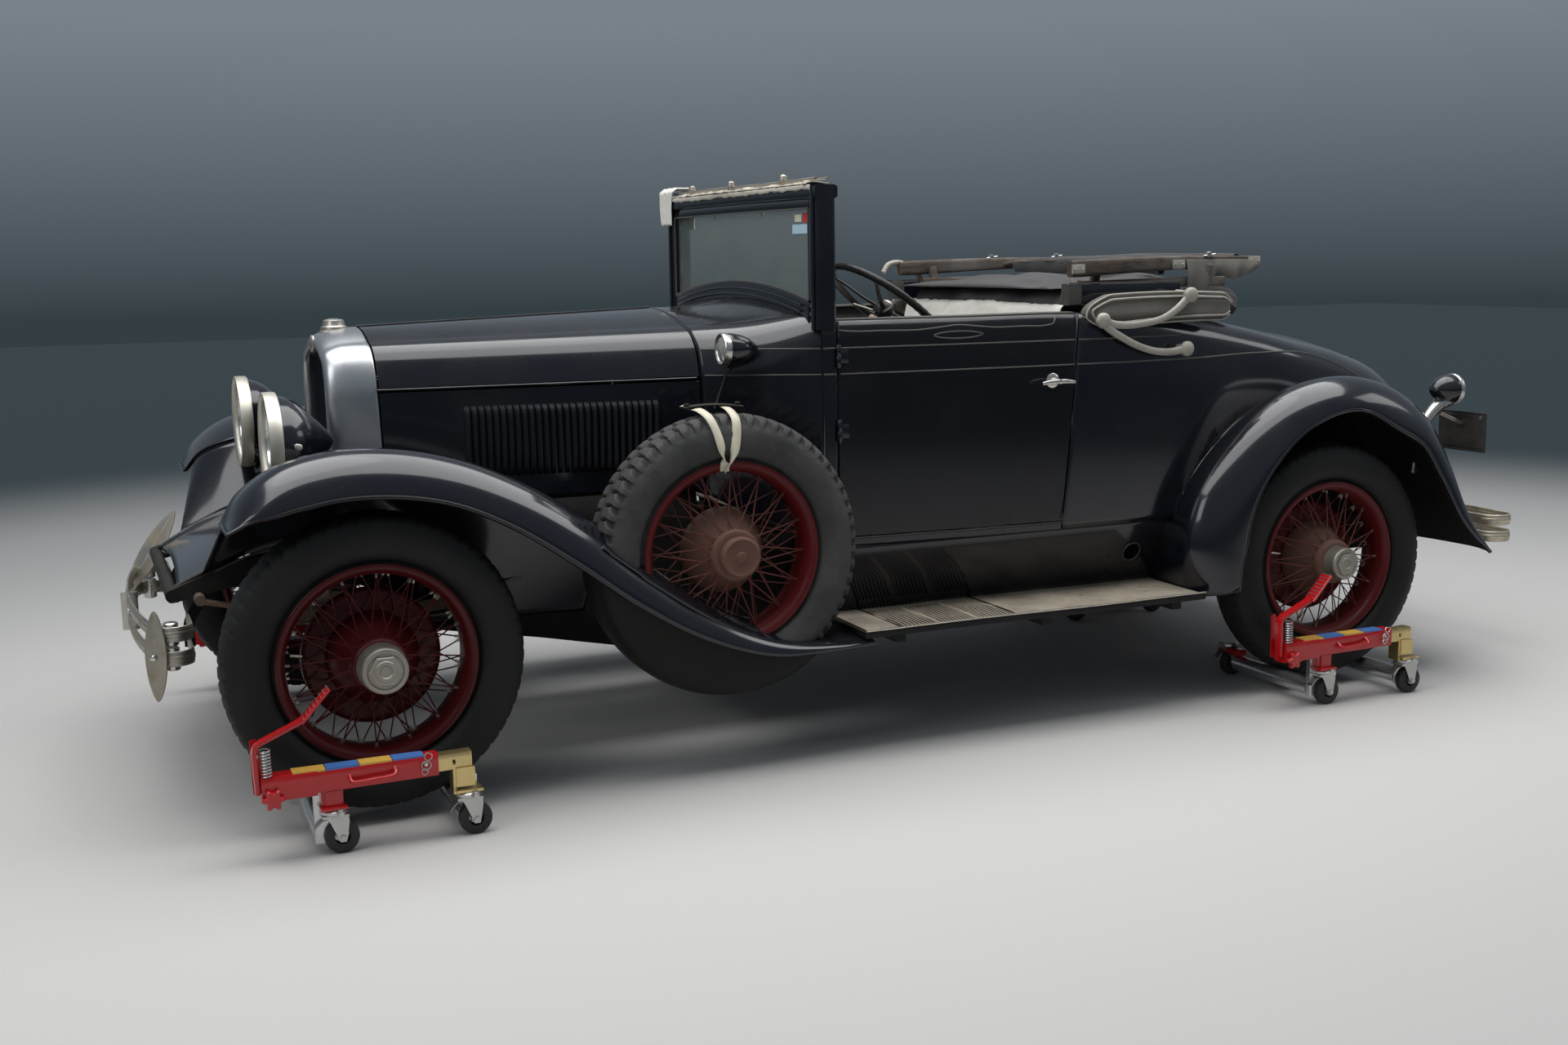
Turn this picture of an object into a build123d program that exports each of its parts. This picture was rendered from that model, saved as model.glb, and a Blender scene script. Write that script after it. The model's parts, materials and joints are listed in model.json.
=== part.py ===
from build123d import *
from math import atan2, cos, degrees, pi, radians, sin, sqrt
import os

# A two-seat convertible coupe of about 1930 with a rumble seat, standing on four wheel dollies.
# Millimetres. While it is drawn, X runs rearward from the front axle, Y to the car's right
# and Z up from the floor. On saving, everything moves so that X = 0 is the middle of the length.

# Driving dimensions: wheels and axles
WHEELBASE = 3250
TRACK = 1470
TYRE_RADIUS = 410
TYRE_WIDTH = 165
TYRE_LIFT = 40          # the dollies hold each tyre this far off the floor
RIM_FLANGE_RADIUS = 272
RIM_WIDTH = 130
KINGPIN_Y = 600
KINGPIN_RADIUS = 11
STEERING_ARM = 150
FIT = 0.3               # clearance of surfaces that seat on each other
GAP = 6                 # gap round doors, lids and bonnet halves

# Driving dimensions: body
SHEET = 5               # thickness of pressed panels
DOOR_WALL = 45
SILL_Z = 645
DOOR_TOP_Z = 1325
COWL_FRONT_X = 1070
TUB_FRONT_X = 1400
DOOR_FRONT_X = 1452
DOOR_REAR_TOP_X = 2283
DOOR_REAR_FOOT_X = 2226
RAIL_Y = 378            # middle of each chassis rail
RAIL_WIDTH = 46
BOARD_Z = 402           # top of the running boards
BOARD_OUT_Y = 860
BOARD_IN_Y = 545
HEADER_Z = 1730         # top of the windshield frame
TAIL_FLOOR_X = 2700     # here the floor steps up over the rear of the frame
TAIL_FLOOR_Z = 766
BOARD_THICKNESS = 26
MAT_THICKNESS = 3       # rubber mat on each running board, let into its trim
MAT_MARGIN = 12
MAT_INNER_STRIP = 22    # bare strip that the apron stands on
FLOOR_Z = 625           # underside of the body, on top of the rails
RADIATOR_FOOT_Z = 700
SPARE_X = 1028
SPARE_Y = 750
SPARE_Z = 664

WHEEL_Y = TRACK / 2
AXLE_Z = TYRE_RADIUS + TYRE_LIFT
SIDES = ((-1, "left"), (1, "right"))
NODES = {}


def solids_of(*items):
    found = []
    for item in items:
        if isinstance(item, (list, tuple)):
            found += solids_of(*item)
        else:
            found += list(item.solids())
    return found


def keep(node, *items):
    NODES.setdefault(node, [])
    NODES[node] += solids_of(*items)


def mirrored(*items):
    return [mirror(solid, about=Plane.XZ) for solid in solids_of(*items)]


def both(*items):
    return solids_of(*items) + mirrored(*items)


def block(x0, x1, y0, y1, z0, z1):
    middle = ((x0 + x1) / 2, (y0 + y1) / 2, (z0 + z1) / 2)
    return Pos(*middle) * Box(abs(x1 - x0), abs(y1 - y0), abs(z1 - z0))


def rod(a, b, radius):
    a, b = Vector(*a), Vector(*b)
    return extrude(Plane(origin=a, z_dir=b - a) * Circle(radius), (b - a).length)


def bar(a, b, width, height, x_dir=None):
    a, b = Vector(*a), Vector(*b)
    section = Plane(origin=a, x_dir=x_dir, z_dir=b - a) * Rectangle(width, height)
    return extrude(section, (b - a).length)


def bent_rod(points, bend, radius):
    path = FilletPolyline(*points, radius=bend)
    return sweep(Plane(origin=path @ 0, z_dir=path % 0) * Circle(radius), path)


def bent_bar(path, width, height):
    section = Plane(origin=path @ 0, x_dir=(0, 0, 1), z_dir=path % 0) * Rectangle(height, width)
    return sweep(section, path)


def side_plate(points, y0, y1):
    face = Face(Wire.make_polygon([(x, y0, z) for x, z in points]))
    return Solid.extrude(face, Vector(0, y1 - y0, 0))


def front_plate(points, x0, x1):
    face = Face(Wire.make_polygon([(x0, y, z) for y, z in points]))
    return Solid.extrude(face, Vector(x1 - x0, 0, 0))


def plan_plate(points, z0, z1):
    face = Face(Wire.make_polygon([(x, y, z0) for x, y in points]))
    return Solid.extrude(face, Vector(0, 0, z1 - z0))


# A turned shape about a line along Y: points are (distance along Y, radius)
def turned_y(points, centre):
    face = Face(Wire.make_polygon([(radius, along, 0) for along, radius in points]))
    return Pos(*centre) * revolve(face, Axis((0, 0, 0), (0, 1, 0)))


# A turned shape about a line along X: points are (distance along X, radius)
def turned_x(points, centre):
    face = Face(Wire.make_polygon([(along, radius, 0) for along, radius in points]))
    return Pos(*centre) * revolve(face, Axis((0, 0, 0), (1, 0, 0)))


# Cross-sections of the body at x, as half widths and heights:
# foot, middle of the side, belt where the shoulder starts, end of the shoulder, crown
BONNET_ROWS = (
    # x, foot y, foot z, side y, side z, belt y, belt z, shoulder y, shoulder z, crown z
    (117, 268, 800, 273, 970, 275, 1146, 176, 1284, 1324),
    (1070, 438, 800, 446, 975, 450, 1153, 322, 1306, 1357),
)
COWL_ROWS = (
    BONNET_ROWS[1],
    (1250, 540, 705, 552, 975, 552, 1190, 410, 1322, 1362),
    (TUB_FRONT_X - FIT, 634, 645, 644, 980, 638, 1262, 520, 1352, 1392),
)
TUB_ROWS = (
    (TUB_FRONT_X, 632, FLOOR_Z, 642, 980, 638, 1285, 600, 1325, 1326),
    (1840, 672, FLOOR_Z, 683, 980, 675, 1285, 640, 1325, 1326),
    (2280, 690, FLOOR_Z, 700, 980, 690, 1285, 655, 1325, 1326),
    (2780, 660, FLOOR_Z, 672, 960, 655, 1220, 560, 1298, 1320),
    (3060, 605, FLOOR_Z, 618, 930, 604, 1165, 500, 1252, 1288),
    (3320, 560, FLOOR_Z, 577, 900, 560, 1110, 430, 1200, 1240),
    (3620, 468, FLOOR_Z, 485, 860, 470, 1040, 335, 1142, 1184),
    (3880, 372, 640, 388, 820, 375, 950, 250, 1058, 1102),
    (4060, 292, 680, 304, 780, 292, 860, 180, 948, 990),
)
BULKHEAD_X = 2720       # back of the cockpit opening


# One closed section: foot line, side arc, shoulder arc and crown arc, then the same mirrored
def section(row, inset=0, lift=0):
    x, foot_y, foot_z, side_y, side_z, belt_y, belt_z, shoulder_y, shoulder_z, crown_z = row
    foot = (foot_y - inset, foot_z + inset)
    side = (side_y - inset, side_z)
    belt = (belt_y - inset, belt_z + lift)
    shoulder = (shoulder_y - inset * 0.6, shoulder_z - inset + lift)
    crown = (0, crown_z - inset + lift)
    middle = ((belt[0] + shoulder[0]) / 2, (belt[1] + shoulder[1]) / 2)
    bulge = (middle[0] + 0.41 * (belt[0] - middle[0]), middle[1] + 0.41 * (shoulder[1] - middle[1]))

    def at(point, side_sign=1):
        return (x, side_sign * point[0], point[1])

    return Wire([
        Edge.make_line(at(foot, -1), at(foot)),
        Edge.make_three_point_arc(at(foot), at(side), at(belt)),
        Edge.make_three_point_arc(at(belt), at(bulge), at(shoulder)),
        Edge.make_three_point_arc(at(shoulder), at(crown), at(shoulder, -1)),
        Edge.make_three_point_arc(at(shoulder, -1), at(bulge, -1), at(belt, -1)),
        Edge.make_three_point_arc(at(belt, -1), at(side, -1), at(foot, -1)),
    ])


def body_loft(rows, inset=0, lift=0):
    return Solid.make_loft([section(row, inset, lift) for row in rows], ruled=True)


def moved_row(row, x):
    return (x,) + row[1:]


# Row between two rows of a table, at a given x
def row_at(rows, x):
    for low, high in zip(rows, rows[1:]):
        if low[0] <= x <= high[0]:
            share = (x - low[0]) / (high[0] - low[0])
            return tuple(a + share * (b - a) for a, b in zip(low, high))
    raise ValueError("x lies outside the rows")


def rows_between(rows, x0, x1):
    inner = [row for row in rows if x0 < row[0] < x1]
    return [row_at(rows, x0)] + inner + [row_at(rows, x1)]


# Chassis frame: two channel rails with kick-ups over the axles, and cross members
RAIL_TOP_Z = FLOOR_Z - FIT
RAIL_OUT_Y = RAIL_Y + RAIL_WIDTH / 2
RAIL_TOP = (
    # x, z of the top edge, depth of the web
    (-489, 628, 38),
    (-330, 690, 70),
    (-120, 720, 100),
    (150, 700, 130),
    (520, RAIL_TOP_Z, 150),
    (TAIL_FLOOR_X, RAIL_TOP_Z, 150),
    (3000, 735, 120),
    (3350, 752, 100),
    (3700, 700, 90),
    (4040, 640, 60),
)
CROSS_MEMBERS = (
    # x, z of the top, depth along X
    (70, RADIATOR_FOOT_Z - FIT, 90),
    (1125, RAIL_TOP_Z, 80),
    (2520, RAIL_TOP_Z, 90),
    (3050, 720, 70),
    (3980, 655, 60),
)
BOARD_BRACKET_X = (1560, 2080, 2580)


def chassis_frame():
    flange = 7
    outline = [(x, z) for x, z, depth in RAIL_TOP]
    outline += [(x, z - depth) for x, z, depth in reversed(RAIL_TOP)]
    hollow = [(x, z - flange) for x, z, depth in RAIL_TOP[1:-1]]
    hollow += [(x, z - depth + flange) for x, z, depth in reversed(RAIL_TOP[1:-1])]
    inner_y = RAIL_Y - RAIL_WIDTH / 2
    outer_y = RAIL_Y + RAIL_WIDTH / 2
    rail = side_plate(outline, inner_y, outer_y) - side_plate(hollow, inner_y - 1, outer_y - flange)
    pieces = both(rail)
    for x, z, length in CROSS_MEMBERS:
        pieces.append(block(x - length / 2, x + length / 2, -outer_y + 5, outer_y - 5, z - 58, z))
    web_z = RAIL_TOP_Z - 150
    under = BOARD_Z - BOARD_THICKNESS - FIT
    for x in BOARD_BRACKET_X:
        profile = ((outer_y - 4, web_z + 45), (outer_y - 4, web_z), (BOARD_IN_Y - 20, under - 24),
                   (BOARD_OUT_Y - 20, under - 24), (BOARD_OUT_Y - 20, under), (BOARD_IN_Y - 10, under))
        pieces += both(front_plate(profile, x - 18, x + 18))
    horn_x, horn_z, horn_depth = RAIL_TOP[0]
    pieces.append(rod((horn_x, -outer_y, horn_z - horn_depth / 2), (horn_x, outer_y, horn_z - horn_depth / 2), 19))
    frame = pieces[0]
    for piece in pieces[1:]:
        frame += piece
    keep("chassis_frame", frame)


# Leaf springs beside the rails: concentric leaves, each shorter than the one above, on pins at both eyes
SPRING_Y = RAIL_OUT_Y + 29
SPRING_WIDTH = 50
LEAF = 9
LEAVES = 5
SPRINGS = (
    # front eye x, z, rear eye x, z, x and z of the seat on the axle
    (-420, 600, 520, 600, 0, 490.6),
    (2600, 556, 3745, 612, WHEELBASE, 497.6),
)


def leaf_springs():
    for x0, z0, x1, z1, seat_x, seat_z in SPRINGS:
        top_z = seat_z + FIT + LEAF * LEAVES
        main = Edge.make_three_point_arc((x0, 0, z0), (seat_x, 0, top_z), (x1, 0, z1))
        centre = main.arc_center
        radius = main.radius
        spring = None
        for number in range(LEAVES):
            share = 1 - 0.17 * number
            outer = Pos(centre.X, 0, centre.Z) * Rot(90, 0, 0) * Cylinder(radius + LEAF * (number + 1), SPRING_WIDTH)
            inner = Pos(centre.X, 0, centre.Z) * Rot(90, 0, 0) * Cylinder(radius + LEAF * number, SPRING_WIDTH)
            window = block(seat_x + (x0 - seat_x) * share, seat_x + (x1 - seat_x) * share, -100, 100, 300, 700)
            leaf = (outer - inner) & window
            spring = leaf if spring is None else spring + leaf
        for x, z in ((x0, z0), (x1, z1)):
            spring += rod((x, -SPRING_WIDTH / 2 - 4 + FIT, z), (x, SPRING_WIDTH / 2, z), 15)
        keep("leaf_springs", both(Pos(0, SPRING_Y, 0) * spring))


# Front axle: an I-section beam with its middle dropped, and an eye for each kingpin
def front_axle():
    outline = ((-572, 490), (-350, 490), (-250, 440), (250, 440), (350, 490), (572, 490))
    beam_depth = 62
    points = list(outline) + [(y, z - beam_depth) for y, z in reversed(outline)]
    beam = front_plate(points, -28, 28)
    waist = [(y, z - 14) for y, z in outline[1:-1]] + [(y, z - beam_depth + 14) for y, z in reversed(outline[1:-1])]
    beam -= front_plate(waist, 10, 30)
    beam -= front_plate(waist, -30, -10)
    eye_height = 84
    for side, name in SIDES:
        low = AXLE_Z - eye_height / 2
        beam += Pos(0, side * KINGPIN_Y, AXLE_Z) * Cylinder(29, eye_height)
        beam += Pos(0, side * KINGPIN_Y, AXLE_Z) * Cylinder(KINGPIN_RADIUS, eye_height + 76)
    keep("front_axle", beam)


# Knuckle: fork round the axle eye, spindle for the hub, brake backing plate, steering arm
DRUM_RADIUS = 190
SPINDLE_RADIUS = 20
SPINDLE_REACH = 140
BALL_PIN_RADIUS = 8


def knuckle():
    y = KINGPIN_Y
    fork = []
    for sign in (-1, 1):
        lug = Pos(0, y, AXLE_Z + sign * 58) * Cylinder(30, 30)
        lug += block(-30, 30, y, y + 52, AXLE_Z + sign * 58 - 15, AXLE_Z + sign * 58 + 15)
        fork.append(lug)
    body = fork[0] + fork[1] + block(-34, 34, y + 34, y + 54, AXLE_Z - 73, AXLE_Z + 73)
    body += turned_y(((0, 0), (0, DRUM_RADIUS - 8), (6, DRUM_RADIUS - 8), (6, SPINDLE_RADIUS), (SPINDLE_REACH, SPINDLE_RADIUS),
                      (SPINDLE_REACH, 0)), (0, y + 54, AXLE_Z))
    arm = bar((0, y, AXLE_Z - 66), (STEERING_ARM, y, AXLE_Z - 66), 30, 16, (0, 1, 0))
    body += arm + Pos(STEERING_ARM, y, AXLE_Z - 66) * Cylinder(17, 16)
    body -= Pos(0, y, AXLE_Z) * Cylinder(KINGPIN_RADIUS + FIT, 200)
    body -= Pos(STEERING_ARM, y, AXLE_Z - 66) * Cylinder(BALL_PIN_RADIUS + FIT, 60)
    return body


def tie_rod():
    z = AXLE_Z - 66 - 27
    link = rod((STEERING_ARM, -KINGPIN_Y + 14, z), (STEERING_ARM, KINGPIN_Y - 14, z), 13)
    for side, name in SIDES:
        link += Pos(STEERING_ARM, side * KINGPIN_Y, z) * Cylinder(18, 30)
        link += Pos(STEERING_ARM, side * KINGPIN_Y, z + 27) * Cylinder(BALL_PIN_RADIUS, 40)
    keep("tie_rod", link)


# Rear axle: tubes, differential housing, torque tube and gearbox, fixed backing plates, half-shaft ends
def rear_axle():
    centre = (WHEELBASE, 0, AXLE_Z)
    axle = turned_y(((-652, 0), (-652, 42), (-200, 52), (-110, 110), (0, 150), (110, 110), (200, 52),
                     (652, 42), (652, 0)), centre)
    for side, name in SIDES:
        profile = ((652, 0), (652, DRUM_RADIUS - 8), (658, DRUM_RADIUS - 8), (658, SPINDLE_RADIUS), (794, SPINDLE_RADIUS),
                   (794, 0))
        axle += turned_y([(side * along, radius) for along, radius in profile], centre)
    axle += rod((1500, 0, 500), (WHEELBASE - 60, 0, AXLE_Z + 10), 48)
    axle += block(ENGINE_REAR_X + FIT, 1520, -110, 110, 440, 560)
    keep("rear_axle", axle)


# The engine as one block on four feet that rest on the rails
ENGINE_REAR_X = 1078


def engine_block():
    engine = block(165, ENGINE_REAR_X, -150, 150, 470, 1090)
    for x in (560, 960):
        engine += block(x, x + 70, -RAIL_Y, RAIL_Y, FLOOR_Z, FLOOR_Z + 24)
    keep("engine_block", engine)


def exhaust():
    y = 205
    pipe = bent_rod(((900, y, 760), (900, y, 430), (2050, y, 428)), 90, 24)
    pipe += block(875, 925, 150 + FIT, y, 730, 770)
    tail = bent_rod(((2600, y, 430), (3000, y, 430), (3120, y, 566), (3380, y, 566), (3500, y, 428), (4060, y, 426)), 60, 22)
    silencer = rod((2045, y, 430), (2605, y, 430), 72)
    keep("exhaust", pipe + silencer + tail)


def fuel_tank():
    rear_x = CROSS_MEMBERS[-1][0] - CROSS_MEMBERS[-1][2] / 2 - FIT
    face = Plane.XZ * Pos(rear_x - 185, 570) * RectangleRounded(370, 190, 60)
    tank = Pos(0, 320, 0) * extrude(face, 640)
    keep("fuel_tank", tank)


# Tyre, turned about Y: rounded shoulders, flat tread, sides down to the rim flange
def tyre(centre):
    half = TYRE_WIDTH / 2
    outer = TYRE_RADIUS
    bead = RIM_FLANGE_RADIUS - 20 + FIT
    flange = RIM_FLANGE_RADIUS + 1
    rim_half = RIM_WIDTH / 2 - 8 - FIT
    right = [
        Edge.make_line((outer, -half * 0.62, 0), (outer, half * 0.62, 0)),
        Edge.make_three_point_arc((outer, half * 0.62, 0), (outer - 17, half * 0.89, 0), (outer - 52, half, 0)),
        Edge.make_three_point_arc((outer - 52, half, 0), (outer - 105, half * 0.95, 0), (flange, rim_half, 0)),
        Edge.make_line((flange, rim_half, 0), (bead, rim_half, 0)),
        Edge.make_line((bead, rim_half, 0), (bead, -rim_half, 0)),
        Edge.make_line((bead, -rim_half, 0), (flange, -rim_half, 0)),
        Edge.make_three_point_arc((flange, -rim_half, 0), (outer - 105, -half * 0.95, 0), (outer - 52, -half, 0)),
        Edge.make_three_point_arc((outer - 52, -half, 0), (outer - 17, -half * 0.89, 0), (outer, -half * 0.62, 0)),
    ]
    return Pos(*centre) * revolve(Face(Wire(right)), Axis((0, 0, 0), (0, 1, 0)))


SPOKE_ROWS = (
    # hub radius, hub y, rim y, count, lean round the wheel in degrees
    (98, -30, -24, 20, 24),
    (98, -30, -24, 20, -24),
    (72, 74, 20, 16, 20),
    (72, 74, 20, 16, -20),
)
HUB_CAP_RADIUS = 65
HUB_CAP_OUT = 183       # the cap's face is this far outside the wheel's middle plane


# Wire wheel about Y, outer side towards +Y: rim channel, crossed spokes, hub shell and hexagonal cap
def wire_wheel():
    half = RIM_WIDTH / 2
    edge = RIM_FLANGE_RADIUS
    well = edge - 26
    wheel = turned_y(((-half, edge), (-half + 7, edge), (-half + 8, well + 6), (half - 8, well + 6), (half - 7, edge),
                      (half, edge), (half, edge - 10), (half - 14, well), (-half + 14, well), (-half, edge - 10)),
                     (0, 0, 0))
    bore = SPINDLE_RADIUS + 0.5
    hub = turned_y(((-48, bore), (-48, 78), (-36, 106), (-20, 106), (30, 96), (62, 80), (84, 76), (96, HUB_CAP_RADIUS),
                    (HUB_CAP_OUT - 26, HUB_CAP_RADIUS), (HUB_CAP_OUT - 14, 58), (HUB_CAP_OUT, 50),
                    (HUB_CAP_OUT, 0), (110, 0), (110, bore)), (0, 0, 0))
    cap_nut = Plane(origin=(0, HUB_CAP_OUT - 22, 0), z_dir=(0, 1, 0)) * RegularPolygon(54, 6)
    hub += extrude(cap_nut, 26)
    spokes = []
    for hub_radius, hub_y, rim_y, count, lean in SPOKE_ROWS:
        for number in range(count):
            turn = 2 * pi * (number + 0.25 * (lean > 0)) / count
            rim_turn = turn + radians(lean)
            a = ((hub_radius - 4) * cos(turn), hub_y, (hub_radius - 4) * sin(turn))
            b = ((well + 3) * cos(rim_turn), rim_y, (well + 3) * sin(rim_turn))
            spokes.append(bar(a, b, 4.6, 4.6))
    return wheel.fuse(hub, *solids_of(spokes))


def brake_drum():
    y0 = 664 - WHEEL_Y
    y1 = -40
    r = DRUM_RADIUS
    return turned_y(((y0, r), (y1 - 10, r), (y1, r - 12), (y1, 60), (y1 - 8, 60), (y1 - 8, r - 18), (y0, r - 7)), (0, 0, 0))


WHEELS = (
    # corner, x, side
    ("front_left", 0, -1),
    ("front_right", 0, 1),
    ("rear_left", WHEELBASE, -1),
    ("rear_right", WHEELBASE, 1),
)


def turned_out(solid, side):
    return solid if side > 0 else Rot(0, 0, 180) * solid


def wheels():
    plain = wire_wheel()
    road = plain + brake_drum()
    for corner, x, side in WHEELS:
        centre = (x, side * WHEEL_Y, AXLE_Z)
        keep("tyre_" + corner, tyre(centre))
        keep("wheel_" + corner, Pos(*centre) * turned_out(road, side))
    for side, name in SIDES:
        centre = (SPARE_X, side * SPARE_Y, SPARE_Z)
        keep("spare_tyres", tyre(centre))
        keep("spare_wheels", Pos(*centre) * turned_out(plain, side))


# Each spare hangs on a bracket from the rail
def spare_carriers():
    arm = bar((SPARE_X, RAIL_OUT_Y + 8, 580), (SPARE_X, SPARE_Y - 60, SPARE_Z), 60, 26, (1, 0, 0))
    arm += block(SPARE_X - 60, SPARE_X + 60, RAIL_OUT_Y + FIT, RAIL_OUT_Y + 12, 500, 610)
    plate = Pos(SPARE_X, SPARE_Y - 48 - FIT - 8, SPARE_Z) * Rot(90, 0, 0) * Cylinder(72, 16)
    stub = rod((SPARE_X, SPARE_Y - 80, SPARE_Z), (SPARE_X, SPARE_Y + 60, SPARE_Z), SPINDLE_RADIUS)
    return arm + plate + stub


# Radiator shell: a plated hood-shaped band, open in front for the grille
RADIATOR_FRONT_X = -16
RADIATOR_REAR_X = 117
RADIATOR_ROWS = (
    (RADIATOR_FRONT_X, 244, RADIATOR_FOOT_Z, 247, 950, 246, 1130, 168, 1262, 1300),
    (30, 256, RADIATOR_FOOT_Z, 259, 960, 258, 1138, 174, 1278, 1318),
    (RADIATOR_REAR_X, 272, RADIATOR_FOOT_Z, 276, 965, 276, 1146, 176, 1284, 1324),
)


def radiator():
    wall = 20
    shell = body_loft(RADIATOR_ROWS)
    inner_rows = [moved_row(RADIATOR_ROWS[0], RADIATOR_FRONT_X - 5), RADIATOR_ROWS[1],
                  moved_row(RADIATOR_ROWS[2], RADIATOR_REAR_X + 5)]
    shell -= body_loft(inner_rows, wall)
    cap_x = 51
    shell += Pos(cap_x, 0, 1322) * Cylinder(40, 16)
    shell += Pos(cap_x, 0, 1338) * Cylinder(33, 18)
    keep("radiator_shell", shell)
    bars = block(45, 100, -226, 226, 722, 1225)
    for number in range(27):
        y = -208 + number * 16
        bars += block(22, 48, y - 3, y + 3, 730, 1222)
    trimmed = bars & body_loft(inner_rows, wall + FIT)
    keep("radiator_grille", trimmed)


def ridge_z(x):
    low, high = BONNET_ROWS
    return low[9] + (high[9] - low[9]) * (x - low[0]) / (high[0] - low[0])


RIDGE_SLOPE = atan2(BONNET_ROWS[1][9] - BONNET_ROWS[0][9], BONNET_ROWS[1][0] - BONNET_ROWS[0][0])


# A slab square to the bonnet ridge, between two places along it
def ridge_slab(x0, x1):
    tilt = degrees(RIDGE_SLOPE)
    slab = Pos((x1 - x0) / 2, 0, 0) * Box(x1 - x0, 2400, 2400)
    return Pos(x0, 0, ridge_z(x0)) * Rot(0, -tilt, 0) * slab


RIDGE_ROD = 4.5
LOUVRES = 28
LOUVRE_FIRST_X = 372
LOUVRE_LAST_X = 932


# Bonnet half: top panel and louvred side panel, which swing up together about the ridge
def bonnet():
    low, high = BONNET_ROWS
    before = tuple(a - 0.08 * (b - a) for a, b in zip(low, high))
    after = tuple(b + 0.08 * (b - a) for a, b in zip(low, high))
    outer = body_loft((before, after))
    inner = body_loft((before, after), SHEET)
    shell = (outer - inner) & ridge_slab(RADIATOR_REAR_X + GAP, COWL_FRONT_X - GAP)
    foot_z = 812
    shell = shell & block(0, 1400, RIDGE_ROD + 0.7, 700, foot_z, 1500)
    hinge_z = (low[6] + high[6]) / 2
    top = shell & block(0, 1400, 0, 700, hinge_z + FIT / 2, 1500)
    side = shell & block(0, 1400, 0, 700, foot_z, hinge_z - FIT / 2)
    step = (LOUVRE_LAST_X - LOUVRE_FIRST_X) / (LOUVRES - 1)
    lips = []
    for number in range(LOUVRES):
        x = LOUVRE_FIRST_X + number * step
        y = row_at(BONNET_ROWS, x)[3] - SHEET / 2
        face = Face(Wire.make_polygon([(x - 6, y - 1, 880), (x + 8, y - 1, 880), (x + 8, y + 15, 880)]))
        lips.append(Solid.extrude(face, Vector(0, 0, 210)))
    side = side.fuse(*lips)
    for sign, name in SIDES:
        pieces = [top, side] if sign > 0 else mirrored(top, side)
        keep("bonnet_" + name, pieces)


# Cowl: hollow, open at the rear towards the cockpit, with the ridge rod that the bonnet hangs on
COWL_WALL = 22


def cowl(column):
    outer = body_loft(COWL_ROWS) & ridge_slab(COWL_FRONT_X, TUB_FRONT_X + 300)
    rows = [moved_row(COWL_ROWS[0], COWL_FRONT_X + 24)] + list(COWL_ROWS[1:-1])
    rows.append(moved_row(COWL_ROWS[-1], TUB_FRONT_X + 10))
    shell = outer - body_loft(rows, COWL_WALL)
    rod_end = COWL_FRONT_X + 20
    ridge = rod((RADIATOR_REAR_X + FIT, 0, ridge_z(RADIATOR_REAR_X)), (rod_end, 0, ridge_z(rod_end)), RIDGE_ROD)
    keep("cowl", (shell + ridge) - column)
    return outer


# Tub: side walls round the cockpit, floor, bulkhead and a hollow tail whose floor steps over the frame
TAIL_FLOOR_Y = 425
DOOR_FOOT_Z = 655


def body_parts():
    rear_x = TUB_ROWS[-1][0]
    outer = body_loft(TUB_ROWS)
    plan = [(row[0], row[3] - DOOR_WALL) for row in rows_between(TUB_ROWS, TUB_FRONT_X, BULKHEAD_X)]
    plan[0] = (TUB_FRONT_X - 5, plan[0][1])
    plan += [(x, -y) for x, y in reversed(plan)]
    cockpit = plan_plate(plan, SILL_Z, 1400)
    tail = body_loft(rows_between(TUB_ROWS, BULKHEAD_X + 22, rear_x - 22), 20)
    step = block(TAIL_FLOOR_X, rear_x + 20, -TAIL_FLOOR_Y, TAIL_FLOOR_Y, 500, TAIL_FLOOR_Z)
    riser = block(TAIL_FLOOR_X - 18, TAIL_FLOOR_X, -TAIL_FLOOR_Y - 18, TAIL_FLOOR_Y + 18, FLOOR_Z, TAIL_FLOOR_Z + 18)
    roof = block(TAIL_FLOOR_X - 18, rear_x - 2, -TAIL_FLOOR_Y - 18, TAIL_FLOOR_Y + 18, TAIL_FLOOR_Z, TAIL_FLOOR_Z + 18)
    tub = (outer - cockpit - tail - step) + ((riser + roof) & outer)
    slot = ((DOOR_FRONT_X, DOOR_FOOT_Z), (DOOR_FRONT_X, 1400), (DOOR_REAR_TOP_X, 1400), (DOOR_REAR_FOOT_X, DOOR_FOOT_Z))
    gap = ((DOOR_FRONT_X - GAP, DOOR_FOOT_Z - GAP), (DOOR_FRONT_X - GAP, 1400), (DOOR_REAR_TOP_X + GAP, 1400),
           (DOOR_REAR_FOOT_X + GAP, DOOR_FOOT_Z - GAP))
    doors = {}
    for sign, name in SIDES:
        doors[name] = tub & side_plate(slot, sign * 400, sign * 900)
        tub = tub - side_plate(gap, sign * 400, sign * 900)
    lid_plan = ((LID_FRONT_X, -LID_FRONT_Y), (LID_FRONT_X, LID_FRONT_Y), (LID_REAR_X, LID_REAR_Y), (LID_REAR_X, -LID_REAR_Y))
    gap_plan = ((LID_FRONT_X - GAP, -LID_FRONT_Y - GAP), (LID_FRONT_X - GAP, LID_FRONT_Y + GAP),
                (LID_REAR_X + GAP, LID_REAR_Y + GAP), (LID_REAR_X + GAP, -LID_REAR_Y - GAP))
    lid = tub & plan_plate(lid_plan, 900, 1400)
    tub = tub - plan_plate(gap_plan, 900, 1400)
    return outer, tub, doors, lid


# Rumble lid hinges: barrels across the rear edge, one on the lid beside one on the deck
LID_HINGE_X = 3903
LID_HINGE_R = 7


def lid_hinge_z():
    return row_at(TUB_ROWS, LID_HINGE_X)[9] + 1


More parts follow.
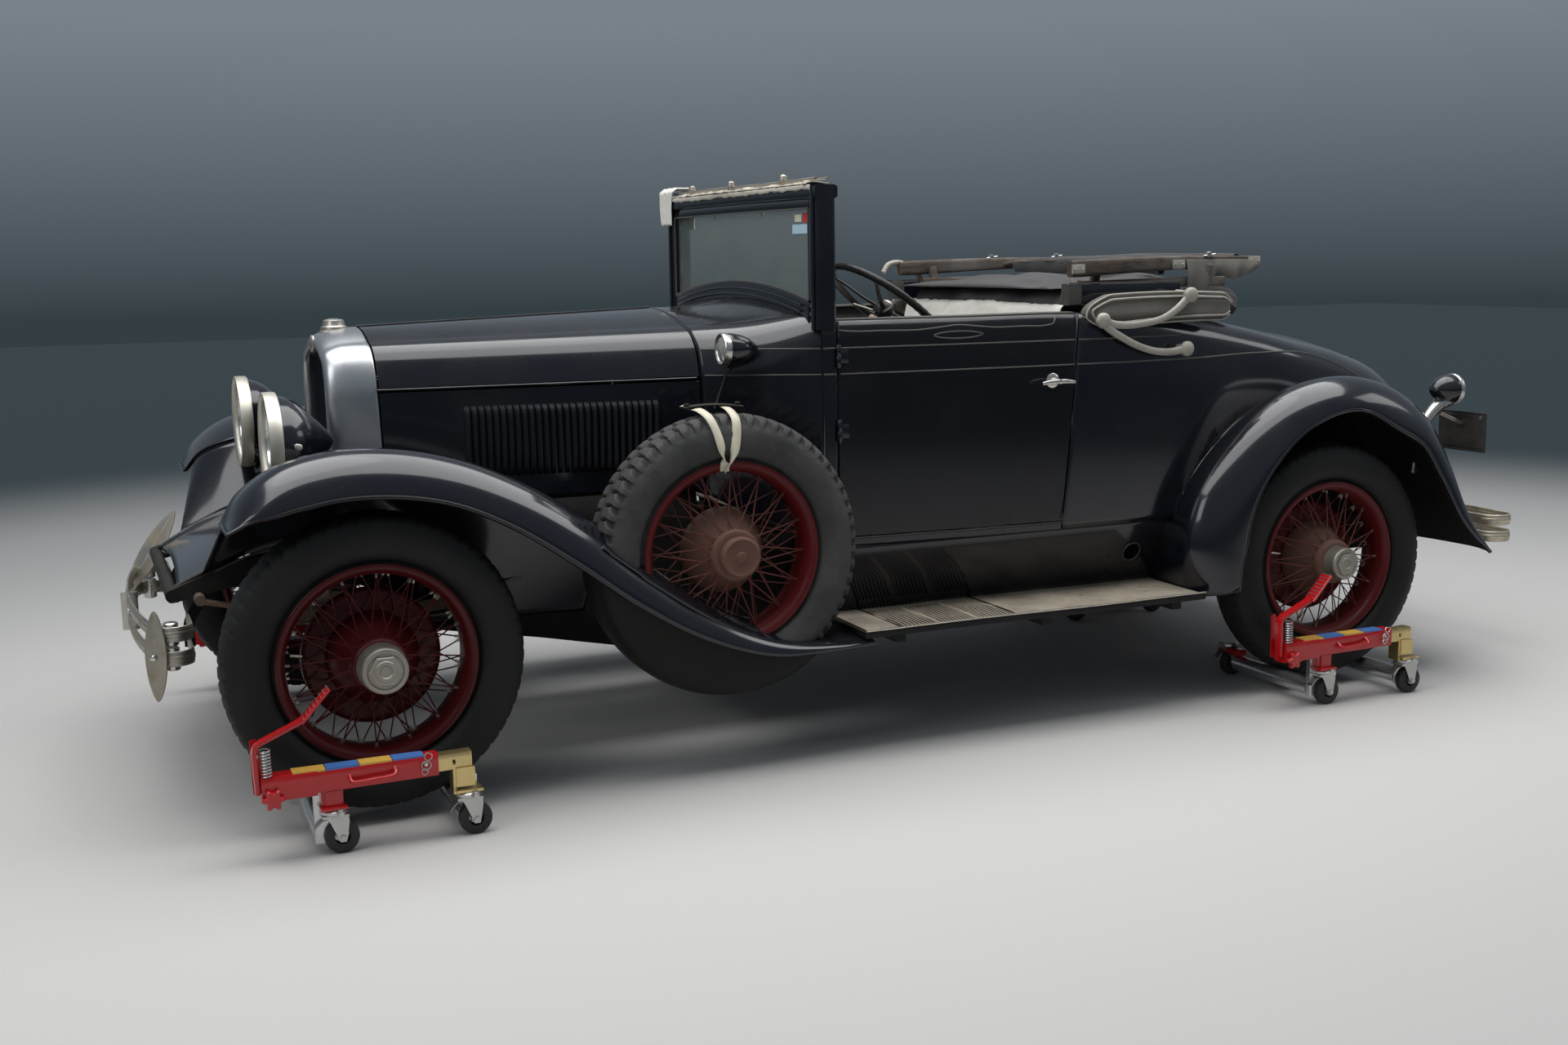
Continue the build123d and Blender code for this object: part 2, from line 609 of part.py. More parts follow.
def lid_hinges(tub, lid):
    x, z = LID_HINGE_X, lid_hinge_z()
    leaf = 28
    for sign, name in SIDES:
        near, middle, far = sign * 60, sign * 100, sign * 140
        tub -= rod((x, near - sign * 2, z), (x, middle, z), LID_HINGE_R + 2)
        lid -= rod((x, middle, z), (x, far + sign * 2, z), LID_HINGE_R + 2)
        lid += rod((x, near, z), (x, middle - sign * FIT, z), LID_HINGE_R)
        middle_y = (near + middle) / 2
        lid += bar((x, middle_y, z - 6), (x - leaf, middle_y, z - 6 + leaf * 0.3), 38, 12, (0, 1, 0))
        tub += rod((x, middle, z), (x, far, z), LID_HINGE_R)
        middle_y = (middle + far) / 2
        tub += bar((x + 3, middle_y, z - 8), (x + leaf, middle_y, z - 6 - leaf * 0.6), 38, 12, (0, 1, 0))
    return tub, lid


LID_FRONT_X = 3200
LID_REAR_X = 3900
LID_FRONT_Y = 350
LID_REAR_Y = 230


# Hinge barrels on the door pillar and the T handle on the door
HINGE_Z = (735, 985, 1215)
HINGE_X = DOOR_FRONT_X - GAP / 2


def pin_y():
    return row_at(TUB_ROWS, HINGE_X)[3] + 8


def door_hinges(tub, doors):
    y = pin_y()
    for sign, name in SIDES:
        for z in HINGE_Z:
            tub += rod((HINGE_X, sign * y, z - 35), (HINGE_X, sign * y, z - FIT), 8)
            tub += block(HINGE_X - 30, HINGE_X, sign * (y - 18), sign * (y - 3), z - 35, z - FIT)
            doors[name] += rod((HINGE_X, sign * y, z + FIT), (HINGE_X, sign * y, z + 35), 8)
            doors[name] += block(HINGE_X, HINGE_X + 30, sign * (y - 18), sign * (y - 3), z + FIT, z + 35)
    return tub


def door_handles(doors):
    x = DOOR_REAR_FOOT_X - 42
    z = 1112
    for sign, name in SIDES:
        y = sign * (row_at(TUB_ROWS, x)[3] - 6)
        doors[name] += rod((x, y, z), (x, y + sign * 52, z), 8)
        doors[name] += bar((x - 62, y + sign * 50, z), (x + 62, y + sign * 50, z), 15, 11)


# Windshield frame: posts, header and an arched foot that seats on the cowl
GLASS_X = 1394
GLASS_HALF = 576
GLASS_TOP_Z = 1660
GLASS_FOOT_Z = 1379
GLASS_CREST_Z = 1432


def windshield(cowl_outer, tub_outer):
    post_y = 656
    plate = block(GLASS_X - 14, GLASS_X + 14, -post_y, post_y, 1290, HEADER_Z - 12)
    opening = Face(Wire([
        Edge.make_three_point_arc((0, -GLASS_HALF, GLASS_FOOT_Z), (0, 0, GLASS_CREST_Z), (0, GLASS_HALF, GLASS_FOOT_Z)),
        Edge.make_line((0, GLASS_HALF, GLASS_FOOT_Z), (0, GLASS_HALF, GLASS_TOP_Z)),
        Edge.make_line((0, GLASS_HALF, GLASS_TOP_Z), (0, -GLASS_HALF, GLASS_TOP_Z)),
        Edge.make_line((0, -GLASS_HALF, GLASS_TOP_Z), (0, -GLASS_HALF, GLASS_FOOT_Z)),
    ]))
    window = Solid.extrude(opening, Vector(100, 0, 0))
    plate -= Pos(GLASS_X - 50, 0, 0) * window
    for sign, name in SIDES:
        plate += block(1378, 1446, sign * 594, sign * post_y, 1290, HEADER_Z)
    plate += block(1372, 1450, -post_y, post_y, HEADER_Z - 42, HEADER_Z)
    plate -= [cowl_outer, tub_outer]
    keep("windshield_frame", max(plate.solids(), key=lambda solid: solid.volume))
    pane = Solid.extrude(opening, Vector(5, 0, 0))
    inner = pane & block(-5, 10, -GLASS_HALF + FIT, GLASS_HALF - FIT, GLASS_FOOT_Z, GLASS_TOP_Z - FIT)
    keep("windshield_glass", Pos(GLASS_X - 2.5, 0, FIT) * inner)


def dashboard():
    x = DOOR_FRONT_X - GAP - 30
    half = row_at(TUB_ROWS, x)[3] - DOOR_WALL - FIT
    board = front_plate(((-half, 1070), (half, 1070), (half, 1290), (half - 60, 1318), (-half + 60, 1318), (-half, 1290)),
                        x, x + 24)
    keep("dashboard", board)


# Steering wheel on its column, car's left
STEER_CENTRE = (1778, -330, 1352)
STEER_LEAN = 52         # degrees of the column above the horizontal


def steering_column(radius):
    down = Vector(-cos(radians(STEER_LEAN)), 0, -sin(radians(STEER_LEAN)))
    return rod(STEER_CENTRE, Vector(*STEER_CENTRE) + down * 900, radius)


def steering_wheel():
    down = Vector(-cos(radians(STEER_LEAN)), 0, -sin(radians(STEER_LEAN)))
    rim_plane = Plane(origin=STEER_CENTRE, z_dir=-down)
    wheel = rim_plane * Torus(215, 12)
    hub = rim_plane * Pos(0, 0, -18) * Cylinder(34, 44)
    column = steering_column(21)
    box_y = RAIL_OUT_Y - RAIL_WIDTH - FIT
    column += block(1180, 1290, -box_y, -box_y + 90, 560, 660)
    for number in range(4):
        turn = radians(45 + 90 * number)
        tip = rim_plane.from_local_coords((210 * cos(turn), 210 * sin(turn), 0))
        root = rim_plane.from_local_coords((20 * cos(turn), 20 * sin(turn), -16))
        wheel += rod(root, tip, 7)
    keep("steering_wheel", wheel + hub + column)


def seats():
    cushion_profile = ((1760, SILL_Z + FIT), (1740, 900), (1762, 958), (2130, 940), (2250, 905), (2250, SILL_Z + FIT))
    keep("seat_cushion", side_plate(cushion_profile, -560, 560))
    back_profile = ((2262, SILL_Z + FIT), (2262, 905), (2320, 1270), (2350, 1318), (2395, 1326), (2445, 1300),
                    (2440, SILL_Z + FIT))
    keep("seat_back", side_plate(back_profile, -572, 572))


# Bullet headlamps on posts and a cross bar between the fenders
LAMP_X = -200
LAMP_Y = 375
LAMP_Z = 1017
LAMP_RADIUS = 146


def headlamps():
    r = LAMP_RADIUS
    profile = ((0, 0), (0, r - 14), (-8, r - 12), (-12, r - 5), (-8, r), (14, r), (18, r - 8), (70, r - 26), (110, r - 62),
               (145, 46), (170, 18), (178, 0))
    bar_x, bar_z, bar_r = LAMP_X + 55, 862, 16
    reach = apron_y(bar_x + 0.45 * bar_r, bar_z - 0.89 * bar_r) - FIT
    lamps = rod((bar_x, -reach, bar_z), (bar_x, reach, bar_z), bar_r)
    for sign, name in SIDES:
        centre = (LAMP_X, sign * LAMP_Y, LAMP_Z)
        shell = turned_x(profile, centre)
        shell -= turned_x(((-20, 0), (-20, r - 14), (12, r - 16), (50, r - 60), (62, 0)), centre)
        lamps += shell + rod((bar_x, sign * LAMP_Y, bar_z), (bar_x, sign * LAMP_Y, LAMP_Z - r + 40), 15)
        lens = ((-16, 0), (-10, r - 60), (-3, r - 16 - FIT), (4, r - 16 - FIT), (4, 0))
        keep("headlamp_lenses", turned_x(lens, centre))
    keep("headlamps", lamps)


def cowl_lamps(cowl_outer):
    x, y, z = 1108, 550, 1244
    profile = ((0, 0), (0, 38), (-6, 44), (4, 49), (16, 49), (60, 42), (100, 24), (118, 0))
    for sign, name in SIDES:
        lamp = turned_x(profile, (x, sign * y, z))
        lamp += rod((x + 46, sign * (y - 110), z - 66), (x + 46, sign * y, z - 20), 9)
        keep("cowl_lamps", lamp - cowl_outer)


# Fenders. Rows follow the crown line; drops are measured square to it.
FRONT_FENDER = (
    # x, crown z, inner y, drop at the inner edge, outer y, drop at the lip
    (-372, 840, 640, 3, 842, 3),
    (-325, 923, 575, 20, 858, 71),
    (-229, 990, 535, 48, 862, 105),
    (-103, 1021, 515, 62, 862, 112),
    (46, 1022, 510, 66, 862, 112),
    (241, 984, 512, 66, 862, 110),
    (419, 908, 515, 64, 862, 115),
    (603, 792, 518, 60, 862, 120),
    (792, 640, 522, 54, 862, 112),
    (965, 515, 526, 44, 862, 92),
    (1145, 423, 530, 28, 862, 61),
    (1333, 382, 532, 12, 862, 25),
    (1465, 372, 534, 5, 862, 10),
)
REAR_FENDER = (
    (2690, 372, 600, 6, 862, 129),
    (2668, 520, 600, 20, 862, 168),
    (2705, 690, 600, 40, 862, 165),
    (2850, 880, 600, 60, 862, 129),
    (3069, 1030, 585, 80, 862, 106),
    (3300, 1078, 545, 86, 862, 103),
    (3530, 1030, 490, 90, 862, 140),
    (3680, 925, 450, 84, 862, 125),
    (3778, 775, 420, 70, 862, 112),
    (3858, 600, 440, 40, 862, 80),
    (3954, 440, 480, 6, 852, 20),
)


def fender_sections(rows, thickness):
    sections = []
    for number, (x, z, in_y, in_drop, out_y, out_drop) in enumerate(rows):
        before = rows[max(number - 1, 0)]
        after = rows[min(number + 1, len(rows) - 1)]
        along = Vector(after[0] - before[0], 0, after[1] - before[1]).normalized()
        normal = Vector(-along.Z, 0, along.X)
        crown_y = out_y - 112
        middle_y = (in_y + crown_y) / 2

        def at(y, drop):
            return Vector(x, y, z) - normal * drop

        shoulder_y = out_y - 34
        shoulder_drop = out_drop * 0.36
        t = thickness
        sections.append(Wire([
            Edge.make_three_point_arc(at(in_y, in_drop), at(middle_y, in_drop * 0.22), at(crown_y, 0)),
            Edge.make_three_point_arc(at(crown_y, 0), at(shoulder_y, shoulder_drop), at(out_y, out_drop)),
            Edge.make_line(at(out_y, out_drop), at(out_y - t, out_drop + 1)),
            Edge.make_three_point_arc(at(out_y - t, out_drop + 1), at(shoulder_y - t, shoulder_drop + t), at(crown_y, t)),
            Edge.make_three_point_arc(at(crown_y, t), at(middle_y, in_drop * 0.22 + t), at(in_y, in_drop + t)),
            Edge.make_line(at(in_y, in_drop + t), at(in_y, in_drop)),
        ]))
    return sections


def fender(rows):
    return Solid.make_loft(fender_sections(rows, SHEET), ruled=True)


# The well in the front fender that the spare tyre sinks into
def fender_well(shell):
    radius = TYRE_RADIUS + 12
    y0 = SPARE_Y - TYRE_WIDTH / 2 - 14
    y1 = BOARD_OUT_Y - 8
    cup = Pos(SPARE_X, (y0 + y1) / 2, SPARE_Z) * Rot(90, 0, 0) * Cylinder(radius + SHEET, y1 - y0)
    space = Pos(SPARE_X, (y0 + y1) / 2, SPARE_Z) * Rot(90, 0, 0) * Cylinder(radius, y1 - y0 - 2 * SHEET)
    crown = [(row[0], row[1] - 14) for row in FRONT_FENDER[6:]]
    below = side_plate(crown + [(1465, 200), (crown[0][0], 200)], 600, 900)
    wall = (cup & below) - space
    return (shell - space).fuse(wall)


# The apron from the front fender's inner edge down to the rail, and its place at a height
APRON_FOOT_Y = RAIL_OUT_Y + FIT
APRON_FOOT_Z = 640


def apron_top_z(row):
    return row[1] - row[3] - 2


def apron_y(x, z):
    row = row_at(FRONT_FENDER, x)
    share = (z - APRON_FOOT_Z) / (apron_top_z(row) - APRON_FOOT_Z)
    return APRON_FOOT_Y + share * (row[2] - APRON_FOOT_Y)


def fenders(tub_outer):
    apron_rows = [row for row in FRONT_FENDER if -240 < row[0] < 700]
    strips = []
    for row in apron_rows:
        x, in_y = row[0], row[2]
        top_z = apron_top_z(row)
        strips.append(Wire.make_polygon([(x, in_y, top_z), (x, in_y + SHEET, top_z),
                                         (x, APRON_FOOT_Y + SHEET, APRON_FOOT_Z), (x, APRON_FOOT_Y, APRON_FOOT_Z)]))
    apron = Solid.make_loft(strips, ruled=True)
    front = fender_well(fender(FRONT_FENDER) + apron)
    keep("front_fenders", both(front))
    rear = fender(REAR_FENDER) - tub_outer
    keep("rear_fenders", both(max(rear.solids(), key=lambda solid: solid.volume)))


def running_boards():
    rear_x = REAR_FENDER[0][0] - 6
    front_x = FRONT_FENDER[-1][0] + FIT
    base_z = BOARD_Z - MAT_THICKNESS
    board = block(front_x, rear_x, BOARD_IN_Y, BOARD_OUT_Y, BOARD_Z - BOARD_THICKNESS, base_z)
    board += block(front_x + MAT_MARGIN, rear_x - MAT_MARGIN - 20, BOARD_IN_Y + MAT_INNER_STRIP, BOARD_OUT_Y - MAT_MARGIN,
                   base_z - 1, BOARD_Z)
    keep("running_boards", both(board))
    apron_foot = base_z + FIT
    profile = ((BOARD_IN_Y, apron_foot), (BOARD_IN_Y + SHEET, apron_foot), (640 + SHEET, FLOOR_Z - FIT), (640, FLOOR_Z - FIT))
    apron = front_plate(profile, FRONT_FENDER[-1][0] + FIT, REAR_FENDER[1][0] - FIT)
    hole = Pos(2560, 600, 511) * Rot(90, 0, 0) * Cylinder(33, 200)
    keep("running_board_aprons", both(apron - hole))


# Bumpers: two stacked spring bars with curled ends, and leaf-shaped uprights
def bumper_path(x_mid, x_end, half, loop_x, back_y, z):
    turn_x = (x_end + loop_x) / 2
    tip_y = half + abs(loop_x - x_end) / 2
    return [
        Edge.make_three_point_arc((x_end, -half, z), (x_mid, 0, z), (x_end, half, z)),
        Edge.make_three_point_arc((x_end, half, z), (turn_x, tip_y, z), (loop_x, half, z)),
        Edge.make_line((loop_x, half, z), (loop_x, back_y, z)),
    ]


def curled_bar(x_mid, x_end, half, loop_x, back_y, z, height):
    face_arc, curl, back = bumper_path(x_mid, x_end, half, loop_x, back_y, z)
    pieces = []
    for edge in (face_arc, curl, back):
        pieces.append(bent_bar(edge, 7, height))
    pieces += mirrored(pieces[1], pieces[2])
    whole = pieces[0]
    for piece in pieces[1:]:
        whole += piece
    return whole


def leaf_upright(x, y, z_mid, height, width):
    half = height / 2
    edges = [
        Edge.make_three_point_arc((x, y, z_mid - half), (x, y - width / 2, z_mid), (x, y, z_mid + half)),
        Edge.make_three_point_arc((x, y, z_mid + half), (x, y + width / 2, z_mid), (x, y, z_mid - half)),
    ]
    return Solid.extrude(Face(Wire(edges)), Vector(10, 0, 0))


def bumpers():
    plate_y = RAIL_OUT_Y - RAIL_WIDTH - FIT
    front = block(-596, -580, -25, 25, 445, 560)
    for z in (536, 468):
        front += curled_bar(-592, -548, 520, -452, plate_y - 4, z, 42)
    rear = None
    for z in (506, 444):
        layer = curled_bar(4262, 4222, 640, 4110, plate_y - 4, z, 40)
        rear = layer if rear is None else rear + layer
    for sign, name in SIDES:
        front += leaf_upright(-566, sign * 480, 500, 250, 70)
        arm = ((-300, 672), (-456, 560), (-456, 447), (-440, 447), (-420, 540), (-300, 640))
        front += side_plate(arm, sign * plate_y, sign * (plate_y - 10))
        arm = ((4014, 640), (4030, 640), (4114, 526), (4114, 424), (4098, 424), (4060, 520), (4014, 586))
        rear += side_plate(arm, sign * plate_y, sign * (plate_y - 10))
    keep("front_bumper", front)
    keep("rear_bumper", rear)


PLATE_BOLTS = 178       # spacing of the number plate's two bolts
PLATE_HOLE_RADIUS = 3.5


def tail_lamps():
    x, y, z = 3930, 620, 1000
    profile = ((0, 0), (0, 40), (-8, 50), (-22, 52), (-40, 48), (-80, 28), (-95, 0))
    fender_solids = NODES["rear_fenders"]
    for sign, name in SIDES:
        lamp = turned_x([(along, radius) for along, radius in profile], (x + 40, sign * y, z))
        lamp += bent_rod(((3780, sign * y, 700), (3845, sign * y, 905), (3935, sign * y, 960)), 40, 11)
        if name == "left":
            plate = block(4008, 4012, -y - 130, -y + 130, 800, 912)
            for bolt in (-PLATE_BOLTS / 2, PLATE_BOLTS / 2):
                plate -= rod((4000, -y + bolt, 895), (4020, -y + bolt, 895), PLATE_HOLE_RADIUS)
            lamp += plate
            lamp += rod((3870, -y, 925), (4009, -y, 870), 7)
        lamp = lamp - fender_solids
        keep("tail_lamps", max(lamp.solids(), key=lambda solid: solid.volume))


# Folded top: wood rails and bows, S-shaped irons, and the crumpled cloth on the deck
IRON_Y = 712
CLOTH_TOP_Z = 1390
IRON_PINS = ((2362, 1298), (2703, 1372), (2692, 1196))


def well_boards(tub):
    for sign, name in SIDES:
        profile = ((2292, DOOR_TOP_Z - 10), (2292, 1410), (2762, 1404), (2762, 1300))
        tub += side_plate(profile, sign * 622, sign * 640)
    return tub


def folded_top(tub_outer):
    rails = None
    for sign, name in SIDES:
        upper = bar((2308, sign * 600, 1462), (3140, sign * 505, 1478), 34, 42, (0, 1, 0))
        lower = block(2380, 2960, sign * 532, sign * 562, CLOTH_TOP_Z + FIT, CLOTH_TOP_Z + 36)
        links = [block(x, x + 30, sign * 540, sign * (604 - (x - 2308) * 0.114), 1400, 1470) for x in (2420, 2880)]
        side = upper + lower + links
        rails = side if rails is None else rails + side
        upper_link = bent_rod(((2362, sign * IRON_Y, 1305), (2440, sign * IRON_Y, 1282), (2600, sign * IRON_Y, 1300),
                               (2703, sign * IRON_Y, 1372)), 70, 9)
        lower_link = bent_rod(((2362, sign * IRON_Y, 1290), (2440, sign * IRON_Y, 1240), (2560, sign * IRON_Y, 1190),
                               (2692, sign * IRON_Y, 1196)), 60, 9)
        irons = upper_link + lower_link
        for x, z in IRON_PINS:
            irons += rod((x, sign * (640 + FIT), z), (x, sign * (IRON_Y + 16), z), 19)
        keep("top_irons", irons - tub_outer)
    for x, z, half in ((2760, 1470, 552), (2940, 1474, 532), (3110, 1478, 512)):
        rails += bent_rod(((x, -half, z), (x, -half + 120, z + 28), (x, half - 120, z + 28), (x, half, z)), 90, 15)
    keep("top_rails", rails)
    deck_x, tail_x = TUB_ROWS[3][0], 3040
    deck_z = row_at(TUB_ROWS, deck_x)[9] + FIT
    tail_z = row_at(TUB_ROWS, tail_x)[9] + FIT
    profile = ((2330, 1352), (2350, CLOTH_TOP_Z - 12), (2380, CLOTH_TOP_Z), (2960, CLOTH_TOP_Z), (3030, 1372), (3052, 1340),
               (tail_x, tail_z), (deck_x, deck_z), (2560, 1329), (2350, 1329))
    keep("top_fabric", side_plate(profile, -548, 548))


# Wheel dolly: outer beam with pedal lever, two roller tubes under the tyre, four casters
ROLLER_RADIUS = 28
ROLLER_X = 190
CASTER_RADIUS = 45
BEAM_FOOT_Z = 168
BRACKET_FOOT_Z = 160


def dolly_frame(x, side):
    beam_y = 965
    beam = block(x - 330, x + 100, beam_y - 27, beam_y + 27, BEAM_FOOT_Z, 232)
    bracket = block(x + 88, x + 196, beam_y - 33, beam_y + 33, BRACKET_FOOT_Z, 240)
    lever = bent_bar_side(((-335, 190), (-335, 290), (-168, 400), (-150, 440)), x, beam_y + 4)
    pieces = beam + lever + bracket
    return pieces if side > 0 else mirrored(pieces)


def bent_bar_side(points, x, y):
    path = FilletPolyline(*[(x + px, y, pz) for px, pz in points], radius=12)
    section_plane = Plane(origin=path @ 0, x_dir=(0, 1, 0), z_dir=path % 0)
    return sweep(section_plane * Rectangle(26, 14), path)


def dolly_gear(x, side):
    reach = TYRE_RADIUS + ROLLER_RADIUS + FIT
    roller_z = AXLE_Z - sqrt(reach ** 2 - ROLLER_X ** 2)
    inner_y, outer_y = 620, 945
    gear = None
    for offset in (-ROLLER_X, ROLLER_X):
        arm = rod((x + offset, inner_y - 60, roller_z), (x + offset, outer_y, roller_z), ROLLER_RADIUS)
        top_z = BEAM_FOOT_Z - FIT if offset < 0 else BRACKET_FOOT_Z - FIT
        arm += block(x + offset - 22, x + offset + 22, outer_y - 12, outer_y + 20, roller_z - 20, top_z)
        arm += block(x + offset - 22, x + offset + 22, 480, 580, roller_z + ROLLER_RADIUS - 8, 106)
        gear = arm if gear is None else gear + arm
    for cx, cy, stem in ((-165, 968, BEAM_FOOT_Z), (185, 975, BRACKET_FOOT_Z), (-190, 505, 0), (190, 505, 0)):
        wheel = rod((x + cx + 18, cy - 15, CASTER_RADIUS), (x + cx + 18, cy + 15, CASTER_RADIUS), CASTER_RADIUS)
        fork = block(x + cx - 22, x + cx + 30, cy - 24, cy - 19, 36, 112) + block(x + cx - 22, x + cx + 30, cy + 19, cy + 24, 36, 112)
        fork += block(x + cx - 32, x + cx + 34, cy - 30, cy + 30, 104, 112)
        fork += rod((x + cx + 18, cy - 26, CASTER_RADIUS), (x + cx + 18, cy + 26, CASTER_RADIUS), 6)
        if stem:
            fork += rod((x + cx, cy, 108), (x + cx, cy, stem - FIT), 14)
        gear += wheel + fork
    return gear if side > 0 else mirrored(gear)


def dollies():
    for side, name in SIDES:
        keep("dolly_frame_front_" + name, dolly_frame(0, side))
        keep("dolly_gear_front_" + name, dolly_gear(0, side))
        keep("rear_dolly_frames", dolly_frame(WHEELBASE, side))
        keep("rear_dolly_gear", dolly_gear(WHEELBASE, side))


def make_all():
    chassis_frame()
    leaf_springs()
    front_axle()
    right_knuckle = knuckle()
    keep("knuckle_right", right_knuckle)
    keep("knuckle_left", mirrored(right_knuckle))
    tie_rod()
    rear_axle()
    engine_block()
    exhaust()
    fuel_tank()
    wheels()
    keep("spare_wheels", both(spare_carriers()))
    radiator()
    bonnet()
    cowl_outer = cowl(steering_column(21 + FIT))
    tub_outer, tub, doors, lid = body_parts()
    tub = well_boards(door_hinges(tub, doors))
    tub, lid = lid_hinges(tub, lid)
    door_handles(doors)
    keep("body_tub", tub)
    keep("rumble_lid", lid)
    for name in doors:
        keep("door_" + name, doors[name])
    windshield(cowl_outer, tub_outer)
    dashboard()
    steering_wheel()
    seats()
    fenders(tub_outer)
    headlamps()
    cowl_lamps(cowl_outer)
    running_boards()
    bumpers()
    tail_lamps()
    folded_top(tub_outer)
    dollies()


# Save each node with X = 0 at the middle of the length
def save_all():
    os.makedirs("parts", exist_ok=True)
    everything = Compound([solid for solids in NODES.values() for solid in solids])
    limits = everything.bounding_box()
    middle_x = (limits.min.X + limits.max.X) / 2
    print("front axle at x", round(-middle_x, 3), "size", limits.size, "lowest", limits.min)
    for node, solids in NODES.items():
        export_step(Compound([Pos(-middle_x, 0, 0) * solid for solid in solids]), "parts/" + node + ".step")


make_all()
save_all()
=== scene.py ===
import bpy
import json
import math
import numpy as np
from numpy import array, clip, cos, exp, interp, linspace, pi, sin, sqrt, stack, vstack
from mathutils import Matrix, Vector

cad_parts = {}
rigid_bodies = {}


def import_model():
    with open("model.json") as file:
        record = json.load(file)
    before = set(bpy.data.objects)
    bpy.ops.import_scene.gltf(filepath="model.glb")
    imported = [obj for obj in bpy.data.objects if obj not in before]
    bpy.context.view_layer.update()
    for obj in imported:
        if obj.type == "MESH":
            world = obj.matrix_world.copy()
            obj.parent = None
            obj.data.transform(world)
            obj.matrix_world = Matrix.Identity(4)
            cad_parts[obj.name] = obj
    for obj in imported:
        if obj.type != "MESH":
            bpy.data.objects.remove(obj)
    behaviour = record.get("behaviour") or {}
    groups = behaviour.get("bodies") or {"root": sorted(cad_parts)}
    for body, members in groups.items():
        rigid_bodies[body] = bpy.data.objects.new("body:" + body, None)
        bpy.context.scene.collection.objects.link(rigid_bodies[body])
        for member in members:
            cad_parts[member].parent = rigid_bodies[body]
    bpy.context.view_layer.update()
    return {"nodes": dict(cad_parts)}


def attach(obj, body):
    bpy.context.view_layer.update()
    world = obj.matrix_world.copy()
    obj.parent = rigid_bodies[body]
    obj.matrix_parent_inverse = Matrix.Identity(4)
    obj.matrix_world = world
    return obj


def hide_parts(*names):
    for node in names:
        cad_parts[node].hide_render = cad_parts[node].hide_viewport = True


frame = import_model()
print("frame loaded:", len(frame["nodes"]), "nodes")

# Every size below is in millimetres: x rearward from the front axle, y to the car's right,
# z up from the floor.
car = {"axleX": -1834.75, "wheelbase": 3250, "wheelY": 735, "axleZ": 450, "tyreRadius": 410,
       "spare": (1028, 750, 664)}


def gridFaces(rows, columns, loopRows=False, loopColumns=False):
    index = np.arange(rows * columns).reshape(rows, columns)
    index = vstack([index, index[:1]]) if loopRows else index
    index = np.hstack([index, index[:, :1]]) if loopColumns else index
    corners = (index[:-1, :-1], index[1:, :-1], index[1:, 1:], index[:-1, 1:])
    return stack(corners, -1).reshape(-1, 4).tolist()


# A patch is (points, faces); this one is any grid of points, rows by columns by 3
def sheetPatch(grid, loopRows=False, loopColumns=False, flip=False):
    faces = gridFaces(grid.shape[0], grid.shape[1], loopRows, loopColumns)
    return grid.reshape(-1, 3), [face[::-1] for face in faces] if flip else faces


def joined(patches):
    points, faces, start = [], [], 0
    for patchPoints, patchFaces in patches:
        points.append(patchPoints)
        faces += [[start + corner for corner in face] for face in patchFaces]
        start += len(patchPoints)
    return vstack(points), faces


def mirroredPatch(patch):
    points, faces = patch
    return points * (1, -1, 1), [face[::-1] for face in faces]


def bothSides(patch):
    return joined([patch, mirroredPatch(patch)])


# Smooth curve through points: cubic Hermite pieces whose slopes are finite differences over the chord length
def curveThrough(points, count, loop=False):
    points = np.asarray(points, float)
    if loop:
        points = vstack([points[-1:], points, points[:2]])
    chord = np.r_[0, np.cumsum(np.linalg.norm(np.diff(points, axis=0), axis=1))]
    slopes = np.gradient(points, chord, axis=0)
    low, high = (chord[1], chord[-2]) if loop else (0, chord[-1])
    at = linspace(low, high, count, endpoint=not loop)
    k = clip(np.searchsorted(chord, at, side="right") - 1, 0, len(points) - 2)
    h = (chord[k + 1] - chord[k])[:, None]
    t = ((at - chord[k])[:, None]) / h
    a, b = points[k], points[k + 1]
    return ((1 + 2 * t) * (1 - t) ** 2 * a + t * (1 - t) ** 2 * h * slopes[k] + t * t * (3 - 2 * t) * b
            + t * t * (t - 1) * h * slopes[k + 1])


def unit(v):
    return v / np.maximum(np.linalg.norm(v, axis=-1, keepdims=True), 1e-9)


# The two directions square to a path: 'side' is level for up = Z
def pathFrame(path, up=(0, 0, 1), loop=False):
    if loop:
        along = unit(np.roll(path, -1, 0) - np.roll(path, 1, 0))
    else:
        along = unit(np.gradient(path, axis=0))
    side = unit(np.cross(along, np.broadcast_to(up, path.shape)))
    return side, unit(np.cross(side, along))


# A profile (side, top) carried along a path: point = path + side * profile[0] + top * profile[1]
def sweptPatch(path, profile, up=(0, 0, 1), scale=None, loop=False):
    path = np.asarray(path, float)
    side, top = pathFrame(path, up, loop)
    size = np.ones(len(path)) if scale is None else np.asarray(scale, float)
    section = profile[None] * size[:, None, None]
    grid = path[:, None] + side[:, None] * section[..., :1] + top[:, None] * section[..., 1:]
    points, faces = sheetPatch(grid, loop, True)
    return points, faces if loop else faces + endFaces(len(points), len(profile))


# The faces that close the first and last ring of a tube of 'total' points
def endFaces(total, ring):
    return [list(range(ring)), list(range(total - ring, total))[::-1]]


def ringTurns(sides):
    return linspace(0, 2 * pi, sides, endpoint=False)


# Rounded rectangle: the superellipse |x/a|^n + |y/b|^n = 1
def roundedProfile(width, height, power, sides):
    turn = ringTurns(sides) + pi / sides
    c, s = cos(turn), sin(turn)
    reach = (np.abs(c) ** power + np.abs(s) ** power) ** (-1 / power)
    return stack([width / 2 * reach * c, height / 2 * reach * s], 1)


def barPatch(path, section, up=(0, 0, 1), scale=None):
    return sweptPatch(path, roundedProfile(*section), up, scale)


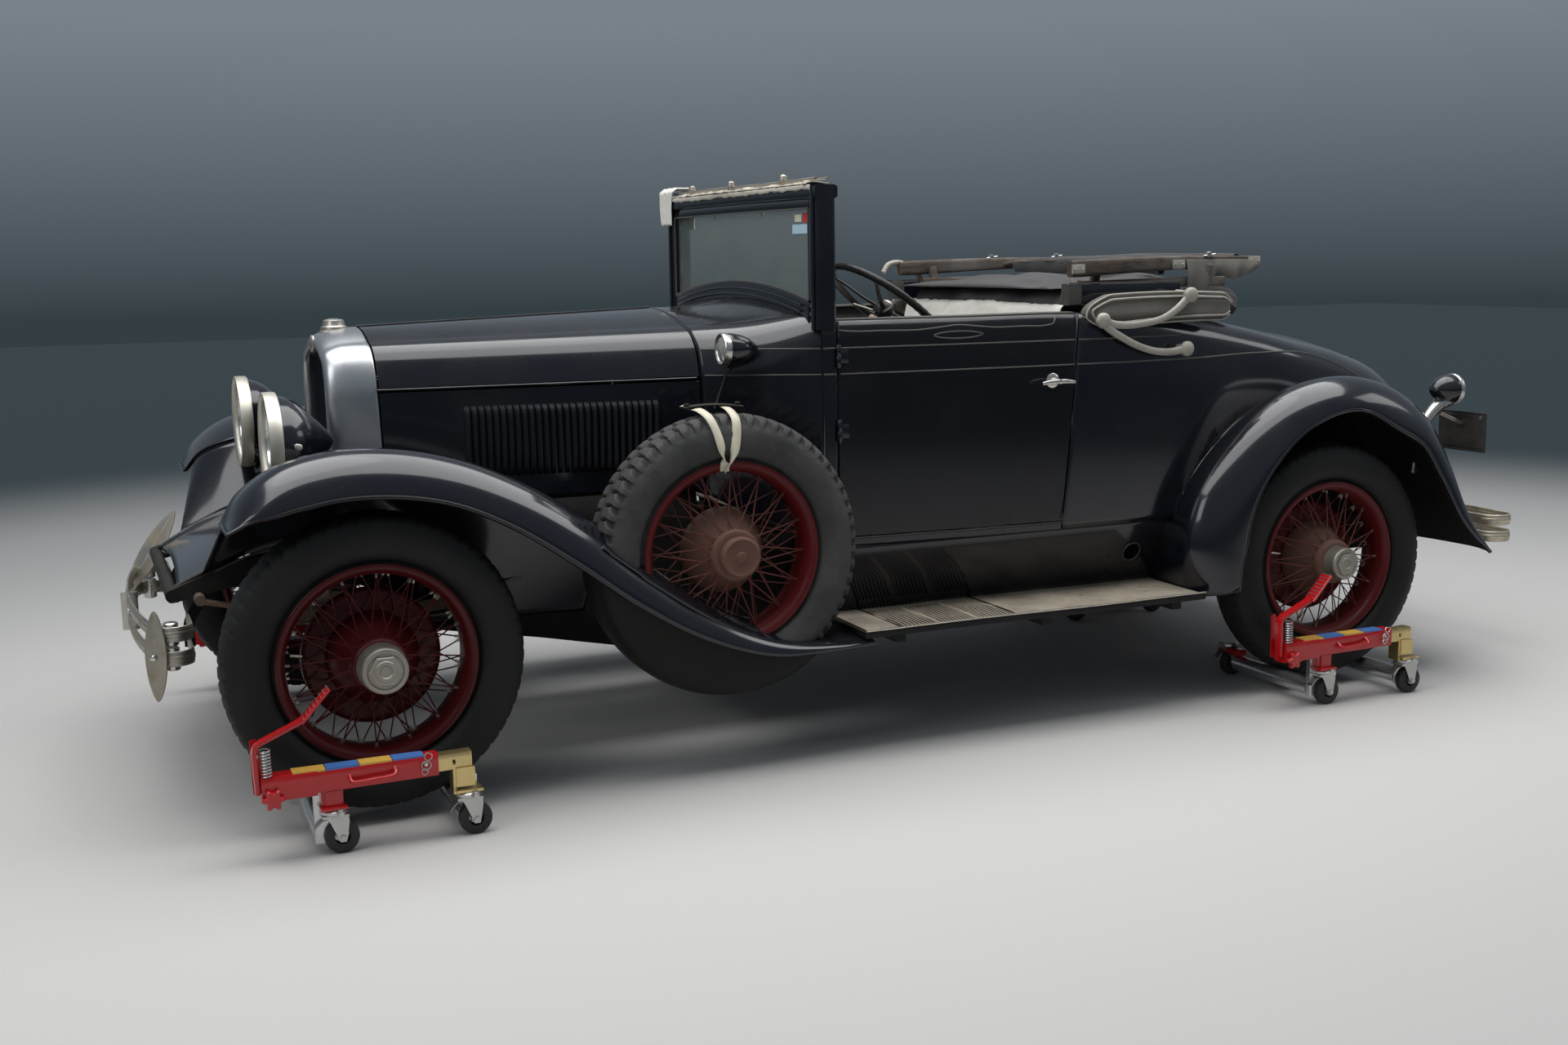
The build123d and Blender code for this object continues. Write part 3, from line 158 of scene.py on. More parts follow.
def tubePatch(path, radius, sides=12, up=(0, 0, 1), scale=None, loop=False):
    turn = ringTurns(sides)
    return sweptPatch(path, radius * stack([cos(turn), sin(turn)], 1), up, scale, loop)


# A turned shape: profile rows (along, radius) spun about an axis through centre
def turnedPatch(profile, centre, axis="x", steps=48, flip=False):
    profile, turn = np.asarray(profile, float), ringTurns(steps)
    along = np.repeat(profile[:, :1], steps, 1)
    across, other = profile[:, 1:] * cos(turn), profile[:, 1:] * sin(turn)
    order = {"x": (along, across, other), "y": (other, along, across), "z": (across, other, along)}[axis]
    return sheetPatch(stack(order, -1) + np.asarray(centre, float), loopColumns=True, flip=not flip)


# A turned shape whose axis points anywhere: the Z-axis one, then a rotation that takes Z to 'direction'
def turnedAlong(profile, centre, direction, steps=24):
    points, faces = turnedPatch(profile, (0, 0, 0), "z", steps)
    w = unit(np.asarray(direction, float))
    u = unit(np.cross((0, 1, 0) if abs(w[1]) < 0.9 else (1, 0, 0), w))
    v = np.cross(w, u)
    return points @ array((u, v, w)) + centre, faces


def boxPatch(low, high):
    (a, b, c), (d, e, f) = np.minimum(low, high), np.maximum(low, high)
    points = array([(a, b, c), (d, b, c), (d, e, c), (a, e, c), (a, b, f), (d, b, f), (d, e, f), (a, e, f)],
            float)
    return points, [[3, 2, 1, 0], [4, 5, 6, 7], [0, 1, 5, 4], [1, 2, 6, 5], [2, 3, 7, 6], [3, 0, 4, 7]]


# A plate: a closed outline in a plane, pushed along 'through'
def platePatch(outline, through):
    outline, through = np.asarray(outline, float), np.asarray(through, float)
    area = np.cross(outline, np.roll(outline, -1, 0)).sum(0)
    if area @ through < 0:
        outline = outline[::-1]
    points, faces = sheetPatch(stack([outline, outline + through]), loopColumns=True, flip=True)
    return points, faces + [face[::-1] for face in endFaces(len(points), len(outline))]


# The part's material slot that each look goes with, where a piece doesn't give another; putPiece looks it up
# but sets no slot with it
slotOf = {look: slot for slot, group in {
    "black_paint": "body door fender louvrePaint wellPaint trimLine dark deepHole plateBlack mat",
    "nickel": "nickel brightNickel shellPlate lampRim bumperPlate capPlate creamBar mirrorGlass",
    "red_wheel_paint": "wheelRed wheelDusty hubDusty spokeDusty",
    "dolly_red": "dollyRed stripBlue stripYellow",
    "dolly_steel": "zinc goldZinc steel",
    "tyre_rubber": "tyre spareTyre blackRubber",
    "white_cloth": "whiteCloth padCloth blackTrim gaiter tape",
    "top_cloth": "topCloth rollCloth",
    "weathered_wood": "wood woodAcross",
    "dusty_glass": "glass redSticker paleSticker",
    "lamp_glass": "lens rubyGlass",
    "dash_wood": "dashPaint dial",
    "frame_black": "frame",
    "board_rubber": "boardMat",
    "iron_grey": "ironPaint",
    "black_plastic": "horn",
}.items() for look in group.split()}


# Makes a finished piece of one patch or of a list of patches; 'stands' names the node that it replaces
def putPiece(name, patch, look, body="car", slot=None, stands=None, thick=0, bevel=0, angle=35):
    points, faces = joined(patch) if isinstance(patch, list) else patch
    mesh = bpy.data.meshes.new(name)
    mesh.from_pydata(((points + (car["axleX"], 0, 0)) / 1000).tolist(), [], faces)
    mesh.polygons.foreach_set("use_smooth", [True] * len(mesh.polygons))
    mesh.materials.append(looks[look])
    piece = bpy.data.objects.new(name, mesh)
    bpy.context.scene.collection.objects.link(piece)
    if angle < 180:
        mesh.set_sharp_from_angle(angle=math.radians(angle))
    if thick:
        wall = piece.modifiers.new("wall", "SOLIDIFY")
        wall.thickness, wall.offset = thick / 1000, -1
    if bevel:
        edge = piece.modifiers.new("edge", "BEVEL")
        edge.width, edge.segments = bevel / 1000, 2
        edge.limit_method, edge.angle_limit = "ANGLE", math.radians(40)
        edge.harden_normals = True
    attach(piece, body)
    slot or slotOf[look]
    if stands:
        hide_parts(stands)
    return piece


# The same piece on both sides of the car
def putPair(name, patch, look, *place, **options):
    patch = joined(patch) if isinstance(patch, list) else patch
    return putPiece(name, bothSides(patch), look, *place, **options)


# Smooth random field on a grid of points: sums of sines in random directions, seeded
def ripples(points, scale, seed):
    dice, waves = np.random.default_rng(seed), 14
    ways = unit(dice.normal(size=(waves, 3))) * dice.uniform(0.6, 1.7, (waves, 1)) * 2 * pi / scale
    shift = dice.uniform(0, 2 * pi, waves)
    waved = sin(points.reshape(-1, 3) @ ways.T + shift).sum(-1) / math.sqrt(waves)
    return waved.reshape(points.shape[:-1])


# A parameter that runs down the rows of a grid, and one that runs over its columns
def down(low, high, count):
    return linspace(low, high, count)[:, None]


def over(low, high, count):
    return linspace(low, high, count)[None]


# A grid of points from three coordinates, each a number, a row, a column or a whole grid
def spread(x, y, z):
    return stack(np.broadcast_arrays(x, y, z), -1)


# Node maths as Python expressions: a Wire is one output socket in one material's tree
class Wire:
    def __init__(self, tree, socket):
        self.tree, self.socket = tree, socket

    # Makes any node: its settings go first, then values or links for its inputs; gives its output
    def make(self, kind, settings=None, out=0, **inputs):
        made = self.tree.nodes.new(kind)
        for key, value in (settings or {}).items():
            if key == "stops":
                ramp = made.color_ramp
                while len(ramp.elements) < len(value):
                    ramp.elements.new(0.5)
                for element, (place, colour) in zip(ramp.elements, value):
                    element.position = place
                    element.color = tuple(colour) + (1,) if len(colour) == 3 else colour
            else:
                setattr(made, key, value)
        for key, value in inputs.items():
            numbered = key[0] == "i" and key[1:].isdigit()
            target = made.inputs[int(key[1:]) if numbered else key.replace("_", " ")]
            if isinstance(value, Wire):
                self.tree.links.new(value.socket, target)
            else:
                target.default_value = value
        return Wire(self.tree, made.outputs[out])

    def maths(self, operation, *others, clamp=False):
        inputs = {"i%d" % (k + 1): other for k, other in enumerate(others)}
        return self.make("ShaderNodeMath", {"operation": operation, "use_clamp": clamp}, i0=self, **inputs)

    def __add__(self, other):
        return self.maths("ADD", other)

    __radd__ = __add__

    def __sub__(self, other):
        return self.maths("SUBTRACT", other)

    def __rsub__(self, other):
        return self.make("ShaderNodeMath", {"operation": "SUBTRACT"}, i0=other, i1=self)

    def __mul__(self, other):
        return self.maths("MULTIPLY", other)

    __rmul__ = __mul__

    def clipped(self):
        return self.maths("ADD", 0.0, clamp=True)

    # 0 below low, 1 above high, a straight ramp between
    def between(self, low, high):
        return ((self - low) * (1 / (high - low))).clipped()

    # The colour a where this mask is 0 and b where it is 1
    def tint(self, a, b):
        a = a if isinstance(a, Wire) else tuple(a) + (1,)
        b = b if isinstance(b, Wire) else tuple(b) + (1,)
        return self.make("ShaderNodeMix", {"data_type": "RGBA"}, 2, i0=self, i6=a, i7=b)

    def noise(self, scale, detail=4.0, rough=0.55, stretch=(1, 1, 1)):
        place = self
        if stretch != (1, 1, 1):
            place = self.make("ShaderNodeMapping", Vector=self, Scale=stretch)
        return self.make("ShaderNodeTexNoise", {}, 0, Vector=place, Scale=scale, Detail=detail,
                Roughness=rough)

    def cells(self, scale, feature="F1"):
        return self.make("ShaderNodeTexVoronoi", {"feature": feature}, 0, Vector=self, Scale=scale)

    def part(self, letter):
        return self.make("ShaderNodeSeparateXYZ", None, "XYZ".index(letter), i0=self)


# Starts a material; gives the wire of Object coordinates in metres and a function that fits the surface
def newFinish(name):
    material = bpy.data.materials.new(name)
    material.use_nodes = True
    tree = material.node_tree
    shader = next(n for n in tree.nodes if n.type == "BSDF_PRINCIPLED")
    start = Wire(tree, None)

    def surface(bump=None, bumpSize=0.0004, **inputs):
        for key, value in inputs.items():
            target = shader.inputs[key.replace("_", " ")]
            if isinstance(value, Wire):
                tree.links.new(value.socket, target)
            elif key in ("Base_Color", "Emission_Color") and len(value) == 3:
                target.default_value = tuple(value) + (1,)
            else:
                target.default_value = value
        if bump is not None:
            relief = start.make("ShaderNodeBump", None, Height=bump, Distance=bumpSize, Strength=1.0)
            tree.links.new(relief.socket, shader.inputs["Normal"])
        return material

    return start.make("ShaderNodeTexCoord", None, 3), surface


# Old gloss paint: settled dust on level faces, faint streaks, chips down to brown primer
def oldPaint(name, colour, dusty=0.35, gloss=0.1, chips=0.5, dustColour=(0.10, 0.085, 0.062), coat=1.0,
        shine=0.15):
    place, surface = newFinish(name)
    cloud = place.noise(3.2, 6, 0.62)
    streak = place.noise(9.0, 5, 0.6, stretch=(1, 1, 0.25))
    speck = place.noise(95.0, 3, 0.7)
    level = place.make("ShaderNodeNewGeometry", None, 1).part("Z").between(-0.2, 1.0)
    dust = ((cloud - 0.42) * 1.6 + (streak - 0.5) * 0.8 + level * 0.5 - 0.2).clipped() * dusty
    chip = ((speck - (0.735 - 0.02 * chips)) * 40).clipped() * (cloud.between(0.45, 0.6)) * chips
    worn = dust.tint(colour, dustColour)
    base = chip.tint(worn, (0.13, 0.105, 0.08))
    rough = gloss + dust * 0.7 + (streak - 0.5) * 0.08 + chip * 0.4
    return surface(bump=speck * 0.25 + cloud * 1.2, bumpSize=0.0003, Base_Color=base,
            Roughness=rough.clipped(), Coat_Weight=(coat - dust * 1.2).clipped(), Coat_Roughness=0.1,
            Specular_IOR_Level=shine)


# Worn plating: yellow-grey tarnish clouds, dull patches and fine pits
def wornPlate(name, colour=(0.66, 0.61, 0.52), tarnish=0.4, rough=0.22, rust=0.15):
    place, surface = newFinish(name)
    cloud = place.noise(14.0, 6, 0.65)
    fine = place.noise(120.0, 4, 0.7)
    pits = place.noise(310.0, 2, 0.6)
    dull = (cloud.between(0.42, 0.68) * tarnish).clipped()
    spots = ((fine - 0.66) * 14).clipped() * rust * cloud.between(0.4, 0.6)
    base = spots.tint(dull.tint(colour, (0.33, 0.27, 0.18)), (0.13, 0.06, 0.03))
    return surface(bump=pits * 0.4 + fine * 0.6, bumpSize=0.00015, Base_Color=base,
            Metallic=(1 - spots * 0.9 - dull * 0.25).clipped(),
            Roughness=(rough + dull * 0.35 + spots * 0.5 + (fine - 0.5) * 0.1).clipped())


def plainMetal(name, colour, rough, metallic=0.9, rust=0.3):
    place, surface = newFinish(name)
    cloud = place.noise(11.0, 6, 0.65)
    fine = place.noise(99.0, 4, 0.65)
    rusty = ((cloud * 0.6 + fine * 0.4 - 0.47) * 7).clipped() * rust
    return surface(bump=fine + rusty * 1.5, bumpSize=0.0003,
            Base_Color=rusty.tint(colour, (0.16, 0.07, 0.035)),
            Metallic=(metallic * (1 - rusty)).clipped(),
            Roughness=(rough + rusty * 0.4 + (fine - 0.5) * 0.15).clipped())


# Rubber with dust in clouds; the fine relief is moulding grain
def dustyRubber(name, colour=(0.028, 0.027, 0.027), dust=0.35, dustColour=(0.20, 0.175, 0.14), rough=0.72,
        shine=0.25):
    place, surface = newFinish(name)
    cloud = place.noise(7.0, 6, 0.6)
    fine = place.noise(160.0, 4, 0.6)
    amount = ((cloud - 0.38) * 2.4 + (fine - 0.5) * 0.8).clipped() * dust
    return surface(bump=fine, bumpSize=0.0004, Base_Color=amount.tint(colour, dustColour),
            Roughness=(rough + amount * 0.25).clipped(), Specular_IOR_Level=shine)


# Cloth: a plain weave from two crossed sine waves on the surface, with soiled clouds
def wovenCloth(name, colour, soiled, threads=0.0016, soil=0.5, rough=0.9, sheen=0.15):
    place, surface = newFinish(name)
    turn = 2 * math.pi / threads
    warp = (place.part("X") * turn).maths("SINE")
    weft = ((place.part("Y") + place.part("Z") * 0.7) * turn).maths("SINE")
    weave = warp * weft
    cloud = place.noise(5.0, 7, 0.62)
    fine = place.noise(60.0, 4, 0.6)
    dirt = ((cloud - 0.42) * 3 + (fine - 0.5) * 0.7).clipped() * soil
    shade = (weave * 0.06 + (fine - 0.5) * 0.25).clipped()
    base = shade.tint(dirt.tint(colour, soiled), tuple(c * 0.6 for c in soiled))
    return surface(bump=weave * 0.5 + fine * 1.2, bumpSize=0.0005, Base_Color=base, Roughness=rough,
            Sheen_Weight=sheen, Specular_IOR_Level=0.2)


# Bare wood: grain lines stretched along one axis, grey where it has weathered
def bareWood(name, colour, dark, grey, along="X"):
    place, surface = newFinish(name)
    stretch = {"X": (1, 14, 14), "Y": (14, 1, 14), "Z": (14, 14, 1)}[along]
    grain = place.noise(9.0, 8, 0.7, stretch=stretch)
    streak = place.noise(28.0, 5, 0.7, stretch=stretch)
    patch = place.noise(4.0, 4, 0.6)
    base = patch.between(0.48, 0.7).tint(grain.between(0.35, 0.65).tint(colour, dark), grey)
    return surface(bump=grain + streak * 0.6, bumpSize=0.0007, Base_Color=base,
            Roughness=(0.55 + grain * 0.35).clipped())


# Old leather: cracked cells over soft creases
def oldLeather(name, colour, dark, rough=0.55):
    place, surface = newFinish(name)
    pores = place.cells(420.0, "DISTANCE_TO_EDGE")
    crease = place.noise(30.0, 6, 0.65)
    cloud = place.noise(6.0, 4, 0.6)
    return surface(bump=pores * 2 + crease, bumpSize=0.0005,
            Base_Color=(cloud * 0.6 + crease * 0.4).between(0.38, 0.66).tint(colour, dark),
            Roughness=(rough + (crease - 0.5) * 0.3).clipped())


# Glass as a thin see-through skin; dirt makes it cloudier and rougher
def thinGlass(name, colour=(0.62, 0.66, 0.6), clear=0.16, dirt=0.5, rough=0.05):
    place, surface = newFinish(name)
    cloud = place.noise(5.0, 6, 0.62)
    smear = place.noise(26.0, 5, 0.6, stretch=(1, 0.4, 1.8))
    film = ((cloud - 0.4) * 1.8 + (smear - 0.5) * 0.8).clipped() * dirt
    return surface(Base_Color=film.tint(colour, (0.27, 0.28, 0.24)), Roughness=(rough + film * 0.4).clipped(),
            Alpha=(clear + film * 0.5).clipped(), Specular_IOR_Level=0.8)


looks = {
    "body": oldPaint("blackBodyPaint", (0.0045, 0.0055, 0.0095), dusty=0.14, gloss=0.25, chips=0.5),
    "door": oldPaint("dustyDoorPaint", (0.006, 0.0065, 0.009), dusty=0.4, gloss=0.2, chips=0.6,
        dustColour=(0.040, 0.034, 0.026), coat=0.6),
    "fender": oldPaint("blackFenderPaint", (0.004, 0.005, 0.0095), dusty=0.1, gloss=0.25, chips=0.5),
    "louvrePaint": oldPaint("louvrePaint", (0.004, 0.005, 0.008), dusty=0.3, gloss=0.45, chips=0.3,
        dustColour=(0.03, 0.028, 0.025), coat=0.12, shine=0.25),
    "frame": oldPaint("satinFrameBlack", (0.012, 0.012, 0.012), dusty=0.4, gloss=0.45, chips=0.6, coat=0.0),
    "wellPaint": oldPaint("wellPaint", (0.010, 0.010, 0.009), dusty=0.5, gloss=0.5, chips=0.3,
        dustColour=(0.022, 0.016, 0.01), coat=0.0),
    "trimLine": oldPaint("wornMoulding", (0.060, 0.057, 0.052), dusty=0.3, gloss=0.3, chips=0.8, coat=0.2,
        shine=0.4),
    "nickel": wornPlate("wornNickel", (0.46, 0.43, 0.38), tarnish=0.55, rough=0.38, rust=0.35),
    "brightNickel": wornPlate("brightNickel", (0.60, 0.585, 0.55), tarnish=0.2, rough=0.27, rust=0.05),
    "shellPlate": wornPlate("satinShellPlate", (0.50, 0.51, 0.53), tarnish=0.12, rough=0.33, rust=0.03),
    "lampRim": wornPlate("creamLampRim", (0.62, 0.59, 0.51), tarnish=0.35, rough=0.45, rust=0.08),
    "bumperPlate": wornPlate("dullBumperPlate", (0.40, 0.375, 0.33), tarnish=0.75, rough=0.42, rust=0.85),
    "capPlate": wornPlate("dustyCapPlate", (0.34, 0.325, 0.29), tarnish=0.4, rough=0.48, rust=0.15),
    "creamBar": wornPlate("creamRustyPlate", (0.60, 0.54, 0.43), tarnish=0.7, rough=0.42, rust=0.9),
    "wheelRed": oldPaint("darkRedWheelPaint", (0.055, 0.004, 0.005), dusty=0.2, gloss=0.35, chips=0.2,
        dustColour=(0.045, 0.022, 0.018), coat=0.15),
    "wheelDusty": oldPaint("dustyRedWheelPaint", (0.085, 0.007, 0.008), dusty=0.3, gloss=0.38, chips=0.5,
        dustColour=(0.14, 0.075, 0.055), coat=0.1),
    "hubDusty": oldPaint("dustyHubPaint", (0.13, 0.065, 0.048), dusty=0.8, gloss=0.55, chips=0.3,
        dustColour=(0.19, 0.135, 0.10), coat=0.0),
    "spokeDusty": oldPaint("dustySpokePaint", (0.11, 0.03, 0.026), dusty=0.8, gloss=0.5, chips=0.3,
        dustColour=(0.20, 0.13, 0.10), coat=0.0),
    "dollyRed": oldPaint("dollyRedPaint", (0.42, 0.005, 0.008), dusty=0.08, gloss=0.25, chips=0.15, coat=0.4,
        shine=0.4),
    "zinc": plainMetal("zincSteel", (0.52, 0.52, 0.50), rough=0.34, rust=0.12),
    "goldZinc": plainMetal("goldZinc", (0.62, 0.48, 0.22), rough=0.3, rust=0.1),
    "steel": plainMetal("rollerSteel", (0.56, 0.56, 0.56), rough=0.22, rust=0.08),
    "rust": plainMetal("rustedSteel", (0.16, 0.13, 0.11), rough=0.6, metallic=0.7, rust=0.9),
    "iron": plainMetal("engineIron", (0.09, 0.10, 0.09), rough=0.55, metallic=0.4, rust=0.4),
    "tyre": dustyRubber("tyreRubber", (0.008, 0.008, 0.008), dust=0.14, dustColour=(0.045, 0.04, 0.032),
        rough=0.6),
    "blackRubber": dustyRubber("blackCasterRubber", dust=0.1, rough=0.5),
    "mat": dustyRubber("boardMatRubber", (0.12, 0.10, 0.075), dust=0.9, dustColour=(0.38, 0.32, 0.24),
        rough=0.85),
    "topCloth": wovenCloth("foldedTopCloth", (0.045, 0.043, 0.043), (0.10, 0.095, 0.088), threads=0.0018,
        soil=0.4, rough=0.5, sheen=0.12),
    "rollCloth": wovenCloth("fadedRollCloth", (0.13, 0.122, 0.106), (0.075, 0.068, 0.058), threads=0.0018,
        soil=0.6, rough=0.75, sheen=0.2),
    "whiteCloth": wovenCloth("offWhiteSheet", (0.78, 0.76, 0.70), (0.50, 0.46, 0.38), threads=0.0012,
        soil=0.4),
    "padCloth": wovenCloth("tornPadding", (0.48, 0.45, 0.38), (0.20, 0.17, 0.13), threads=0.003, soil=0.8),
    "wood": bareWood("weatheredRail", (0.085, 0.060, 0.042), (0.022, 0.017, 0.014), (0.13, 0.12, 0.11)),
    "woodAcross": bareWood("weatheredBow", (0.09, 0.066, 0.045), (0.026, 0.020, 0.016), (0.14, 0.13, 0.115),
        "Y"),
    "gaiter": oldLeather("beigeGaiter", (0.42, 0.33, 0.22), (0.24, 0.17, 0.11)),
    "blackTrim": oldLeather("blackTrimCloth", (0.03, 0.03, 0.032), (0.012, 0.012, 0.013), 0.6),
    "horn": dustyRubber("blackWheelRim", (0.012, 0.012, 0.012), dust=0.12, rough=0.28),
    "ironPaint": plainMetal("greyCreamIron", (0.33, 0.315, 0.275), rough=0.5, metallic=0.2, rust=0.25),
    "glass": thinGlass("dustyScreenGlass", (0.20, 0.23, 0.21), clear=0.22, dirt=0.55),
    "lens": thinGlass("flutedLensGlass", (0.80, 0.82, 0.78), clear=0.3, dirt=0.3, rough=0.08),
    "rubyGlass": thinGlass("rubyLens", (0.35, 0.01, 0.01), clear=0.9, dirt=0.1, rough=0.15),
    "mirrorGlass": plainMetal("silveredBowl", (0.8, 0.8, 0.78), rough=0.08, metallic=1.0, rust=0.05),
    "dark": dustyRubber("darkInside", (0.007, 0.007, 0.007), dust=0.3, dustColour=(0.045, 0.034, 0.024),
        rough=0.8, shine=0.15),
    # painted shade for the inside of holes: near black
    "deepHole": dustyRubber("deepHole", (0.0015, 0.0015, 0.0015), dust=0.05, dustColour=(0.01, 0.008, 0.006),
        rough=0.9, shine=0.05),
    "tape": dustyRubber("creamTape", (0.62, 0.58, 0.46), dust=0.25, dustColour=(0.35, 0.30, 0.2), rough=0.6),
    "stripBlue": dustyRubber("blueStrip", (0.06, 0.16, 0.43), dust=0.1, rough=0.4),
    "stripYellow": dustyRubber("yellowStrip", (0.62, 0.37, 0.07), dust=0.1, rough=0.4),
    "redSticker": dustyRubber("redSticker", (0.5, 0.02, 0.03), dust=0.2, rough=0.5),
    "paleSticker": dustyRubber("paleBlueSticker", (0.42, 0.60, 0.72), dust=0.2, rough=0.5),
    "plateBlack": dustyRubber("blankPlateBlack", (0.02, 0.02, 0.02), dust=0.3, rough=0.45),
    "dashPaint": oldPaint("dashPaint", (0.035, 0.02, 0.012), dusty=0.3, gloss=0.25, chips=0.4),
    "dial": dustyRubber("dialFace", (0.75, 0.72, 0.62), dust=0.2, rough=0.4),
}
print("finishes made:", len(looks))

# Body sections at x: foot, middle of the side, belt, end of the shoulder, crown
bodyTables = {
    "bonnet": (
        (117, 268, 800, 273, 970, 275, 1146, 176, 1284, 1324),
        (1070, 438, 800, 446, 975, 450, 1153, 322, 1306, 1357)),
    "cowl": (
        (1070, 438, 800, 446, 975, 450, 1153, 322, 1306, 1357),
        (1250, 540, 705, 552, 975, 552, 1190, 410, 1322, 1362),
        (1400, 634, 645, 644, 980, 638, 1262, 520, 1352, 1392)),
    "tub": (
        (1400, 632, 625, 642, 980, 638, 1285, 600, 1325, 1326),
        (1840, 672, 625, 683, 980, 675, 1285, 640, 1325, 1326),
        (2280, 690, 625, 700, 980, 690, 1285, 655, 1325, 1326),
        (2780, 660, 625, 672, 960, 655, 1220, 560, 1298, 1320),
        (3060, 605, 625, 618, 930, 604, 1165, 500, 1252, 1288),
        (3320, 560, 625, 577, 900, 560, 1110, 430, 1200, 1240),
        (3620, 468, 625, 485, 860, 470, 1040, 335, 1142, 1184),
        (3880, 372, 640, 388, 820, 375, 950, 250, 1058, 1102),
        (4060, 292, 680, 304, 780, 292, 860, 180, 948, 990)),
    "radiator": (
        (-16, 244, 700, 247, 950, 246, 1130, 168, 1262, 1300),
        (30, 256, 700, 259, 960, 258, 1138, 174, 1278, 1318),
        (117, 272, 700, 276, 965, 276, 1146, 176, 1284, 1324)),
}


# Rows of a table at any x: cubic Hermite pieces, slopes from finite differences; two rows give straight lines
def tableAt(table, x):
    rows = np.asarray(table, float)
    at = rows[:, 0]
    slopes = np.gradient(rows, at, axis=0)
    x = np.asarray(x, float)
    k = clip(np.searchsorted(at, x, side="right") - 1, 0, len(at) - 2)
    h = (at[k + 1] - at[k])[..., None]
    t = (x - at[k])[..., None] / h
    low = (1 + 2 * t) * (1 - t) ** 2 * rows[k] + t * (1 - t) ** 2 * h * slopes[k]
    return low + t * t * (3 - 2 * t) * rows[k + 1] + t * t * (t - 1) * h * slopes[k + 1]


# Point on the body at x and t. t 0 to 1: the side, where z is linear in t and y a parabola through foot,
# middle and belt. 1 to 2: the shoulder, a Bezier arc towards its corner. 2 to 3: half the crown, a parabola
# that ends on y = 0.
def bodyPoint(name, x, t):
    x, t = np.broadcast_arrays(np.asarray(x, float), np.asarray(t, float))
    row = tableAt(bodyTables[name], x)
    footY, footZ, sideY, sideZ, beltY, beltZ, endY, endZ, crownZ = (row[..., k] for k in range(1, 10))
    s = clip(t, -0.1, 1)
    z = footZ + s * (beltZ - footZ)
    a, b, c = z - footZ, z - sideZ, z - beltZ
    y = footY * b * c / ((footZ - sideZ) * (footZ - beltZ))
    y = y + sideY * a * c / ((sideZ - footZ) * (sideZ - beltZ))
    y = y + beltY * a * b / ((beltZ - footZ) * (beltZ - sideZ))
    q = clip(t - 1, 0, 1)
    pullY = (beltY + endY) / 2 + 0.82 * (beltY - endY) / 2
    pullZ = (beltZ + endZ) / 2 + 0.82 * (endZ - beltZ) / 2
    arcY = (1 - q) ** 2 * beltY + 2 * q * (1 - q) * pullY + q * q * endY
    arcZ = (1 - q) ** 2 * beltZ + 2 * q * (1 - q) * pullZ + q * q * endZ
    r = clip(3 - t, 0, 1)
    y = np.where(t > 2, endY * r, np.where(t > 1, arcY, y))
    z = np.where(t > 2, crownZ - (crownZ - endZ) * r * r, np.where(t > 1, arcZ, z))
    return spread(x, y, z)


def tAtHeight(name, x, z):
    row = tableAt(bodyTables[name], x)
    return (z - row[..., 2]) / (row[..., 6] - row[..., 2])


# Where the body's side or shoulder has height z at x; steps are fine enough for a bead to lie on it
def onBody(name, x, z):
    steps = linspace(0, 2.6, 400)
    found = []
    for place, height in zip(np.atleast_1d(x), np.broadcast_to(z, np.shape(np.atleast_1d(x)))):
        line = bodyPoint(name, place, steps)
        found.append((place, interp(height, line[:, 2], line[:, 1]), height))
    return array(found)


# One panel, right side: x runs between two edges that may depend on t; the grid is (t, x)
def panelPatch(name, xLow, xHigh, tLow, tHigh, up=24, across=60, offset=0.0):
    t = down(0, 1, up)
    s = over(0, 1, across)
    low = xLow if callable(xLow) else (lambda z: xLow)
    high = xHigh if callable(xHigh) else (lambda z: xHigh)
    tl = tLow if callable(tLow) else (lambda x: tLow)
    th = tHigh if callable(tHigh) else (lambda x: tHigh)
    x = np.broadcast_to(low(0) + s * (high(0) - low(0)), (up, across)).copy()
    for _ in range(2):
        tt = tl(x) + t * (th(x) - tl(x))
        z = bodyPoint(name, x, tt)[..., 2]
        x = low(z) + s * (high(z) - low(z))
    grid = bodyPoint(name, x, tl(x) + t * (th(x) - tl(x)))
    if offset:
        normal = unit(np.cross(np.gradient(grid, axis=1), np.gradient(grid, axis=0)))
        grid = grid + normal * offset
    return sheetPatch(grid)


ridge = {"x": 117, "z": 1324, "slope": 33 / 953, "gap": 6}


# A cut square to the bonnet's ridge: x moves back as z drops
def squareCut(x):
    top = ridge["z"] + (x - ridge["x"]) * ridge["slope"]
    return lambda z: x + (top - np.where(np.asarray(z) > 0, z, top)) * ridge["slope"]


# lid: front and rear x, half width there
panels = {"sheet": 4, "edge": 1.2, "doorFront": 1452, "doorRearFoot": 2226, "doorRearTop": 2283,
          "doorFootZ": 655, "cockpitRear": 2720, "lid": (3200, 3900, 350, 230), "gap": 6, "tailX": 4060}


def doorRearEdge(shift=0):
    low, high, foot = panels["doorRearFoot"], panels["doorRearTop"], panels["doorFootZ"]
    return lambda z: low + shift + (clip(z, foot, 1325) - foot) / (1325 - foot) * (high - low)


def lidEdge(shift=0):
    x0, x1, y0, y1 = panels["lid"]

    def edge(x):
        row = tableAt(bodyTables["tub"], x)
        half = y0 + (clip(x, x0, x1) - x0) / (x1 - x0) * (y1 - y0) + shift
        return 3 - half / row[..., 7]
    return edge


# For one side's own pieces: gives a function that makes them on the right and mirrors them for the left
def sideMaker(body, side):
    def put(name, patch, look, slot=None, **options):
        patch = joined(patch) if isinstance(patch, list) else patch
        putPiece(name + "_" + side, patch if side == "right" else mirroredPatch(patch), look, body, slot,
                **options)
    return put


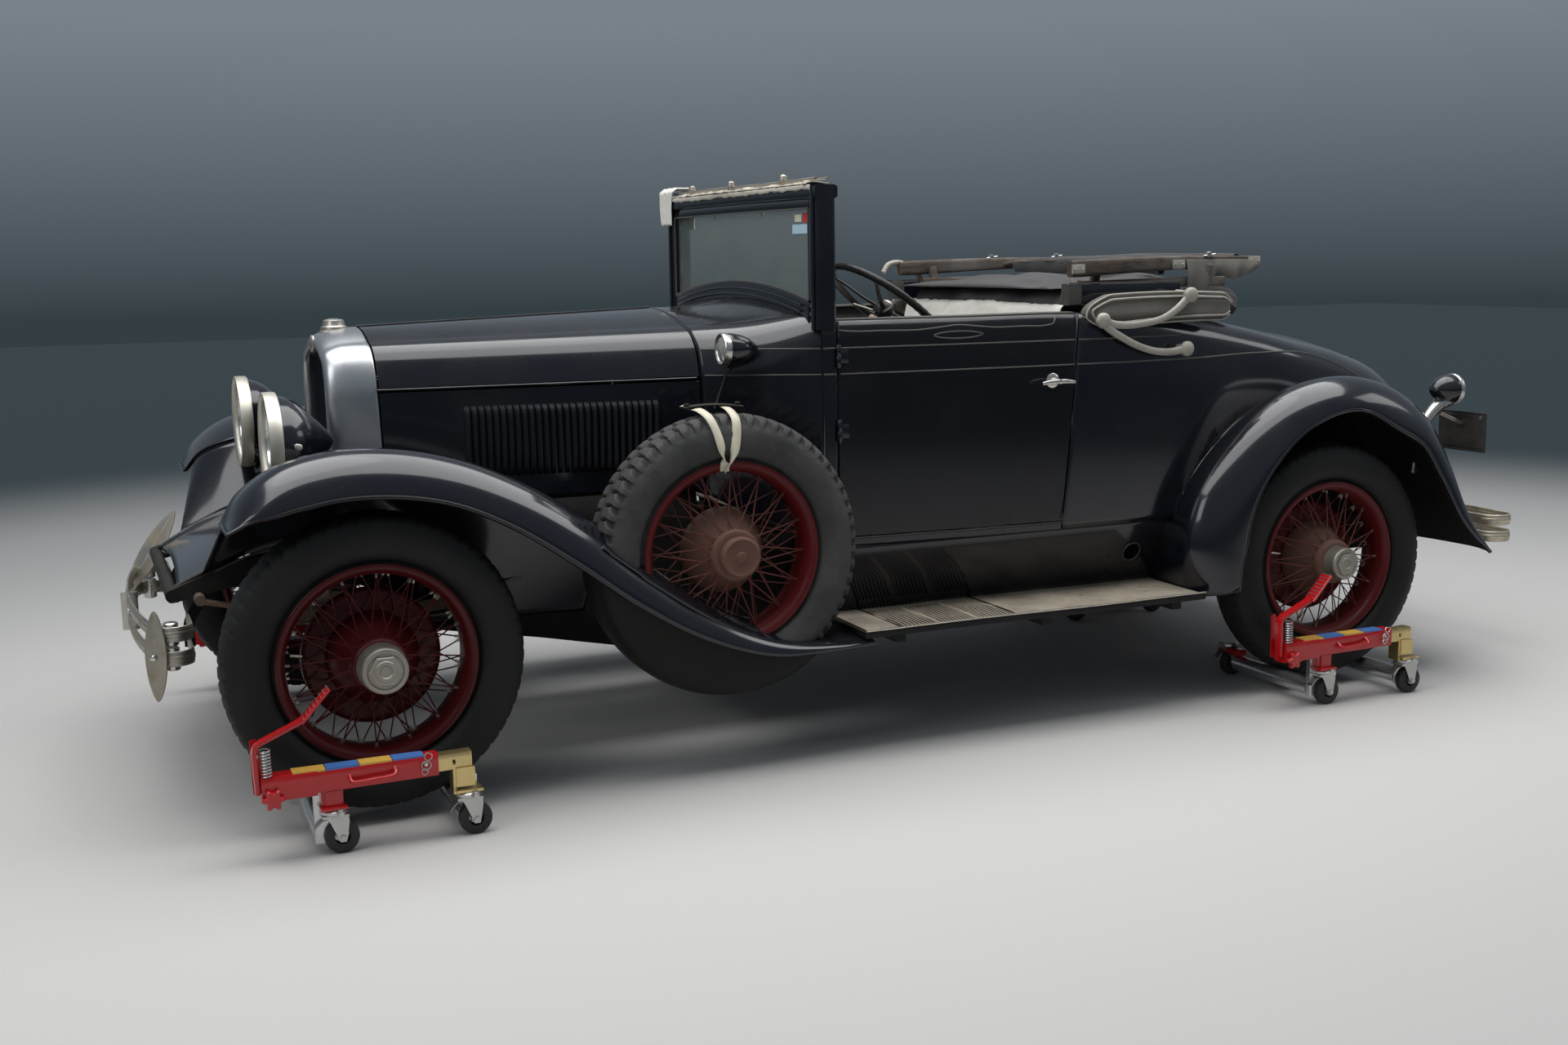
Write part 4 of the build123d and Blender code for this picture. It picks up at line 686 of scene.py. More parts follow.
def makeBonnet():
    louvre = {"count": 28, "firstX": 372, "lastX": 932, "lowZ": 878, "highZ": 1090, "depth": 11, "length": 15}
    for side in ("left", "right"):
        body = "bonnet_" + side
        put = sideMaker(body, side)
        front, rear = squareCut(ridge["x"] + ridge["gap"]), squareCut(1070 - ridge["gap"])
        ridgeSide = lambda x: 3 - 6 / tableAt(bodyTables["bonnet"], x)[..., 7]
        top = panelPatch("bonnet", front, rear, 1.02, ridgeSide, 36, 60)
        panel = panelPatch("bonnet", front, rear, lambda x: tAtHeight("bonnet", x, 813), 0.975, 24, 60)
        put("bonnetTop", top, "body", stands=body, thick=panels["sheet"], bevel=panels["edge"])
        put("bonnetSide", panel, "body", thick=panels["sheet"], bevel=panels["edge"])
        # Each louvre: height over the panel = depth * sin(pi v / 2)^1.2 * sqrt(1 - (2u - 1)^8),
        # u up the slot and v from front to rear
        u = down(0, 1, 17)
        v = over(0, 1, 6)
        x0 = linspace(louvre["firstX"], louvre["lastX"], louvre["count"])
        rise = louvre["depth"] * sin(v * pi / 2) ** 1.2 * sqrt(clip(1 - (2 * u - 1) ** 8, 0, 1))
        z = louvre["lowZ"] + u * (louvre["highZ"] - louvre["lowZ"])
        slots, shades = [], []
        for x in x0:
            place = x - 5 + v * louvre["length"] + 0 * u
            seat = bodyPoint("bonnet", place, tAtHeight("bonnet", place, z + 0 * v))
            grid = seat + spread(0, rise + 0.3, 0)
            slots.append(sheetPatch(grid, flip=True))
            strip = seat[1:-1, [-2, -1]] + (0, 0.5, 0)
            strip[:, 1, 0] += 3
            shades.append(sheetPatch(strip, flip=True))
        put("louvres", slots, "louvrePaint", thick=1.2)
        put("louvreShade", shades, "dark")
        # Hinge rod along the belt, with knuckles
        path = bodyPoint("bonnet", linspace(124, 1062, 40), 1.0) + (0, 1.5, 0)
        knuckles = 1 + 0.12 * (np.arange(40) % 4 == 0)
        put("sideHinge", tubePatch(path, 3.4, 10, scale=knuckles), "body")
        # Catches at the foot of the panel
        catches = []
        for x in (240, 985):
            foot = bodyPoint("bonnet", x, tAtHeight("bonnet", x, 836))
            catches.append(turnedAlong(((0, 0), (0, 13), (5, 12), (9, 6), (10, 0)), foot, (0, 1, 0), 20))
            catches.append(barPatch(foot + array(((0, 8, -12), (0, 10, 4), (0, 9, 34))), (12, 5, 4, 12)))
        put("catches", catches, "louvrePaint", "nickel")
    rod = array([(x, 0, 1324 + (x - 117) * ridge["slope"] + 0.5) for x in linspace(118, 1069, 60)])
    putPiece("ridgeHinge", tubePatch(rod, 4.6, 10, scale=1 + 0.08 * (np.arange(60) % 3 == 0)), "louvrePaint")
    print("bonnet done")


# A half-round bead on the body at the points (x, z): its flat side lies on the skin, its crown outwards
def beadOn(name, x, z, width=5, height=2.4):
    path = onBody(name, x, z)
    turn = linspace(0, pi, 9)
    profile = stack([width / 2 * cos(turn), height * sin(turn)], 1)
    profile = vstack([profile, (-width / 2, -2), (width / 2, -2)])
    along = unit(np.gradient(path, axis=0))
    out = unit(np.cross(along, (0, 0, 1.0)))
    out = out * np.sign((out * (0, 1, 0)).sum(1, keepdims=True) + 1e-9)
    high = unit(np.cross(out, along))
    grid = path[:, None] + high[:, None] * profile[None, :, :1] + out[:, None] * profile[None, :, 1:]
    points, faces = sheetPatch(grid, loopColumns=True)
    # the way round depends on the path's direction; a closed tube is turned out by its volume
    a, b, c = (points[array(faces)[:, k]] for k in range(3))
    inward = np.einsum("ij,ij->i", a - points.mean(0), np.cross(b - a, c - a)).sum() < 0
    faces = faces + endFaces(len(points), len(profile))
    return points, [face[::-1] for face in faces] if inward else faces


# Closes a half section with a level line from the middle of the car to its foot
def closedRing(ring):
    foot = ring[0] * (1, 0, 1) + linspace(0, 1, 12)[:-1, None] * (0, ring[0, 1], 0)
    return vstack([foot, ring])


def makeBody():
    sheet, edge, gap = panels["sheet"], panels["edge"], panels["gap"]
    # Cowl: all round, with a plated band at each end and a vent flap on top
    cowl = panelPatch("cowl", squareCut(1070), 1399, 0, 3, 90, 40)
    putPair("cowlPanel", cowl, "body", stands="cowl", thick=sheet, angle=60)
    band = panelPatch("cowl", squareCut(1069), squareCut(1083), 0.05, 3, 80, 4, offset=2.2)
    putPair("cowlBand", band, "shellPlate", thick=2)
    rearBand = panelPatch("cowl", 1386, 1402, 0.1, 2.0, 70, 4, offset=3.0)
    putPair("cowlRearMoulding", rearBand, "shellPlate", slot="black_paint", thick=3)
    ventSide = lambda x: 3 - 130 / tableAt(bodyTables["cowl"], x)[..., 7]
    vent = panelPatch("cowl", 1150, 1290, ventSide, 3, 12, 20, offset=1.8)
    putPair("cowlVent", vent, "body", thick=2, bevel=0.8)
    # Firewall: the cowl's section drawn towards its middle
    ring = closedRing(bodyPoint("cowl", 1092, linspace(0, 3, 60)) - (0, 3, 3))
    core = array((1092, 0, 900.0))
    putPair("firewall", sheetPatch(core + (ring[None] - core) * linspace(1, 0.02, 6)[:, None, None]), "dark",
            thick=2)
    # Tub: pillar, sill, quarter, deck and tail
    x0, x1 = panels["lid"][:2]
    rear, tail = panels["cockpitRear"], panels["tailX"]
    patches = [
        panelPatch("tub", 1400, 1446, 0, 2, 60, 6),
        panelPatch("tub", 1446, 2232, 0, lambda x: tAtHeight("tub", x, panels["doorFootZ"] - gap), 6, 60),
        panelPatch("tub", doorRearEdge(gap), tail, 0, 2, 60, 126),
        panelPatch("tub", rear, x0 - gap, 2, 3, 24, 40),
        panelPatch("tub", x0 - gap, x1 + gap, 2, lidEdge(gap), 8, 60),
        panelPatch("tub", x1 + gap, tail, 2, 3, 24, 16),
    ]
    # Tail: each ring is the end section drawn towards its middle while x goes back in a quarter circle
    turns = np.r_[linspace(0, 1, 20), linspace(1, 2, 16)[1:], linspace(2, 3, 16)[1:]]
    ring = closedRing(bodyPoint("tub", tail, turns))
    middle = array((tail, 0, 830.0))
    w = linspace(0, 1, 10)[:, None, None]
    bowl = middle + (ring[None] - middle) * (1 - w ** 1.5) + array((1.0, 0, 0)) * (26 * sin(w * pi / 2))
    patches.append(sheetPatch(bowl, flip=True))
    putPair("tubPanels", patches, "body", stands="body_tub", thick=sheet, angle=60)
    # Inner skins of the cockpit: trim cloth on the side walls, and the floor
    wall = 38
    t = down(0, 1, 12)
    s = over(0, 1, 40)
    for name, low, high in (("pillar", 1405, 1446), ("quarter", 2292, 2712)):
        x = low + s * (high - low) + 0 * t
        grid = spread(x, bodyPoint("tub", x, 0.5)[..., 1] - wall, 646 + t * 672)
        putPair("trim_" + name, sheetPatch(grid), "blackTrim", slot="black_paint", thick=2)
    x = 1402 + s * (2716 - 1402) + 0 * t
    y = (t * 2 - 1) * (bodyPoint("tub", x, 0.5)[..., 1] - wall)
    floor = spread(x, y, 646 + ripples(spread(x, y, 0 * x), 400, 3) * 0.8)
    putPiece("floorMat", sheetPatch(floor), "mat", thick=4)
    print("tub done")
    # Doors
    for side in ("left", "right"):
        body = "door_" + side
        put = sideMaker(body, side)
        foot = lambda x: tAtHeight("tub", x, panels["doorFootZ"])
        skin = panelPatch("tub", panels["doorFront"], doorRearEdge(), foot, 2, 70, 70)
        put("doorSkin", skin, "door", stands=body, thick=sheet, bevel=edge, angle=60)
        limit = doorRearEdge()(660 + t * 655 + 0 * s) - 4
        x = panels["doorFront"] + 3 + s * (limit - panels["doorFront"] - 3)
        inner = spread(x, bodyPoint("tub", x, 0.5)[..., 1] - wall, 660 + t * 660)
        front = spread(x[:, 0], bodyPoint("tub", x[:, 0], 0.5)[..., 1] - 4, inner[:, 0, 2])
        rear = spread(x[:, -1], bodyPoint("tub", x[:, -1], 0.5)[..., 1] - 4, inner[:, -1, 2])
        closed = np.concatenate([front[:, None], inner, rear[:, None]], 1)
        put("doorTrim", sheetPatch(closed), "blackTrim", "black_paint", thick=2)
        cap = bodyPoint("tub", linspace(1456, 2278, 50), 2.0) - (0, 8, 2)
        put("doorCap", barPatch(cap, (44, 10, 3, 20)), "trimLine")
        # Beads along the belt, and the raised panel's outline on the door
        beads = []
        for z in (1160, 1239):
            beads.append(beadOn("tub", linspace(1456, doorRearEdge()(z) - 3, 50), z))
        # Groove line under the door's top edge: it lifts over a lens-shaped dish and curls up at the rear
        groove = curveThrough(((1456, 1293), (1480, 1290), (1600, 1288), (1735, 1288), (1790, 1293),
                (1852, 1298), (1915, 1293), (1970, 1288), (2080, 1288), (2168, 1289), (2190, 1294),
                (2200, 1312)), 120)
        beads.append(beadOn("tub", groove[:, 0], groove[:, 1]))
        a = linspace(0, 2 * pi, 73)
        dish = 1268 + 11 * np.sign(sin(a)) * np.abs(sin(a)) ** 1.3
        beads.append(beadOn("tub", 1852 + 84 * cos(a), dish))
        put("doorBeads", beads, "trimLine")
        # Hinges: three barrels with finials; the T handle turns on a round boss
        parts = []
        for z in (735, 985, 1215):
            y = bodyPoint("tub", 1449.0, tAtHeight("tub", 1449.0, z))[1] + 8
            parts.append(turnedPatch(((-37, 0), (-36, 5), (-30, 7.6), (-3, 8.2), (0, 7), (3, 8.2), (30, 7.6),
                    (36, 5), (37, 0)), (1449, y, z), "z", 20))
            parts.append(barPatch(((1449, y - 6, z), (1482, y - 4, z)), (9, 44, 5, 16), (0, 0, 1)))
        put("hinges", parts, "body")
        y = bodyPoint("tub", 2184.0, tAtHeight("tub", 2184.0, 1112))[1]
        boss = turnedAlong(((-4, 0), (-4, 24), (2, 24), (5, 20), (6, 11), (30, 8), (44, 9), (50, 8), (52, 0)),
                (2184, y, 1112), (0, 1, 0), 28)
        k = linspace(-60, 60, 25)
        grip = spread(2184 + k, y + 46 - 0.0022 * k * k, 1112 - 0.0015 * k * k)
        width = 1 - 0.35 * np.abs(linspace(-1, 1, 25)) ** 3
        put("doorHandle", [boss, barPatch(grip, (11, 15, 2.6, 16), scale=width)], "brightNickel")
    # Rumble lid
    lid = panelPatch("tub", x0, x1, lidEdge(), 3, 24, 70)
    putPair("lidPanel", lid, "body", "rumble_lid", stands="rumble_lid", thick=sheet, bevel=edge, angle=60)
    crown = tableAt(bodyTables["tub"], 3903.0)[9]
    parts = []
    for sign in (-1, 1):
        parts.append(turnedPatch(((0, 0), (0, 7), (80, 7), (80, 0)), (3903, sign * 100 - 40, crown + 1), "y",
                20))
        parts.append(barPatch(((3903, sign * 80, crown - 3), (3872, sign * 80, crown + 7)), (38, 7, 5, 16)))
    putPiece("lidHinges", parts, "body", "rumble_lid")
    pull = turnedAlong(((0, 0), (0, 20), (4, 19), (8, 10), (26, 9), (30, 13), (34, 0)),
            bodyPoint("tub", 3240.0, 3.0), (0, 0, 1), 24)
    putPiece("lidPull", pull, "brightNickel", "rumble_lid")
    # Beads that run on over cowl and quarter, and the one that drops along the tail
    beads = []
    for z, endX in ((1160, 2803), (1239, 2700)):
        beads.append(beadOn("cowl", linspace(1086, 1396, 24), z, 5, 2.2))
        beads.append(beadOn("tub", linspace(1403, 1443, 6), z, 6))
        beads.append(beadOn("tub", linspace(doorRearEdge(8)(z), endX, 30), z))
    fall = curveThrough(((2803, 1160), (3060, 1163), (3334, 1149), (3500, 1108), (3652, 1051), (3880, 940),
            (4050, 850)), 60)
    beads.append(beadOn("tub", fall[:, 0], fall[:, 1], 7, 3))
    putPair("bodyBeads", beads, "trimLine")
    print("body done")


# x, crown z, inner y, drop at the inner edge, outer y, drop at the lip
fenderTables = {
    "front": (
        (-372, 840, 640, 3, 842, 3), (-325, 923, 575, 20, 858, 71), (-229, 990, 535, 48, 862, 105),
        (-103, 1021, 515, 62, 862, 112), (46, 1022, 510, 66, 862, 112), (241, 984, 512, 66, 862, 110),
        (419, 908, 515, 64, 862, 115), (603, 792, 518, 60, 862, 120), (792, 640, 522, 54, 862, 112),
        (965, 515, 526, 44, 862, 92), (1145, 423, 530, 28, 862, 61), (1333, 382, 532, 12, 862, 25),
        (1465, 372, 534, 5, 862, 10)),
    "rear": (
        (2690, 372, 545, 6, 862, 129), (2668, 520, 552, 12, 862, 168), (2705, 690, 580, 30, 862, 165),
        (2850, 880, 600, 60, 862, 129), (3069, 1030, 585, 80, 862, 106), (3300, 1078, 545, 86, 862, 103),
        (3530, 1030, 490, 90, 862, 140), (3680, 925, 450, 84, 862, 125), (3778, 775, 420, 70, 862, 112),
        (3858, 600, 440, 40, 862, 80), (3954, 440, 480, 6, 852, 20)),
}


# A fender: the crown line carries a section whose inner part falls as a square and whose outer part turns a
# quarter: y = crownY + w sin(b), drop = lip * (1 - cos(b)) ** 0.85
def fenderGrid(name, count=110, across=44, depth=0.0):
    line = curveThrough(fenderTables[name], count)
    along = np.gradient(line[:, :2], axis=0)
    along = along / np.linalg.norm(along, axis=1, keepdims=True)
    normal = stack([-along[:, 1], along[:, 0]], 1)
    innerY, innerDrop, outerY, lipDrop = (line[:, k, None] for k in range(2, 6))
    crownY = outerY - 112
    a = over(0, 1, across // 2)
    b = linspace(0, pi / 2, across - across // 2)[None, 1:]
    y = np.concatenate([innerY + a * (crownY - innerY), crownY + (outerY - crownY) * sin(b)], 1)
    drop = np.concatenate([innerDrop * (1 - a) ** 2, lipDrop * (1 - cos(b)) ** 0.85], 1) + depth
    x = line[:, :1] - normal[:, :1] * drop
    z = line[:, 1:2] - normal[:, 1:] * drop
    return spread(x, y, z)


def makeFenders():
    sheet, wire = 3.5, 6
    front, rear = fenderGrid("front"), fenderGrid("rear")
    for name, grid in (("front", front), ("rear", rear)):
        putPair(name + "FenderSkin", sheetPatch(grid, flip=True), "fender", stands=name + "_fenders",
                thick=sheet, angle=70)
        rim = grid[:, -1]
        nose = grid[0] if name == "front" else grid[-1]
        wires = [tubePatch(rim + (0, -1.5, 0), wire, 10, (0, 1, 0.01)),
                 tubePatch(nose, wire * 0.8, 8, (1, 0, 0.01))]
        putPair(name + "FenderEdge", wires, "fender")
    # Apron from the inner edge to the frame rail, with a soft bulge
    keep = (front[:, 0, 0] > -345) & (front[:, 0, 0] < 700)
    top = front[keep, 0] - (0, 0, 2)
    u = linspace(0, 1, 12)[None, :, None]
    foot = top * (1, 0, 0) + (0, 402, 0) - clip((-100 - top[:, :1]) / 245, 0, 1) * (75, 0, 0)
    cover = interp(foot[:, 0], (-420, -340, -275, -150, -30), (659, 692, 722, 751, 766))
    foot[:, 2] = interp(foot[:, 0], (-30, 60), (1, 0)) * cover + interp(foot[:, 0], (-30, 60, 180),
            (0, 640, 450))
    foot[:, 2] = np.minimum(foot[:, 2], top[:, 2] - 30)
    apron = top[:, None] * (1 - u) + foot[:, None] * u + sin(u * pi) * array((0, 5, 0))
    putPair("frontAprons", sheetPatch(apron, flip=True), "fender", thick=3)
    x = down(132, 1420, 70)
    u = over(0, 1, 6)
    low = interp(x, (132, 180, 549, 800, 1420), (640, 450, 384, 331, 331))
    high = interp(x, (1066, 1086), (806, 640))
    pan = spread(x, 404 + 4 * sin(u * pi), high + (low - high) * u)
    putPair("enginePans", sheetPatch(pan, flip=True), "dark", slot="frame_black", thick=2)
    # Welt between rear fender and body: the line where the two surfaces meet
    welt = []
    for row in rear:
        reach = onBody("tub", row[:24, 0].clip(1500, 4050), row[:24, 2])[:, 1]
        k = int(np.argmax(row[:24, 1] > reach))
        welt.append(row[max(k, 0)] + (0, 0, 2))
    welt = array(welt)[18:100]
    putPair("fenderWelt", tubePatch(curveThrough(welt[::6], 90), 5, 8), "fender")
    # Well for the spare: a bowl turned about the spare's centre, held under the fender's skin
    sx, _, sz = car["spare"]
    a = np.radians(linspace(160, 322, 90))[:, None]
    section = curveThrough(((650, 392), (659, 412), (690, 421), (750, 424), (800, 421), (832, 411),
            (848, 392), (855, 350), (856, 290), (856, 230)), 40)
    cup = spread(sx + section[:, 1] * cos(a), section[:, 0], sz + section[:, 1] * sin(a))
    line = curveThrough(fenderTables["front"], 300)
    at = [interp(cup[..., 0], line[:, 0], line[:, k]) for k in (1, 4, 5)]
    bend = clip((cup[..., 1] - at[1] + 112) / 112, 0, 1)
    cup[..., 2] = np.minimum(cup[..., 2], at[0] - at[2] * (1 - sqrt(1 - bend ** 2)) ** 0.85 * 1.1 - 9)
    putPair("spareWells", sheetPatch(cup, flip=True), "wellPaint", thick=3, angle=60)
    # Dark linings under the fender skins, and the inner wall behind each rear wheel
    for name in ("front", "rear"):
        lining = fenderGrid(name, 80, 30, depth=9)
        lining[..., 1] = np.minimum(lining[..., 1], 855)
        putPair(name + "FenderLining", sheetPatch(lining), "dark")
    inside = rear[6:100, 0] + (0, 2, -6)
    u = linspace(0, 1, 8)[None, :, None]
    floor = inside * (1, 0, 0) + (0, 560, 430)
    floor[:, 2] = np.minimum(floor[:, 2], inside[:, 2] - 5)
    wall = inside[:, None] * (1 - u) + floor[:, None] * u
    putPair("rearWheelWalls", sheetPatch(wall, flip=True), "dark", thick=2)
    rim = []
    line = curveThrough(fenderTables["front"], 300)
    for x in linspace(628, 1322, 60):
        k = np.argmin(np.abs(line[:, 0] - x))
        rim.append((x, 0, line[k, 1] + 1))
    rim = array(rim)
    wells = []
    for y in (655, 838):
        lift = rim + (0, y, 0)
        if y > 750:
            turn = math.asin((838 - 750) / 112)
            drop = interp(rim[:, 0], line[:, 0], line[:, 5]) * (1 - math.cos(turn)) ** 0.85
            lift[:, 2] -= drop
        wells.append(tubePatch(lift, 6, 8))
    putPair("wellRims", wells, "fender")
    print("fenders done")


# Mat finish with painted shade in the grooves between the ribs: the same wandering wave as the ribs, in
# metres
def ribbedMatWithGrooveShade(pitch):
    place, surface = newFinish("ribbedBoardMatGrooveShade")
    x, y = place.part("X") * 1000 - car["axleX"], place.part("Y").maths("ABSOLUTE") * 1000
    wander = (y * (1 / 41)).maths("SINE") * 3.4 + (y * (1 / 17) + 2).maths("SINE") * 1.3
    wave = ((x + wander) * (2 * math.pi / pitch)).maths("COSINE")
    group = ((x - 1560) * (1 / 136)).maths("FRACT")
    ends = ((x - 1764).maths("ABSOLUTE") - 204).maths("ABSOLUTE").between(5, 3)
    inside = x.between(1560, 1562) * x.between(1968, 1966) * y.between(580, 584)
    inside = inside * group.between(0.03, 0.09) * group.between(0.97, 0.91)
    # painted shade: near black in the hollows between the ribs, and dark lines at both ends of the ribbed
    # part
    groove = (wave.between(0.45, 0.0) * inside).maths("MAXIMUM", ends)
    cloud = place.noise(7.0, 6, 0.6)
    fine = place.noise(160.0, 4, 0.6)
    dusty = ((cloud - 0.30) * 2.2 + (fine - 0.5) * 0.8).clipped()
    scuffs = ((place.noise(34.0, 4, 0.6) - 0.62) * 12).clipped() * 0.6
    base = groove.tint(scuffs.tint(dusty.tint((0.21, 0.18, 0.14), (0.43, 0.375, 0.295)), (0.07, 0.06, 0.05)),
            (0.012, 0.01, 0.008))
    return surface(bump=fine, bumpSize=0.0004, Base_Color=base, Roughness=0.85, Specular_IOR_Level=0.2)


def makeBoards():
    board = {"frontX": 1432, "rearX": 2682, "inY": 545, "outY": 860, "topZ": 402, "foot": 376, "pitch": 13.5}
    x = down(board["frontX"] + 14, board["rearX"] - 6, 600)
    y = over(board["inY"] + 4, board["outY"] - 16, 64)
    # Rubber mat: ribs across the board that wander, height = 3.2 * cos(2 pi (x + wander) / pitch),
    # cut off above and below
    wander = 3.4 * sin(y / 41) + 1.3 * sin(y / 17 + 2)
    rib = 2.0 * clip(cos(2 * pi * (x + wander) / board["pitch"]) * 1.6, -0.6, 1)
    crumple = 2.2 * ripples(spread(x, y, 0 * x), 420, 5)
    joint = -3.0 * exp(-((x - 1960) / 5) ** 2)
    bare = 1 / (1 + exp(-(x - 1968) / 6)) + 1 / (1 + exp((x - 1560) / 6))
    rib = rib * (1 - clip(bare, 0, 1))
    mat = spread(x, y, board["topZ"] - 3.5 + rib + crumple * 0.5 + joint)
    looks["boardMat"] = ribbedMatWithGrooveShade(board["pitch"])
    putPair("boardMats", sheetPatch(mat), "boardMat", stands="running_boards", angle=80)
    slab = boxPatch((board["frontX"] + 1, board["inY"], board["foot"] + 1),
            (board["rearX"], board["outY"] - 8, board["topZ"] - 6))
    putPair("boardSlabs", slab, "frame", slot="black_paint", bevel=2)
    path = array([(x, board["outY"] - 5, board["topZ"] - 12 + 1.2 * math.sin(x / 130))
            for x in linspace(board["frontX"] + 2, board["rearX"], 70)])
    putPair("boardEdges", barPatch(path, (9, 24, 4, 16)), "frame", slot="black_paint")
    putPair("boardTrims", barPatch(path + (0, 0, 10.5), (13, 4, 4, 12)), "bumperPlate")
    # Apron: curved sheet from the board up to the sill, with a round hole drawn as a dark rimmed disc of
    # painted shade
    x = down(1466, 2706, 80)
    u = over(0, 1, 14)
    y = 547 + 95 * u ** 0.9 + 9 * sin(pi * u)
    sheet = spread(x, y, 395 + 229 * u)
    putPair("boardApronSkin", sheetPatch(sheet, flip=True), "body", stands="running_board_aprons", thick=3)
    # the disc is painted shade: near black where the hole is
    holeShade = turnedAlong(((1.5, 0), (1.5, 30), (3, 32)), (2560, 607, 511), (0, 0.92, -0.39), 32)
    ring = turnedAlong(((3, 31), (5, 33), (3, 37), (-3, 37)), (2560, 607, 511), (0, 0.92, -0.39), 32)
    putPair("apronHoleShades", holeShade, "deepHole")
    putPair("apronRings", ring, "trimLine")
    print("boards done")


def tyrePatch(depth, taper, steps):
    # Section (along the axle, radius): a superellipse-like carcass. Tread lugs stand up by 'depth'; each is a
    # triangle wave round the tyre, cut at a level that rises by 'taper' towards the side, so that lugs end
    # in a point
    a = np.radians(linspace(-62, 242, 46))
    half, flange, outer = 83.0, 274, 400.0
    mid = (outer + flange) / 2
    along = half * np.sign(cos(a)) * np.abs(cos(a)) ** 0.72
    radius = mid + (outer - mid) * np.sign(sin(a)) * np.abs(sin(a)) ** 0.8
    along, radius = np.r_[56, along, -56], np.r_[flange - 8, radius, flange - 8]
    turn = ringTurns(steps)[:, None]
    blocks = 60
    sector = (turn * blocks / (2 * pi)) % 1.0
    shift = np.where(along > 0, 0.5, 0.0)
    wave = np.abs(((sector + shift + 0.12 * sin(along / 9)) % 1.0) - 0.5) * 2
    across = np.abs(along)
    onTread = clip((radius - 372) / 12, 0, 1)
    cross = 1 / (1 + exp(-(wave - 0.2 - taper * clip((across - 44) / 34, 0, 1)) * 60))
    ribs = 1 - 0.9 * exp(-((across - 13) / 3.2) ** 4) - 0.9 * exp(-((across - 40) / 3.4) ** 4)
    block = np.where(across < 14, 1.0, cross) * clip(ribs, 0, 1)
    reach = radius + onTread * (block * depth + 9.5 - depth)
    reach = reach + 1.6 * exp(-((radius - 352) / 3) ** 2) + 1.4 * exp(-((radius - 300) / 2.5) ** 2)
    return spread(reach * cos(turn), along, reach * sin(turn))


# rows of spokes: radius and y at the hub, y at the rim, count, lean in degrees
spokes = {
    "rows": (
        (124, -34, -24, 20, 24), (124, -34, -24, 20, -24), (72, 74, 20, 16, 20), (72, 74, 20, 16, -20)),
    "radius": 2.1,
}


# Spare tyre rubber: painted shade in the gaps between the lugs, found by the same triangle wave as the lugs
# of tyrePatch
def treadShade():
    place, surface = newFinish("spareTyreRubberPaintedShade")
    x, z = place.part("X") - (car["spare"][0] + car["axleX"]) / 1000, place.part("Z") - car["spare"][2] / 1000
    reach = (x * x + z * z).maths("SQRT")
    side = place.part("Y").maths("SIGN")
    local = place.part("Y").maths("ABSOLUTE") * 1000 - car["spare"][1]
    across = local.maths("ABSOLUTE")
    sector = z.maths("ARCTAN2", x * side) * (60 / (2 * math.pi)) + 60
    sector = sector + local.maths("GREATER_THAN", 0) * 0.5 + (local * (1 / 9)).maths("SINE") * 0.12
    wave = (sector.maths("FRACT") - 0.5).maths("ABSOLUTE") * 2 - across.between(44, 78) * 0.5
    # painted shade: near black in the hollows between the lugs and below the lug tops in the middle of the
    # tread
    gap = reach.between(0.374, 0.382) * (wave.between(0.26, 0.16) * across.between(13, 15)).maths("MAXIMUM",
            reach.between(0.4045, 0.4005) * across.between(40, 36))
    cloud = place.noise(7.0, 6, 0.6)
    fine = place.noise(160.0, 4, 0.6)
    dusty = ((cloud - 0.38) * 2.4 + (fine - 0.5) * 0.8).clipped() * 0.5
    base = (gap * 0.85).tint(dusty.tint((0.034, 0.034, 0.034), (0.12, 0.115, 0.105)), (0.008, 0.008, 0.008))
    return surface(bump=fine, bumpSize=0.0004, Base_Color=base, Roughness=(0.62 + dusty * 0.25).clipped(),
            Specular_IOR_Level=0.25)


